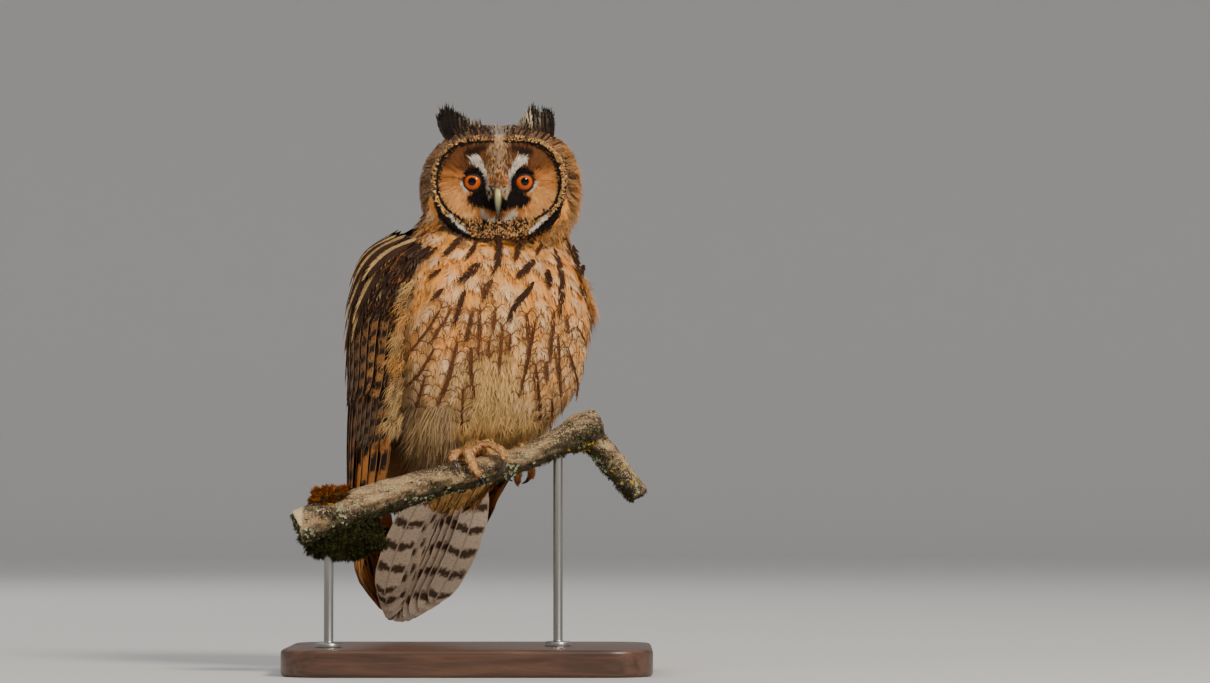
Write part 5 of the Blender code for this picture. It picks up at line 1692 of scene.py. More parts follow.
        looks = looks_of(colour, colour, colour * 0.85, 0, 0, 0, ground.uv[index])
        side_tuft = smooth(0.95, 1.2, np.abs(turn))
        length = 11 + 5 * smooth(185, 160, z) + 3 * side_tuft + chance.uniform(-2, 2, many)
        made = hairy(
            spots + out * 2.4, aims, out, length, looks, chance, hairs=11, width=0.55, fan=0.55, lift=0.22,
            curl=0.28, spread=3.0, droop=0.1,
        )
        rows = np.arange(143, 182, 4.0)
        spots, turn, _ = ring_roots(torso_point, rows, 4.6, chance, 0.5, 2.9, jitter=0.5)
        spots, out, index = ground.nearest(spots)
        many = len(spots)
        aims = unit(
            -UP + unit(out * (1, 1, 0)) * 0.35 + TAIL_ALONG * 0.35 + chance.normal(0, 0.15, (many, 3))
        )
        colour = varied(
            mix(colour_of(plumage.grey) * 1.15, colour_of(plumage.cream), chance.random(many) * 0.6), chance,
            many, 0.15,
        )
        looks = looks_of(colour, colour, colour * 0.8, 0, 0, 0, ground.uv[index])
        below = hairy(
            spots, aims, out, 19 + chance.uniform(-4, 5, many), looks, chance, hairs=12, width=0.6, fan=0.5,
            lift=0.1, curl=0.1, spread=3.0, droop=0.15,
        )
        plumage_piece("belly_down", [made, below], plumage_finish("belly_down", 0.9))


class OWL_OT_head_feathers(bpy.types.Operator):
    """Small feathers over the crown, sides and nape of the head"""

    bl_idname = "owl.head_feathers"
    bl_label = "Head feathers"

    def execute(self, context):
        plumage, face = context.scene.owl_plumage, context.scene.owl_face
        chance = np.random.default_rng(21)
        ground = ground_of("owl_skin")
        rows = np.arange(40, -84, -4.6)
        spots, turn, lean = ring_roots(skull_point, rows, 4.1, chance, 0, 2 * math.pi)
        hits, index, kept = open_air(ground, spots, HEAD_MID, 8)
        spots, turn, lean, index = hits[kept], turn[kept], lean[kept], index[kept]
        x, y, z = (spots - HEAD_MID).T
        black_edge = disc_edges(x, z - EYE_ABOVE)[2]
        outside = (np.hypot(x, z - EYE_ABOVE) > black_edge + 0.3) | (-y < 12)
        spots, index = spots[outside], index[outside]
        many = len(spots)
        x, y, z = (spots - HEAD_MID).T
        out = ground.outs[index]
        radial = unit(np.stack([x, np.zeros(many), z], -1))
        back = smooth(22, -6, -y)[:, None]
        top = smooth(10, 34, z)[:, None]
        aims = (
            radial * (1 - back) * 0.6 + np.array((0, 1.0, 0)) * (0.5 + 0.5 * top)
            - UP * (0.25 + 1.0 * back) * (1 - top * 0.75)
        )
        aims = aims + chance.normal(0, 0.1, (many, 3))
        vane, mark, down, streak, bars, count = head_marks(face, plumage, spots, chance)
        looks = looks_of(vane, mark, down, streak, bars, count, ground.uv[index])
        length = (9.5 + 4.5 * smooth(10, -30, -y)) * chance.uniform(0.85, 1.15, many)
        walked = walk(ground, spots, aims, length, 0.25, 4)
        made = [
            barbed(walked, 3.4 + 0.6 * back[:, 0], looks, chance, 7, 0.34, 0.7, (0.2, 2.6), 0.25, fuzz=16)
        ]
        wispy = (chance.random(many) < 0.75 * smooth(22, 34, x) * smooth(34, 22, z)) & (-y > -22)
        colour = varied(
            mix(vane, colour_of(plumage.cream), 0.25 * chance.random(many))[wispy], chance, wispy.sum(), 0.1
        )
        wisps = looks_of(colour, colour, colour * 0.8, 0, 0, 0, ground.uv[index][wispy])
        made.append(hairy(spots[wispy] + out[wispy] * 1.5, unit(aims)[wispy], out[wispy], 9.0, wisps, chance,
                          hairs=9, width=0.4, fan=0.6, lift=0.4, curl=0.5, spread=1.5))
        plumage_piece(
            "head_feathers", made, plumage_finish("head_feathers", mottle=0.7)
        )
        return {"FINISHED"}


class OWL_OT_face(bpy.types.Operator):
    """Fine radiating feathers of the facial disc, its speckled rim, the brows and bristles"""

    bl_idname = "owl.face"
    bl_label = "Face"

    def execute(self, context):
        plumage, face = context.scene.owl_plumage, context.scene.owl_face
        chance = np.random.default_rng(31)
        ground = ground_of("owl_skin")
        step = face.tuft_step / MM
        gx, gz = np.meshgrid(np.arange(-50, 50, step), np.arange(-44, 48, step * 0.87))
        gx[::2] += step / 2
        x = gx.ravel() + chance.uniform(-0.4, 0.4, gx.size) * step
        z = gz.ravel() + chance.uniform(-0.4, 0.4, gx.size) * step
        out = np.hypot(x, z - EYE_ABOVE)
        eye = np.hypot(np.abs(x) - EYE_SPACING / 2, z - EYE_ABOVE)
        kept = (out < disc_edges(x, z - EYE_ABOVE)[2] + 1.2) & (eye > EYE_OPENING + 0.1)
        x, z = x[kept], z[kept]
        spots, index, met = onto_face(ground, x, z, 70.0)
        kept = met & (HEAD_MID[1] - spots[:, 1] > 14)
        x, z, spots, index = x[kept], z[kept], spots[kept], index[kept]
        many = len(x)
        share = np.hypot(x, z - EYE_ABOVE) / disc_edges(x, z - EYE_ABOVE)[1]
        out = ground.outs[index]
        side = np.where(x > 0, 1.0, -1.0)
        from_eye = np.stack([x - side * EYE_SPACING / 2, np.zeros(many), z - EYE_ABOVE], -1)
        from_middle = np.stack([x, np.zeros(many), z + 2], -1)
        aims = unit(from_eye) + unit(from_middle) * 0.35 * smooth(0.6, 1, share)[:, None]
        wedge = bump(x, 5.5) * smooth(-2, 4, z)
        aims = mix(aims, np.array((0, 0.3, 1.0)) + side[:, None] * np.array((0.25, 0, 0)), wedge)
        near_bill = bump(x, 6) * smooth(2, -4, z)
        aims = mix(aims, np.stack([side * 0.8, np.full(many, -0.25), np.full(many, -0.9)], -1), near_bill)
        ez = z - EYE_ABOVE
        on_brow = inside(stroke(np.abs(x), ez, BROW), 0.5) * smooth(0, 6, ez)
        brow_way = np.stack(
            [side * (1.1 * smooth(7, 15, ez) - 0.1), np.full(many, -0.1), np.full(many, 0.8)], -1
        )
        aims = mix(aims, brow_way, on_brow)
        aims = unit(aims + chance.normal(0, 0.08, (many, 3)))
        aims = laid(aims, out)
        rim = smooth(0.88, 0.97, share)
        eye = np.hypot(np.abs(x) - EYE_SPACING / 2, ez)
        chin = smooth(-23, -26, ez)
        length = 4.4 - 2.4 * np.maximum(rim, chin) - 1.8 * wedge - 2.4 * smooth(12, 8, eye)
        brow = inside(stroke(np.abs(x), ez, BROW), 0.4) * smooth(2, 9, ez)
        length = np.maximum(length + 0.6 * brow, 1.6)
        spot_x, spot_z = x + aims[:, 0] * length * 0.6, z + aims[:, 2] * length * 0.6
        colour = np.clip(face_marks(face, plumage, spot_x, spot_z, chance), 0.002, 0.95)
        colour = varied(colour, chance, many, 0.1)
        looks = looks_of(colour, colour, colour * 0.82, 0, 0, 0, ground.uv[index])
        lift = 0.2 + 0.4 * rim + 0.3 * brow + 0.3 * near_bill + 0.25 * smooth(10, 8, eye)
        made = [
            hairy(
                spots, aims, out, length, looks, chance, hairs=5, width=0.38, fan=0.22, lift=lift, curl=0.2,
                spread=0.5,
            )
        ]
        made.extend(self.rim_tufts(face, plumage, ground, chance))
        made.append(self.bristles(face, plumage, ground, chance))
        plumage_piece("face_feathers", made, plumage_finish("face_feathers", 0.86))
        return {"FINISHED"}

    def rim_tufts(self, face, plumage, ground, chance):
        """The thin dark line round the disc, laid along it, and fine specks outside it and on the chin."""
        turn = np.radians(np.concatenate([np.arange(-46, 80, 0.9), np.arange(100, 226, 0.9)]))
        many = len(turn)
        edge = disc_edges(np.cos(turn), np.sin(turn))[0] + chance.normal(0, 0.18, many)
        thick = np.where(np.abs(np.degrees(turn) - 90) < 36, 0.7, 1.0)
        spots, index, met = onto_face(ground, np.cos(turn) * edge, np.sin(turn) * edge + EYE_ABOVE, 62.0)
        spots, index, turn, thick = spots[met], index[met], turn[met], thick[met]
        many = len(spots)
        out = ground.outs[index]
        way = np.where(np.cos(turn) > 0, 1.0, -1.0)
        aims = (
            np.stack([-np.sin(turn) * way, np.zeros(many), np.cos(turn) * way], -1)
            + chance.normal(0, 0.1, (many, 3))
        )
        aims = laid(aims, out)
        black = varied(colour_of(face.black) * 1.3, chance, many, 0.2)
        looks = looks_of(black, black, black, 0, 0, 0, ground.uv[index])
        ring = hairy(
            spots + out * 0.9, aims, out, 2.4, looks, chance, hairs=6, width=0.42 * thick, fan=0.2, lift=0.1,
            curl=0.1, spread=0.5,
        )
        many = 2600
        turn = chance.uniform(-math.pi / 2, math.pi * 1.5, many)
        reach = disc_edges(np.cos(turn), np.sin(turn))
        off = reach[0] + 0.6 + (reach[1] - reach[0] - 0.4) * chance.random(many)
        on_chin = chance.random(many) < 0.35
        x, z = np.cos(turn) * off, np.sin(turn) * off
        x = np.where(on_chin, chance.uniform(-21, 21, many), x)
        z = np.where(on_chin, chance.uniform(-37, -25, many), z)
        kept = (np.hypot(x, z) < disc_edges(x, z)[1]) & ~(inside(stroke(np.abs(x), z, LOW_WHITE), 0.1) > 0.4)
        kept = (
            kept & ~((np.abs(x) < rows_at(WEDGE, z)[:, 0]) & (z > 0))
            & ~((np.abs(x) < 4) & (z > -26) & (z < 0))
        )
        x, z = x[kept], z[kept]
        many = len(x)
        spots, index, met = onto_face(ground, x, z + EYE_ABOVE, 66.0)
        out = ground.outs[index]
        aims = np.stack([x, np.zeros(many), z], -1) / 40 + chance.normal(0, 0.35, (many, 3))
        aims = laid(aims, out)
        draw = chance.random(many)
        pale = colour_of(plumage.cream) * 1.1
        dim = np.where(z < -24, 0.14, 0.0)
        colour = np.where((draw < 0.44 + dim)[:, None], colour_of(face.black) * 2.2,
                          np.where((draw < 0.8 + dim)[:, None], colour_of(face.disc_light) * 0.72, pale))
        looks = looks_of(varied(colour, chance, many, 0.12), colour, colour, 0, 0, 0, ground.uv[index])
        spots = spots + out * 0.9
        specks = hairy(
            spots[met], aims[met], out[met], 1.5, {k: v[met] for k, v in looks.items()}, chance, hairs=3,
            width=0.42, fan=0.4, lift=0.3, curl=0.2, spread=0.4,
        )
        return [ring, specks]

    def bristles(self, face, plumage, ground, chance):
        """Stiff fine feathers that hide the root of the bill."""
        many = 380
        share = chance.uniform(0.0, 0.5, many)
        turn = chance.uniform(-1.9, 1.9, many)
        side = np.sign(turn)
        forward, above, wide, tall = np.moveaxis(rows_at(UPPER_BILL, share), -1, 0)
        step = rows_at(UPPER_BILL, share + 0.02)[:, :2] - np.stack([forward, above], -1)
        ahead = unit(step)
        off = tall * np.cos(turn)
        spots = HEAD_MID + np.stack([
            wide * np.sin(turn) * 1.02,
            -(forward - off * ahead[:, 1] + 0.15),
            above + off * ahead[:, 0] + 0.1,
        ], -1)
        middle = HEAD_MID + np.stack([0 * share, -forward, above], -1)
        out = unit(spots - middle)
        top = smooth(1.2, 0.6, np.abs(turn))
        aims = np.stack([side * 0.1 * (1 - top), -ahead[:, 0], ahead[:, 1] - 0.45 * (1 - top) - 0.1], -1)
        aims = unit(aims + chance.normal(0, 0.1, (many, 3)))
        out = laid(out, aims)
        speck = chance.random(many)
        colour = np.where(
            (speck < 0.45)[:, None], colour_of(face.disc_dark) * 0.45, np.array(paint(170, 152, 126))
        )
        colour = mix(colour, colour_of(plumage.rufous) * 0.55, top * (speck < 0.75) * 0.85)
        looks = looks_of(
            varied(colour, chance, many), colour, colour * 0.7, 0, 0, 0, ground.uv[ground.nearest(spots)[2]]
        )
        length = 4.6 - 1.4 * share / 0.46
        return hairy(
            spots, aims, out, length, looks, chance, hairs=4, width=0.34, fan=0.3, lift=0.16, curl=0.3,
            spread=0.35,
        )


class OWL_OT_eyes(bpy.types.Operator):
    """Orange eyes with a raised clear front, and the dark lids round them"""

    bl_idname = "owl.eyes"
    bl_label = "Eyes"

    def execute(self, context):
        sizes = context.scene.owl_eyes
        finish = eye_finish("eye", tuple(sizes.iris), tuple(sizes.iris_rim))
        lids = []
        for side, word in ((1, "left"), (-1, "right")):
            middle, look, _ = eye_frame(side)
            deselect()
            bpy.ops.mesh.primitive_uv_sphere_add(
                segments=64, ring_count=48, radius=EYE_RADIUS * MM, location=(0, 0, 0)
            )
            ball = bpy.context.object
            ball.name = f"eyeball_{word}"
            points = points_of(ball)
            polar = np.arccos(np.clip(points[:, 2] / EYE_RADIUS, -1, 1))
            reach = math.asin(sizes.iris_radius / MM / EYE_RADIUS)
            swell = 0.9 * np.clip(1 - (polar / (reach * 1.15)) ** 2, 0, 1) ** 1.5
            points = points * (1 + swell / EYE_RADIUS)[:, None]
            across = np.cross(UP, look)
            across = across / np.linalg.norm(across)
            tall = np.cross(look, across)
            round_axis = unit(points[:, :2])
            give(ball, "Out", np.sin(np.minimum(polar, np.pi / 2)) / math.sin(reach))
            give(ball, "Ring", np.concatenate([round_axis, (polar * 1.5)[:, None]], 1))
            placed = middle + points[:, :1] * across + points[:, 1:2] * tall + points[:, 2:3] * look
            move_points(ball, placed)
            ball.data.materials.append(finish)
            ball.data.shade_smooth()
            ball.data.uv_layers[0].name = "OFBake"
            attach(ball, "root")
            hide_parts(f"eye_{word}")
            lids.append(self.lid(f"lid_{word}", side))
        joined(lids).name = "eyelids"
        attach(lids[0], "root")
        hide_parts("head")
        return {"FINISHED"}

    def lid(self, name, side):
        """Black lids as a ring that hugs the eyeball, lower above the iris than beside it."""
        middle, look, _ = eye_frame(side)
        across = unit(np.cross(UP, look))
        tall = np.cross(look, across)
        turn = np.linspace(0, 2 * np.pi, 73)[:-1]
        rings = []
        for k in range(len(turn)):
            c, s = math.cos(turn[k]), math.sin(turn[k])
            cut = 1.5 * max(0.0, s - 0.15 * c * side) ** 2
            edge = EYE_OPENING - 0.8 - cut
            thick = 1.0 + 0.35 * max(0.0, s)
            ring = []
            for off, high in LID_PROFILE:
                reach = edge + off * thick
                depth = math.sqrt(max(EYE_RADIUS**2 - min(reach, EYE_RADIUS - 0.3) ** 2, 0.0))
                wobble = 0.08 * math.sin(turn[k] * 31 + off * 5)
                ring.append(
                    middle + (across * c + tall * s) * (reach + wobble) + look * (depth + high * thick)
                )
            rings.append(ring)
        rings = np.array(rings)
        many, around = rings.shape[:2]
        i, j = np.arange(many)[:, None], np.arange(around)
        nexts, follow = (i + 1) % many, (j + 1) % around
        quads = np.stack(
            [i * around + j, nexts * around + j, nexts * around + follow, i * around + follow], -1
        )
        n = bpy.data.materials.get("lid_skin")
        if n is None:
            lid_nodes = Nodes("lid_skin", 0.6, Specular_IOR_Level=0.3)
            wrinkle = lid_nodes.noise(lid_nodes.where(), 1600.0, 3.0)
            lid_nodes.raise_by(wrinkle, 0.4, 0.0004)
            n = lid_nodes.colour(lid_nodes.blend(wrinkle, paint(14, 11, 11), paint(34, 26, 24)))
        made = facing_out(mesh_piece(name, rings.reshape(-1, 3), [quads.reshape(-1, 4)], n))
        made.data.shade_smooth()
        return made


class OWL_OT_bill(bpy.types.Operator):
    """The hooked upper bill with nostrils, and the lower bill tucked behind it"""

    bl_idname = "owl.bill"
    bl_label = "Bill"

    def execute(self, context):
        # The pale ridge colour is partly the bill's yellowish top and partly a painted highlight along its
        # ridge
        finish = horn_finish("bill_horn", paint(122, 118, 84), paint(48, 48, 46), paint(188, 186, 120), 0.32)
        self.half("bill_upper_horn", UPPER_BILL, finish, "bill_upper", 1)
        self.half("bill_lower_horn", LOWER_BILL, finish, "bill_lower", -1)
        return {"FINISHED"}

    def half(self, name, rows, finish, node, way, sides=36, steps=40):
        share = np.linspace(0, 1, steps + 1)
        spine = rows_at(rows, share)
        ahead = unit(np.gradient(spine[:, :2], axis=0))
        turn = 2 * np.pi * np.arange(sides) / sides
        rings = []
        for k in range(steps + 1):
            forward, above, wide, tall = spine[k]
            s, c = np.sin(turn), np.cos(turn)
            off = tall * np.sign(s) * np.abs(s) ** (0.8 if way > 0 else 1)
            crest = 1 - 0.12 * np.abs(c) * (s > 0)
            x = wide * np.sign(c) * np.abs(c) ** 0.9 * np.where(s > 0, crest, 0.88)
            rings.append(
                HEAD_MID + np.stack([x, -(forward - off * ahead[k, 1]), above + off * ahead[k, 0]], -1)
            )
        made = mesh_piece(name, *loft_points(rings), finish)
        many = len(made.data.vertices)
        along, crest = np.zeros(many), np.zeros(many)
        along[: (steps + 1) * sides] = np.repeat(share, sides)
        along[-1] = 1
        crest[: (steps + 1) * sides] = np.tile(np.maximum(np.sin(turn), 0) ** 3, steps + 1)
        if way > 0:
            points = points_of(made)
            for s in (-1, 1):
                pit = HEAD_MID + np.array((s * 3.6, -39.8, 1.4))
                gap = np.linalg.norm((points - pit) * (1, 0.75, 1), axis=1)
                points = (
                    points
                    + (HEAD_MID + np.array((0, -37.0, -1.0)) - points) * (0.3 * bump(gap, 1.15))[:, None]
                )
                crest = crest - 1.2 * bump(gap, 1.0)
            move_points(made, points)
        give(made, "Along", along)
        give(made, "Crest", crest)
        facing_out(made)
        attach(made, "root")
        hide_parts(node)


class OWL_OT_claws(bpy.types.Operator):
    """Eight curved black claws, smoothed from the solids"""

    bl_idname = "owl.claws"
    bl_label = "Claws"

    def execute(self, context):
        finish = horn_finish("claw_horn", paint(58, 50, 44), paint(16, 14, 13), paint(96, 84, 70), 0.25)
        for side in ("right", "left"):
            nodes = [f"claw_{side}_{word}" for word in ("inner", "middle", "outer", "hind")]
            claws = copies_joined(f"claws_{side}", nodes, 0.0)
            apply_step(claws, "SUBSURF", levels=2, render_levels=2)
            points = points_of(claws)
            give(claws, "Along", smooth(points[:, 2].max(), points[:, 2].min(), points[:, 2]))
            give(claws, "Crest", np.zeros(len(points)))
            claws.data.materials.append(finish)
            claws.data.shade_smooth()
            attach(claws, "root")
            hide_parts(*nodes)
        return {"FINISHED"}


def area_of(corners):
    return np.linalg.norm(np.cross(corners[:, 1] - corners[:, 0], corners[:, 2] - corners[:, 0]), axis=1)


def by_area(area, many, chance):
    """Random places on triangles, more on the larger ones. Gives what reads the corners' values at them."""
    pick = chance.choice(len(area), many, p=area / area.sum())
    a, b = chance.random((2, many, 1))
    flip = a + b > 1
    a, b = np.where(flip, 1 - a, a), np.where(flip, 1 - b, b)
    return lambda held: held[pick, 0] * (1 - a - b) + held[pick, 1] * a + held[pick, 2] * b


class OWL_OT_feet(bpy.types.Operator):
    """Short buff feathers on the legs and toes"""

    bl_idname = "owl.feet"
    bl_label = "Leg and foot feathers"

    def execute(self, context):
        chance = np.random.default_rng(41)
        ground = ground_of("owl_skin")
        batches = []
        for node, long in (("foot_right", 3.0), ("foot_left", 3.0), ("leg_right", 6.5), ("leg_left", 6.5)):
            mesh = frame["nodes"][node].data
            mesh.calc_loop_triangles()
            corners = np.array([[mesh.vertices[i].co for i in t.vertices] for t in mesh.loop_triangles]) / MM
            area = area_of(corners)
            many = int(area.sum() / 2 / TOE_FEATHER_AREA)
            spots, out, index = ground.nearest(by_area(area, many, chance)(corners))
            middle = corners.reshape(-1, 3).mean(0)
            away = unit((spots - middle) * (1, 1, 0.5))
            aims = away * (0.8 if "foot" in node else 0.1) - UP * 0.7 + chance.normal(0, 0.2, (many, 3))
            aims = laid(aims, out)
            colour = mix(paint(208, 148, 86), paint(236, 196, 142), chance.random(many))
            under = smooth(0.0, -0.6, out[:, 2]) * ("foot" in node)
            colour = varied(mix(colour, paint(164, 84, 44), under * 0.85), chance, many, 0.16)
            looks = looks_of(colour, colour, colour * 0.85, 0, 0, 0, ground.uv[index])
            batches.append(
                hairy(
                    spots, aims, out, long, looks, chance, hairs=4, width=0.34, fan=0.5, lift=0.32, curl=0.3,
                    spread=0.5,
                )
            )
        plumage_piece("foot_feathers", batches, plumage_finish("foot_feathers", 0.85))
        return {"FINISHED"}


def plates(sheet, feathers, chance, stations=18):
    """Long feathers as thin closed plates. Each is a dict of root, tip, half, height, roll and colours."""
    columns = np.array((-1, -0.97, -0.72, -0.42, -0.12, -0.05, 0, 0.05, 0.12, 0.42, 0.72, 0.97, 1))
    wide = len(columns)
    share = np.linspace(0, 1, stations) ** 0.9
    made = []
    for f in feathers:
        root, tip = np.array(f["root"], float), np.array(f["tip"], float)
        along = root[0] + (tip[0] - root[0]) * share
        middle = root[1] + (tip[1] - root[1]) * share + f.get("bow", 0) * np.sin(np.pi * share)
        step = f.get("step", 0.02)
        scale = np.linalg.norm(
            sheet(along, middle + step)[0] - sheet(along, middle - step)[0], axis=1
        ) / (2 * step)
        fullness = rows_at(f.get("shape", QUILL_SHAPE), share)[:, 0]
        left = f["half"][0] * fullness * (1 + chance.normal(0, 0.02, stations))
        right = f["half"][1] * fullness * (1 + chance.normal(0, 0.02, stations))
        offset = np.where(columns[None] < 0, columns[None] * left[:, None], columns[None] * right[:, None])
        spot, out = sheet(np.repeat(along[:, None], wide, 1), middle[:, None] + offset / scale[:, None])
        rise = f["height"] - (f["height"] + f["sunk"]) * np.clip(1 - share / f["ramp"], 0, 1)
        lift = rise[:, None] - offset * f["roll"] - 0.02 * offset**2 * f.get("cup", 0.3)
        lift = lift + f.get("tip_lift", 0) * share[:, None] ** 3
        ridge = 0.32 * np.exp(-((columns / 0.06) ** 2)) * (1 - share[:, None] * 0.6)
        thick = 0.16 + 0.2 * np.exp(-((columns / 0.5) ** 2))
        top = spot + out * (lift + thick / 2 + ridge)[..., None]
        low = spot + out * (lift - thick / 2 - ridge * 0.5)[..., None]
        grid = np.arange(stations * wide).reshape(stations, wide)
        quads = np.stack([grid[:-1, :-1], grid[1:, :-1], grid[1:, 1:], grid[:-1, 1:]], -1).reshape(-1, 4)
        normal = np.cross(top[1, 0] - top[0, 0], top[0, 1] - top[0, 0])
        if dot(normal, out[0, 0]) < 0:
            quads = quads[:, ::-1]
        under = quads[:, ::-1] + stations * wide
        rim = np.concatenate([grid[:, 0], grid[-1, 1:], grid[::-1, -1][1:], grid[0, ::-1][1:-1]])
        nexts = np.roll(rim, -1)
        sides = np.stack([rim, nexts, nexts + stations * wide, rim + stations * wide], -1)
        if dot(normal, out[0, 0]) >= 0:
            sides = sides[:, ::-1]
        u = np.tile(columns, stations * 2)[None]
        v = np.tile(np.repeat(share, wide), 2)[None]
        tone = np.full(u.shape, 1 + chance.normal(0, 0.06))
        looks = f["looks"]
        one = batch(
            np.concatenate([top.reshape(-1, 3), low.reshape(-1, 3)])[None],
            [quads[None], under[None], sides[None]], [], u, v, tone, looks,
        )
        if "under" in f:
            one["each"] = stations * wide
            one["looks"] = {k: np.concatenate([looks[k], f["under"][k]]) for k in looks}
        made.append(one)
    return made


def tier(
    many, roots, tips, reach, half, height, sunk, ramp, roll, looks, chance, apart_jitter=0.006, **more
):
    """One tier of long feathers between the first and the last root and tip."""
    feathers = []
    for i in range(many):
        share = i / (many - 1)
        root = [a + (b - a) * share for a, b in zip(*roots)]
        tip = [a + (b - a) * share for a, b in zip(*tips)]
        tip[0] = min(
            tip[0] + reach * 4 * share * (1 - share) + chance.uniform(-apart_jitter, apart_jitter), 0.998
        )
        feathers.append(
            {
                "root": root, "tip": tip, "half": half, "height": height, "sunk": sunk, "ramp": ramp,
                "roll": roll, "looks": looks(share), **more,
            }
        )
    return feathers


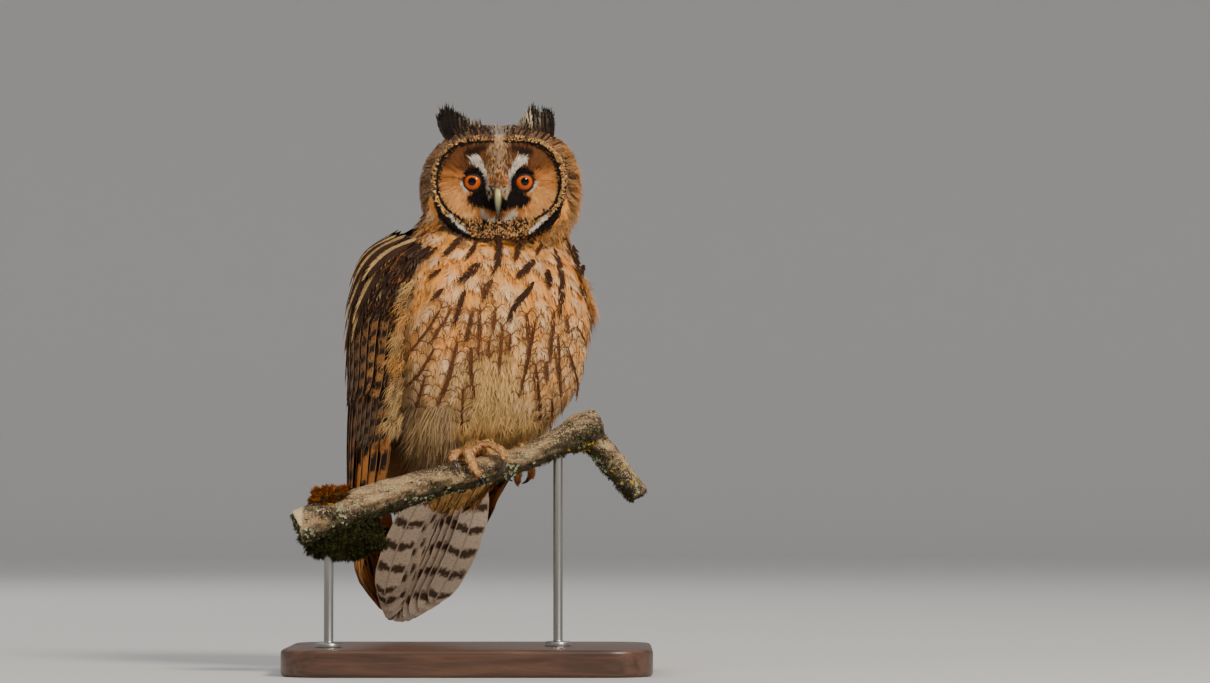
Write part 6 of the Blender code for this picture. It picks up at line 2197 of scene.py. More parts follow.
class OWL_OT_wings(bpy.types.Operator):
    """Flight feathers, coverts and scapulars of both folded wings"""

    bl_idname = "owl.wings"
    bl_label = "Wings"

    def execute(self, context):
        plumage = context.scene.owl_plumage
        finish = quill_finish("wing_quills")
        for rows, word, seed in ((RIGHT_WING, "right", 51), (LEFT_WING, "left", 61)):
            chance = np.random.default_rng(seed)
            self.quills(rows, word, plumage, chance, finish)
            self.coverts(rows, word, plumage, chance)
        return {"FINISHED"}

    def quills(self, rows, word, plumage, chance, finish):
        sheet = wing_sheet(rows)
        dark, rufous, grey = colours(plumage, "dark", "rufous", "grey")
        orange = colour_of(plumage.orange)
        count = [0]

        def look(ground, mark, base, duty, speck, bars):
            count[0] += 1
            place = np.array([[0.04 + 0.012 * (count[0] % 76), 0.03 + 0.03 * (count[0] // 76)]])
            held = looks_of(varied(ground, chance, 1, 0.08), mark, base, duty, speck, bars / 20, place)
            held["Patch"] = np.array([0.01])
            return held

        primary = lambda s: look(
            mix(orange * 0.85, rufous * 0.8, 0.2 + 0.7 * s), dark * 0.6, mix(rufous, orange, 0.4), 0.46,
            0.25, 4.6,
        )
        secondary = lambda s: look(
            mix(rufous * 0.62, grey * 0.55, s), dark * 0.85, mix(dark * 1.8, grey, 0.35), 0.44, 0.8, 9.0
        )
        tertial = lambda s: look(grey * 1.05, dark * 1.2, grey * 1.5, 0.26, 0.75, 8)
        greater = lambda s: look(
            mix(orange * 0.7, grey * 0.7, min(1, 0.2 + 2.2 * s)), dark * 0.9,
            mix(dark * 2.2, orange * 0.7, 0.4), 0.45, 0.85, 6,
        )
        far = 0.19
        feathers = [
            *tier(
                10, ((0.47, 0.05), (0.47, 0.6)), ((0.97, 0.10), (0.925, 0.88)), 0.05, (7.4, 8.6), -2.2, 7,
                far, 0.22, primary, chance, tip_lift=-0.4,
            ),
            *tier(
                14, ((0.31, 0.26), (0.31, 0.9)), ((0.80, 0.36), (0.70, 0.96)), 0.03, (6.4, 7.4), 0.3, 6, far,
                0.26, secondary, chance, 0.012,
            ),
            *tier(
                4, ((0.21, 0.72), (0.21, 0.95)), ((0.64, 0.72), (0.60, 0.95)), 0.0, (8.5, 9), 2.2, 5, far,
                0.2, tertial, chance, 0.012,
            ),
            *tier(
                7, ((0.35, 0.04), (0.35, 0.26)), ((0.60, 0.06), (0.60, 0.3)), 0.0, (6.0, 6.6), 0.4, 6, far,
                0.2, greater, chance, 0.014,
            ),
            *tier(
                13, ((0.19, 0.06), (0.19, 0.8)), ((0.46, 0.10), (0.43, 0.84)), 0.02, (6.8, 7.4), 2.0, 5, far,
                0.2, greater, chance, 0.014,
            ),
        ]
        plumage_piece(f"wing_{word}_quills", plates(sheet, feathers, chance), finish, [f"wing_{word}"])

    def coverts(self, rows, word, plumage, chance):
        """Smaller feathers in rows from the shoulder down, and pale-edged scapulars over them."""
        sheet = wing_sheet(rows)
        dark, rufous, grey = colours(plumage, "dark", "rufous", "grey")
        cream, orange = colours(plumage, "cream", "orange")
        roots, tips, order = [], [], []
        for k, along in enumerate(np.linspace(0.0, 0.36, 13)):
            many = 21
            for i in range(many):
                across = (i + (0.5 if k % 2 else 0)) / many * 0.98 + chance.uniform(-0.014, 0.014)
                start = along + chance.uniform(-0.012, 0.012)
                roots.append((max(start, 0), across))
                tips.append((start + 0.085 + 0.04 * k / 12 + chance.uniform(-0.012, 0.012), across + 0.012))
                order.append(k / 12)
        roots, tips, order = np.array(roots), np.array(tips), np.array(order)
        many = len(roots)
        walked = sheet_walk(sheet, roots, tips)
        draw = chance.random(many)
        vane = mix(dark * 2.0, grey * 0.9, chance.random(many))
        vane = mix(vane, mix(rufous, orange, 0.3) * 0.8, (draw < 0.3) * 0.6)
        vane = mix(vane, mix(cream, grey, 0.4), (draw > 0.9) * 0.6)
        place = np.stack([0.05 + 0.9 * roots[:, 1], 0.1 + 1.2 * roots[:, 0]], -1)
        looks = looks_of(varied(vane, chance, many), dark * 0.75, dark * 1.1, 0.28, 0.5, 4 / 20, place)
        small = barbed(walked, 4.4 + 2.6 * order, looks, chance, 8, 0.28, 0.6, (-0.6, 3.0), 0.2, fuzz=10)
        roots, tips = [], []
        for start, end, many, low, high, drift in (
            (0.0, 0.15, 8, 0.10, 0.93, 0.13),
            (0.03, 0.23, 9, 0.14, 0.94, 0.12),
            (0.08, 0.32, 8, 0.17, 0.94, 0.10),
            (0.15, 0.42, 5, 0.45, 0.94, 0.05),
        ):
            for i in range(many):
                share = i / (many - 1)
                across = low + (high - low) * share + chance.uniform(-0.015, 0.015)
                shift = drift * (1 - 1.4 * share)
                roots.append((start + 0.01 * chance.random(), across))
                tips.append((end + chance.uniform(-0.02, 0.02), min(across + shift, 0.97)))
        roots, tips = np.array(roots), np.array(tips)
        many = len(roots)
        walked = sheet_walk(sheet, roots, tips, 8)
        place = np.stack([0.05 + 0.9 * roots[:, 1], 0.55 + 0.8 * roots[:, 0]], -1)
        vane = varied(mix(cream, mix(grey, orange, 0.5), chance.random(many) * 0.45), chance, many, 0.08)
        looks = looks_of(vane, dark * 1.2, mix(vane, dark, 0.4), 0.44, 0.0, 3 / 20, place)
        over = 1.6 * roots[:, 1] + 1.2 * (0.15 - roots[:, 0]) / 0.15
        large = barbed(walked, 6.8, looks, chance, 14, 0.2, 0.35, (0.8 + over, 4.6 + over), 0.2)
        way = 0.42 if rows is RIGHT_WING else -0.42
        large["uv"][:, 0] += way
        plumage_piece(f"wing_{word}_coverts", [small, large], plumage_finish(f"coverts_{word}", 0.78, 0.6))


class OWL_OT_tail(bpy.types.Operator):
    """Twelve barred tail feathers and the coverts round their roots"""

    bl_idname = "owl.tail"
    bl_label = "Tail"

    def execute(self, context):
        plumage = context.scene.owl_plumage
        chance = np.random.default_rng(71)
        dark, grey, orange = colours(plumage, "dark", "grey", "orange")
        pale = np.array(paint(236, 214, 190))
        feathers = []
        for side in (-1, 1):
            for i, end in enumerate(TAIL_FEATHER_ENDS):
                place = np.array([[0.05 + 0.05 * i, 0.9 + 0.03 * side]])
                top = looks_of(
                    mix(grey, orange, 0.35), dark, mix(grey, orange, 0.5), 0.4, 0.5, 7 / 20, place
                )
                low = looks_of(
                    pale, mix(dark * 1.3, grey, 0.35), pale * 1.1, 0.34, 0.25, 6 / 20, place + 0.3
                )
                top["Patch"] = low["Patch"] = np.array([0.02])
                aside = (i + 0.5) * 4.3 * side
                middle = 11.5 if i == 0 else min(11.5, abs(aside) - 0.5)
                half = (11.5, middle) if side < 0 else (middle, 11.5)
                high = (3 - i) * 1.3 + (1.3 if i == 0 and side > 0 else 0)
                feathers.append(
                    {
                        "root": (24, aside), "tip": (end, aside), "half": half, "height": high,
                        "sunk": -high * 0.8, "ramp": 0.2, "roll": 0, "looks": top, "under": low, "step": 1.0,
                        "cup": 0.5,
                    }
                )
        made = plates(tail_sheet, feathers, chance, 24)
        plumage_piece("tail_quills", made, quill_finish("tail_quills"), ["tail"])
        ground = ground_of("owl_skin")
        turn = np.linspace(0, 2 * np.pi, 27)[:-1]
        roots, fan = [], []
        for k, (along, wide, deep) in enumerate(TAIL_COVERT_RINGS):
            shift = 0.12 if k % 2 else 0
            roots.append(on_tail(along, wide * np.cos(turn + shift), deep * np.sin(turn + shift)))
            fan.append(turn + shift)
        roots, fan = np.concatenate(roots), np.concatenate(fan)
        hits, index, kept = open_air(ground, roots, on_tail(8, 0, 0), 14)
        roots, fan, index = hits[kept], fan[kept], index[kept]
        many = len(roots)
        above = np.sin(fan) > 0.1
        aims = TAIL_ALONG + TAIL_ACROSS * (np.cos(fan) * 0.1)[:, None] + chance.normal(0, 0.05, (many, 3))
        walked = walk(
            ground, roots, aims, np.where(above, 30.0, 34.0) * chance.uniform(0.85, 1.15, many), 0.5, 6
        )
        vane = np.where(above[:, None], mix(grey, orange, 0.3), mix(colour_of(plumage.cream), orange, 0.3))
        looks = looks_of(
            varied(vane, chance, many), dark, vane * 0.9, np.where(above, 0.3, 0.05),
            np.where(above, 0.7, 0.0), 5 / 20, ground.uv[index],
        )
        made = barbed(walked, 7.5, looks, chance, 11, 0.26, 0.9, (0.3, 3.0), 0.2)
        plumage_piece("tail_coverts", [made], plumage_finish("tail_coverts", mottle=0.3))
        return {"FINISHED"}


# Each feather of the ear tufts: where it starts, where it ends, and how pale it is, on x and z
TUFTS = {
    "right": (
        (-13.5, 357, -20.0, 374.5, 0.0),
        (-11.5, 356, -18.6, 378.6, 0.0),
        (-9.0, 356, -15.8, 380.0, 0.0),
        (-6.5, 356, -12.6, 378.6, 0.0),
        (-4.0, 357, -9.6, 375.8, 0.05),
        (-2.0, 358, -6.2, 373.4, 0.15),
        (0.0, 359, -3.0, 371.0, 0.1),
        (1.5, 360, -0.6, 369.4, 0.6),
        (3.2, 360, 2.0, 366.0, 0.1),
        (5.0, 360, 4.4, 364.0, 0.35),
    ),
    "left": (
        (53.5, 357, 54.2, 374.0, 0.0),
        (51.5, 357, 52.6, 377.6, 0.0),
        (49.8, 356, 50.4, 378.6, 0.0),
        (47.6, 356, 47.8, 375.0, 0.35),
        (45.6, 356, 45.4, 374.6, 0.2),
        (43.6, 356, 43.8, 378.8, 0.0),
        (41.6, 357, 41.8, 379.8, 0.1),
        (39.6, 358, 39.2, 376.4, 0.85),
        (37.6, 359, 36.9, 371.4, 0.7),
        (36.0, 359, 34.8, 367.4, 0.45),
        (34.6, 360, 33.2, 364.0, 0.2),
    ),
}


class OWL_OT_ear_tufts(bpy.types.Operator):
    """The two ear tufts: dark feathers with a pale fringe on the inner side"""

    bl_idname = "owl.ear_tufts"
    bl_label = "Ear tufts"

    def execute(self, context):
        plumage, face = context.scene.owl_plumage, context.scene.owl_face
        chance = np.random.default_rng(81)
        ground = ground_of("owl_skin")
        dark, pale = colour_of(face.black) * 2.0, mix(colour_of(plumage.cream), colour_of(face.white), 0.5)
        for word, feathers in TUFTS.items():
            rows = np.array([(*f, deep) for deep in (-3.6, -1.8, 0.0, 1.8, 3.6) for f in feathers], float)
            many = len(rows)
            shade = 1 - 0.03 * np.abs(rows[:, 5:6]) * chance.uniform(0.5, 1.5, (many, 1))
            starts = np.stack([rows[:, 0], -14 + rows[:, 5], rows[:, 1] - 2], -1)
            ends = np.stack([rows[:, 2], -17 + rows[:, 5] * 0.4, rows[:, 3]], -1)
            ends = starts + (ends - starts) * shade * 0.95 + chance.normal(0, 0.4, (many, 3))
            share = np.linspace(0, 1, 7)[:, None, None]
            lean = unit(ends - starts)
            bow = np.cross(lean, (0, 1.0, 0)) * np.where(rows[:, :1] < 20, 1.2, -0.6)
            places = starts + (ends - starts) * share + np.sin(np.pi * share) * bow
            aims = unit(np.gradient(places, axis=0))
            out = np.broadcast_to(np.array((0.0, -1.0, 0.1)), aims.shape)
            outs = laid(out, aims)
            seen = np.where(rows[:, 5] > -1, 0.15, 1.0)
            fringe = np.clip(rows[:, 4] * seen + chance.normal(0, 0.05, many), 0, 1)
            vane = mix(dark, pale, fringe)
            place = ground.uv[ground.nearest(starts)[2]]
            looks = looks_of(
                varied(vane, chance, many, 0.18), dark * 0.7, mix(dark, pale, fringe * 0.7),
                0.3 - 0.15 * fringe, 0, 0, place,
            )
            walked = (places, np.cross(aims, outs), outs, None)
            full = ((0, 0.5), (0.3, 0.9), (0.7, 1.0), (0.93, 0.85), (1.04, 0.45), (1.15, 0.1))
            long = barbed(walked, 2.7, looks, chance, 10, 0.2, 0.7, (0, 0.7), 0.2, full, fuzz=10)
            low = 110
            middle = np.mean([f[0] for f in feathers])
            near = np.stack(
                [middle + chance.uniform(-12, 12, low), chance.uniform(-22, -6, low), np.full(low, 364.0)],
                -1,
            )
            spots, out, index = ground.nearest(near)
            inward = (spots[:, 0] - middle) * (1 if word == "right" else -1)
            colour = mix(
                mix(dark, colour_of(plumage.grey), 0.3), pale,
                (chance.random(low) < 0.3) * smooth(2, 9, inward) * 0.6,
            )
            base = looks_of(varied(colour, chance, low), colour, colour * 0.8, 0, 0, 0, ground.uv[index])
            aim = unit(UP + (0.25 * np.sign(middle - 20), 0, 0) + chance.normal(0, 0.15, (low, 3)))
            short = hairy(
                spots, aim, out, 7.0, base, chance, hairs=6, width=0.5, fan=0.4, lift=0.2, curl=0.0,
                spread=1.2,
            )
            plumage_piece(
                f"ear_tuft_{word}_feathers", [long, short], plumage_finish(f"ear_tuft_{word}"),
                [f"ear_tuft_{word}"],
            )
        return {"FINISHED"}


def scatter(piece, many, chance):
    """Points spread over a piece's surface by area, with their normals."""
    piece.data.calc_loop_triangles()
    index = np.zeros(len(piece.data.loop_triangles) * 3, np.int32)
    piece.data.loop_triangles.foreach_get("vertices", index)
    points, normals = points_of(piece), normals_of(piece)
    corners, outs = points[index.reshape(-1, 3)], normals[index.reshape(-1, 3)]
    at = by_area(area_of(corners), many, chance)
    return at(corners), unit(at(outs))


def rough_noise(points, scale, seed):
    shift = Vector((seed * 7.3, seed * 3.1, seed * 1.7))
    return np.array([noise.fractal(Vector(p) * scale + shift, 0.8, 2.1, 4) for p in points])


class OWL_OT_perch(bpy.types.Operator):
    """The cut branch with its bark, lichens, moss cushions and hanging moss"""

    bl_idname = "owl.perch"
    bl_label = "Perch"

    def execute(self, context):
        sizes = context.scene.owl_perch
        bark = self.bark(sizes)
        self.moss(sizes, bark)
        self.lichen(sizes, bark)
        return {"FINISHED"}

    def bark(self, sizes):
        bark = copies_joined("perch_bark", ["perch"], -0.25)
        apply_step(bark, "REMESH", mode="VOXEL", voxel_size=BARK_VOXEL * MM, adaptivity=0.0)
        pairs = edges_of(bark)
        points = relax(points_of(bark), pairs, 3)
        move_points(bark, points)
        out = unit(relax(normals_of(bark), pairs, 3))
        ahead = unit(np.array((190.0, 38.0, 62.0)))
        along = dot(points, ahead)[:, None] * ahead
        stretched = points - along * 0.7
        ridges = rough_noise(stretched, 0.22, 1)
        fine = rough_noise(points, 0.75, 2)
        cut = (
            smooth(-104, -109, points[:, 0]) + smooth(70, 76, points[:, 0]) * smooth(171, 175, points[:, 2])
        )
        push = (ridges * 0.55 + fine * 0.42) * (1 - 0.6 * np.clip(cut, 0, 1)) - 0.1
        move_points(bark, points + out * np.clip(push, -0.9, 0.75)[:, None])
        # Painted shade: the downward facing bark is marked here to be painted dark brown; the same mark
        # places the moss
        give(bark, "Under", smooth(0.25, -0.65, out[:, 2] + ridges * 0.35))
        give(
            bark, "Cut",
            smooth(
                -107.5, -110, points[:, 0] + fine * 0.5
            ) + smooth(0.0, 0.2, fine) * bump(points[:, 0] - 82, 9) * bump(points[:, 2] - 177, 6),
        )
        bark.data.materials.append(self.bark_finish(sizes))
        bark.data.shade_smooth()
        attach(bark, "root")
        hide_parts("perch")
        return bark

    def bark_finish(self, sizes):
        n = Nodes("bark", 0.88, Specular_IOR_Level=0.25)
        spot = n.where()
        turned = n.mapped(spot, (0.35, 1.0, 1.0), (0, 0.32, -0.2))
        under, cut = n.attribute("Under")["Fac"], n.attribute("Cut")["Fac"]
        broad = n.noise(turned, 90.0, 4.0, 0.6)
        fine = n.noise(spot, 900.0, 4.0, 0.7)
        light, dark = tuple(sizes.bark), tuple(sizes.bark_dark)
        body = n.blend(n.step(0.36, 0.66, broad), dark, light)
        body = n.blend(
            n.step(0.56, 0.68, n.noise(turned, 260.0, 3.0, 0.65)), body, tuple(c * 0.5 for c in dark)
        )
        body = n.blend(n.step(0.52, 0.66, fine), body, paint(206, 184, 146))
        body = n.blend(n.step(0.6, 0.7, n.noise(spot, 150.0, 3.0, 0.6)), body, tuple(sizes.lichen_grey))
        # Painted shade: the underside of the branch is painted dark brown, as shade under the lights. The
        # next line puts the moss there
        body = n.blend(n.times(under, 0.85), body, paint(46, 38, 26))
        body = n.blend(n.times(under, n.step(0.5, 0.62, n.noise(spot, 240.0, 3.0))), body, tuple(sizes.moss))
        wood = n.blend(n.noise(spot, 700.0, 3.0), paint(186, 152, 112), paint(222, 196, 158))
        body = n.blend(n.math("MULTIPLY", cut, 1.0, clamp=True), body, wood)
        n.raise_by(n.plus(n.times(broad, 0.8), n.times(fine, 0.5)), 0.8, 0.0012)
        return n.colour(body)

    def moss(self, sizes, bark):
        """Moss cushions from the solids, and fine shoots on them and under the branch."""
        chance = np.random.default_rng(91)
        base = copies_joined("moss_cushions", ["moss_above", "moss_below"], -0.8)
        apply_step(base, "REMESH", mode="VOXEL", voxel_size=MOSS_VOXEL * MM, adaptivity=0.0)
        points = points_of(base)
        lumps = rough_noise(points, 0.3, 5)
        move_points(
            base,
            points + unit(
                relax(normals_of(base), edges_of(base), 3)
            ) * np.clip(lumps * 1.4, -1.5, 1.0)[:, None],
        )
        n = Nodes("moss_ground", 0.95, Specular_IOR_Level=0.15)
        clumps = n.noise(n.where(), 260.0, 4.0, 0.7)
        body = n.blend(n.step(0.35, 0.7, clumps), paint(26, 22, 12), tuple(sizes.moss))
        n.raise_by(clumps, 1.0, 0.002)
        base.data.materials.append(n.colour(body))
        base.data.shade_smooth()
        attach(base, "root")
        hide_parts("moss_above", "moss_below")
        moss, rust = colours(sizes, "moss", "moss_rust")
        spots, out = scatter(base, 2600, chance)
        upper = smooth(103, 108, spots[:, 2] - (spots[:, 0] + 87) * 0.3)
        colour = mix(
            mix(moss * 0.7, moss * 1.5, chance.random(len(spots))),
            mix(rust, paint(172, 104, 34), chance.random(len(spots)) ** 2), upper,
        )
        aims = unit(out + UP * (upper * 1.2 - 0.7)[:, None] + chance.normal(0, 0.35, spots.shape))
        looks = looks_of(
            varied(colour, chance, len(spots), 0.2), colour, colour * 0.5, 0, 0, 0,
            np.full((len(spots), 2), 0.5) + chance.uniform(-0.45, 0.45, (len(spots), 2)),
        )
        shoots = [
            hairy(
                spots - out * 0.5, aims, unit(np.cross(aims, chance.normal(0, 1, aims.shape))), 3.6, looks,
                chance, hairs=6, width=0.6, fan=0.7, lift=0.5, curl=0.2, spread=0.7,
            )
        ]
        spots, out = scatter(bark, sizes.moss_tufts * 3, chance)
        patchy = rough_noise(spots, 0.09, 8)
        keep = (out[:, 2] < -0.1 + 0.25 * patchy) & (
            patchy + 0.35 * smooth(60, 100, spots[:, 0]) + 0.35 * smooth(-40, -90, spots[:, 0]) > 0.12
        )
        spots, out = spots[keep], out[keep]
        many = len(spots)
        colour = mix(
            moss * 0.8, mix(moss * 1.6, colour_of(sizes.lichen_grey), 0.5), chance.random(many) ** 2
        )
        looks = looks_of(
            varied(colour, chance, many, 0.2), colour, colour * 0.5, 0, 0, 0,
            chance.uniform(0.05, 0.95, (many, 2)),
        )
        aims = unit(out - UP * 0.6 + chance.normal(0, 0.4, spots.shape))
        shoots.append(
            hairy(
                spots - out * 0.3, aims, unit(np.cross(aims, chance.normal(0, 1, aims.shape))), 2.6, looks,
                chance, hairs=5, width=0.55, fan=0.8, lift=0.5, curl=0.2, spread=0.7,
            )
        )
        plumage_piece("moss_shoots", shoots, plumage_finish("moss_shoots", 0.9))

    def lichen(self, sizes, bark):
        """Leafy lobes in small rosettes, yellow ones below the broken end and grey green ones along it."""
        chance = np.random.default_rng(95)
        spots, out = scatter(bark, 5200, chance)
        x, z = spots[:, 0], spots[:, 2]
        patchy = rough_noise(spots, 0.07, 12)
        yellow = (
            bump(x - 75, 6) * bump(z - 145, 8) * (out[:, 2] < 0.3)
            + bump(x - 103, 7) * bump(patchy - 0.4, 0.2) * 0.35
        )
        yellow = yellow + bump(x + 92, 4) * bump(z - 117, 5) * 0.6
        grey = (
            smooth(0.18, 0.4, patchy) * smooth(0.35, -0.3, out[:, 2]) * 0.5
            + bump(x - 35, 22) * smooth(0.0, -0.5, out[:, 2]) * 0.35
        )
        grey = grey + bump(x + 25, 20) * smooth(-0.2, -0.7, out[:, 2]) * 0.4
        draw = chance.random(len(spots))
        is_yellow = draw < yellow * 0.7
        keep = is_yellow | (draw > 1 - grey * 0.6)
        spots, out, is_yellow = spots[keep], out[keep], is_yellow[keep]
        many = len(spots)
        colour = np.where(
            is_yellow[:, None], mix(colour_of(sizes.lichen), paint(220, 140, 30), chance.random(many) * 0.4),
            mix(colour_of(sizes.lichen_grey), paint(190, 192, 160), chance.random(many)),
        )
        lobes = 7
        turn = (2 * np.pi * np.arange(lobes) / lobes)[None] + chance.uniform(0, 6.3, (many, 1))
        first = unit(np.cross(out, chance.normal(0, 1, out.shape)))
        second = np.cross(out, first)
        radial = first[:, None] * np.cos(turn)[..., None] + second[:, None] * np.sin(turn)[..., None]
        reach = chance.uniform(0.7, 1.6, (many, lobes, 1))
        side = np.cross(np.broadcast_to(out[:, None], radial.shape), radial)
        middle = spots[:, None] + out[:, None] * 0.15
        near = middle + radial * reach * 0.55 + out[:, None] * 0.35
        points = np.stack([
            middle - side * 0.2, middle + side * 0.2, near - side * reach * 0.32, near + side * reach * 0.32,
            middle + radial * reach + out[:, None] * chance.uniform(0.2, 1.1, (many, lobes, 1)),
        ], 2).reshape(many, lobes * 5, 3)
        base = (np.arange(many * lobes) * 5).reshape(many, lobes)
        a, b, c, d, e = (base + k for k in range(5))
        u = np.zeros((many, lobes * 5))
        v = np.tile((0.1, 0.1, 0.6, 0.6, 1.0), (many, lobes)).reshape(many, -1)
        looks = looks_of(
            varied(colour, chance, many, 0.12), colour, colour * 0.7, 0, 0, 0,
            chance.uniform(0.05, 0.95, (many, 2)),
        )
        one = batch(
            points, [np.stack([a, b, d, c], -1)], [np.stack([c, d, e], -1)], u, v, np.ones(u.shape), looks
        )
        plumage_piece("lichen", [one], plumage_finish("lichen", 0.9))


class OWL_OT_stand(bpy.types.Operator):
    """The wooden base with softened edges, and two steel rods with collars"""

    bl_idname = "owl.stand"
    bl_label = "Stand"

    def execute(self, context):
        sizes = context.scene.owl_stand
        low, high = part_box("stand_base")
        deselect()
        bpy.ops.mesh.primitive_cube_add(size=1, location=(low + high) / 2)
        base = bpy.context.object
        base.name = "stand_board"
        base.scale = high - low
        bpy.ops.object.transform_apply(location=True, rotation=True, scale=True)
        bpy.ops.object.mode_set(mode="EDIT")
        bpy.ops.mesh.select_mode(type="EDGE")
        bpy.ops.mesh.select_all(action="DESELECT")
        mesh = bmesh.from_edit_mesh(base.data)
        for edge in mesh.edges:
            a, b = edge.verts
            edge.select_set(abs(a.co.z - b.co.z) > 0.001)
        bmesh.update_edit_mesh(base.data)
        bpy.ops.mesh.bevel(offset=BASE_CORNER * MM, segments=20, affect="EDGES")
        bpy.ops.object.mode_set(mode="OBJECT")
        apply_step(
            base, "BEVEL", width=sizes.edge * 0.95, segments=5, limit_method="ANGLE",
            angle_limit=math.radians(50),
        )
        base.data.shade_smooth()
        base.data.set_sharp_from_angle(angle=math.radians(35))
        base.data.materials.append(self.wood_finish(sizes))
        base.data.uv_layers[0].name = "OFBake"
        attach(base, "root")
        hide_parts("stand_base")
        metal = self.metal_finish(sizes)
        for word in ("left", "right"):
            self.rod(word, metal)
        return {"FINISHED"}

    def rod(self, word, metal):
        """A rod turned from a circle that is extruded up its length, with a rounded collar at its foot."""
        low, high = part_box(f"stand_rod_{word}")
        middle = (low + high) / 2
        deselect()
        bpy.ops.mesh.primitive_circle_add(
            vertices=48, radius=COLLAR_RADIUS * MM, fill_type="NGON", location=(middle.x, middle.y, low.z)
        )
        rod = bpy.context.object
        rod.name = f"stand_rod_{word}_steel"
        bpy.ops.object.mode_set(mode="EDIT")
        bpy.ops.mesh.select_all(action="SELECT")
        here = low.z
        radius = COLLAR_RADIUS
        for up, to in ROD_PROFILE:
            target = high.z - 0.0005 if up is None else low.z + up * MM
            bpy.ops.mesh.extrude_region_move(TRANSFORM_OT_translate={"value": (0, 0, target - here)})
            bpy.ops.transform.resize(
                value=(to / radius, to / radius, 1), center_override=(middle.x, middle.y, target)
            )
            here, radius = target, to
        bpy.ops.object.mode_set(mode="OBJECT")
        bpy.ops.object.transform_apply(location=True, rotation=True, scale=True)
        facing_out(rod)
        rod.data.shade_smooth()
        rod.data.set_sharp_from_angle(angle=math.radians(35))
        rod.data.materials.append(metal)
        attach(rod, "root")
        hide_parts(f"stand_rod_{word}")

    def wood_finish(self, sizes):
        n = Nodes("stained_wood", 0.42, Coat_Weight=0.3, Coat_Roughness=0.3)
        spot = n.where()
        grain = n.noise(n.mapped(spot, (1.2, 16, 16)), 11.0, 5.0, 0.6, 0.6)
        pores = n.noise(n.mapped(spot, (14, 260, 260)), 6.0, 2.0)
        wood = tuple(sizes.wood)
        body = n.blend(n.step(0.3, 0.7, grain), tuple(c * 0.55 for c in wood), tuple(c * 1.35 for c in wood))
        body = n.blend(n.times(n.step(0.6, 0.7, pores), 0.5), body, tuple(c * 0.4 for c in wood))
        n.raise_by(n.plus(grain, pores), 0.12, 0.0005)
        return n.colour(body)

    def metal_finish(self, sizes):
        n = Nodes("brushed_steel", 0.3, Metallic=1.0)
        lines = n.noise(n.mapped(n.where(), (60, 60, 900)), 8.0, 3.0)
        body = n.blend(
            lines, tuple(c * 0.8 for c in sizes.metal), tuple(min(c * 1.15, 1) for c in sizes.metal)
        )
        n.raise_by(lines, 0.08, 0.0003)
        return n.colour(body)


FRAME_WIDE, FRAME_TALL, FRAME_SCALE = 1210, 683, 0.67


def camera_place(studio):
    """Where the camera stands, and the way from what it looks at to it."""
    aim = Vector(((FRAME_WIDE / 2 - 470) * FRAME_SCALE, 0, (672 - FRAME_TALL / 2) * FRAME_SCALE)) * MM
    away = Vector((0, -math.cos(studio.elevation), math.sin(studio.elevation)))
    return aim + away * studio.distance, away


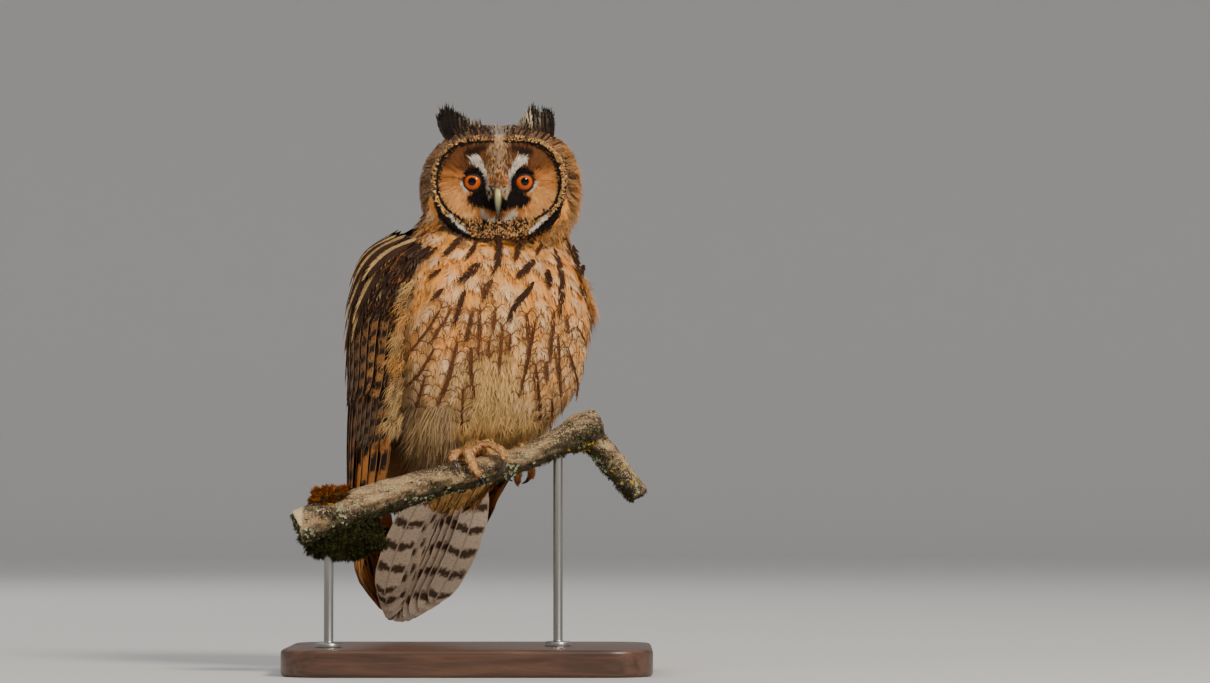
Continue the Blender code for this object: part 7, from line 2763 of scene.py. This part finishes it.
class OWL_OT_stage(bpy.types.Operator):
    """A pale round floor whose rim curves up, soft lights and the camera"""

    bl_idname = "owl.stage"
    bl_label = "Stage"

    def execute(self, context):
        studio = context.scene.owl_studio
        deselect()
        bpy.ops.mesh.primitive_circle_add(vertices=128, radius=6.0, fill_type="NGON", location=(0, 0, 0))
        floor = bpy.context.object
        floor.name = "studio_floor"
        bpy.ops.object.mode_set(mode="EDIT")
        bpy.ops.mesh.select_all(action="SELECT")
        bpy.ops.mesh.inset(thickness=0.001)
        bpy.ops.mesh.select_all(action="DESELECT")
        mesh = bmesh.from_edit_mesh(floor.data)
        for edge in mesh.edges:
            edge.select = edge.is_boundary
        bmesh.update_edit_mesh(floor.data)
        here, radius = 0.0, 6.0
        for k in range(1, 13):
            turn = math.pi / 2 * k / 12
            up, out = 2.0 * (1 - math.cos(turn)), 6.0 + 2.0 * math.sin(turn)
            bpy.ops.mesh.extrude_edges_move(TRANSFORM_OT_translate={"value": (0, 0, up - here)})
            bpy.ops.transform.resize(value=(out / radius, out / radius, 1), center_override=(0, 0, up))
            here, radius = up, out
        bpy.ops.mesh.extrude_edges_move(TRANSFORM_OT_translate={"value": (0, 0, 3.0)})
        bpy.ops.object.mode_set(mode="OBJECT")
        floor.data.shade_smooth()
        n = Nodes("studio_floor", 0.85, Specular_IOR_Level=0.2)
        paper = n.blend(
            n.noise(n.where(), 3.0, 3.0), tuple(c * 0.985 for c in studio.floor), tuple(studio.floor)
        )
        floor.data.materials.append(n.colour(paper))
        self.light("key", (1.7, -2.3, 2.4), 0.9, studio.key, (1.0, 0.92, 0.8))
        self.light("fill", (-2.6, -2.2, 1.1), 2.2, studio.fill, (0.95, 0.97, 1.0)).visible_glossy = False
        self.light(
            "back", (-1.2, 2.4, 2.0), 1.4, studio.fill * 0.9, (1.0, 0.97, 0.93)
        ).visible_glossy = False
        sky = bpy.data.worlds.new("studio")
        context.scene.world = sky
        sky.use_nodes = True
        sky.node_tree.nodes["Background"].inputs["Color"].default_value = (0.93, 0.95, 1.0, 1)
        sky.node_tree.nodes["Background"].inputs["Strength"].default_value = 0.6
        self.camera(studio)
        return {"FINISHED"}

    def light(self, name, place, size, power, colour):
        lamp = bpy.data.lights.new(name, "AREA")
        lamp.shape = "DISK"
        lamp.size = size
        lamp.energy = power
        lamp.color = colour
        made = bpy.data.objects.new(name, lamp)
        bpy.context.scene.collection.objects.link(made)
        made.location = place
        made.rotation_euler = (Vector((0, 0, 0.22)) - Vector(place)).to_track_quat("-Z", "Y").to_euler()
        return made

    def camera(self, studio):
        """Looks along +Y at the height and framing of the photograph."""
        place, away = camera_place(studio)
        lens = bpy.data.cameras.new("camera")
        lens.lens = 36 * studio.distance / (FRAME_WIDE * FRAME_SCALE * MM)
        lens.clip_end = 50
        made = bpy.data.objects.new("camera", lens)
        bpy.context.scene.collection.objects.link(made)
        made.location = place
        made.rotation_euler = (-away).to_track_quat("-Z", "Y").to_euler()
        bpy.context.scene.camera = made


class OWL_PT_panel(bpy.types.Panel):
    """Lists the owl's pieces in the order in which they are made"""

    bl_label = "Owl"
    bl_idname = "OWL_PT_panel"
    bl_space_type = "VIEW_3D"
    bl_region_type = "UI"
    bl_category = "Owl"

    def draw(self, context):
        for step in STEPS:
            self.layout.operator(step.bl_idname)
        for group in GROUPS:
            box = self.layout.box()
            box.label(text=group.__name__)
            held = getattr(context.scene, GROUPS[group])
            for key in group.__annotations__:
                box.prop(held, key)


GROUPS = {
    OwlPlumage: "owl_plumage", OwlFace: "owl_face", OwlEyes: "owl_eyes", OwlPerch: "owl_perch",
    OwlStand: "owl_stand", OwlStudio: "owl_studio",
}
STEPS = (
    OWL_OT_skin, OWL_OT_body_feathers, OWL_OT_head_feathers, OWL_OT_face, OWL_OT_eyes, OWL_OT_bill,
    OWL_OT_claws, OWL_OT_feet, OWL_OT_wings, OWL_OT_tail, OWL_OT_ear_tufts, OWL_OT_perch, OWL_OT_stand,
    OWL_OT_stage,
)


def register():
    for made in (*GROUPS, *STEPS, OWL_PT_panel):
        bpy.utils.register_class(made)
    for group, name in GROUPS.items():
        setattr(bpy.types.Scene, name, PointerProperty(type=group))


def unregister():
    for name in GROUPS.values():
        delattr(bpy.types.Scene, name)
    for made in reversed((*GROUPS, *STEPS, OWL_PT_panel)):
        bpy.utils.unregister_class(made)


def main():
    register()
    deselect()
    for step in STEPS:
        group, name = step.bl_idname.split(".")
        getattr(getattr(bpy.ops, group), name)()


if __name__ == "__main__":
    main()
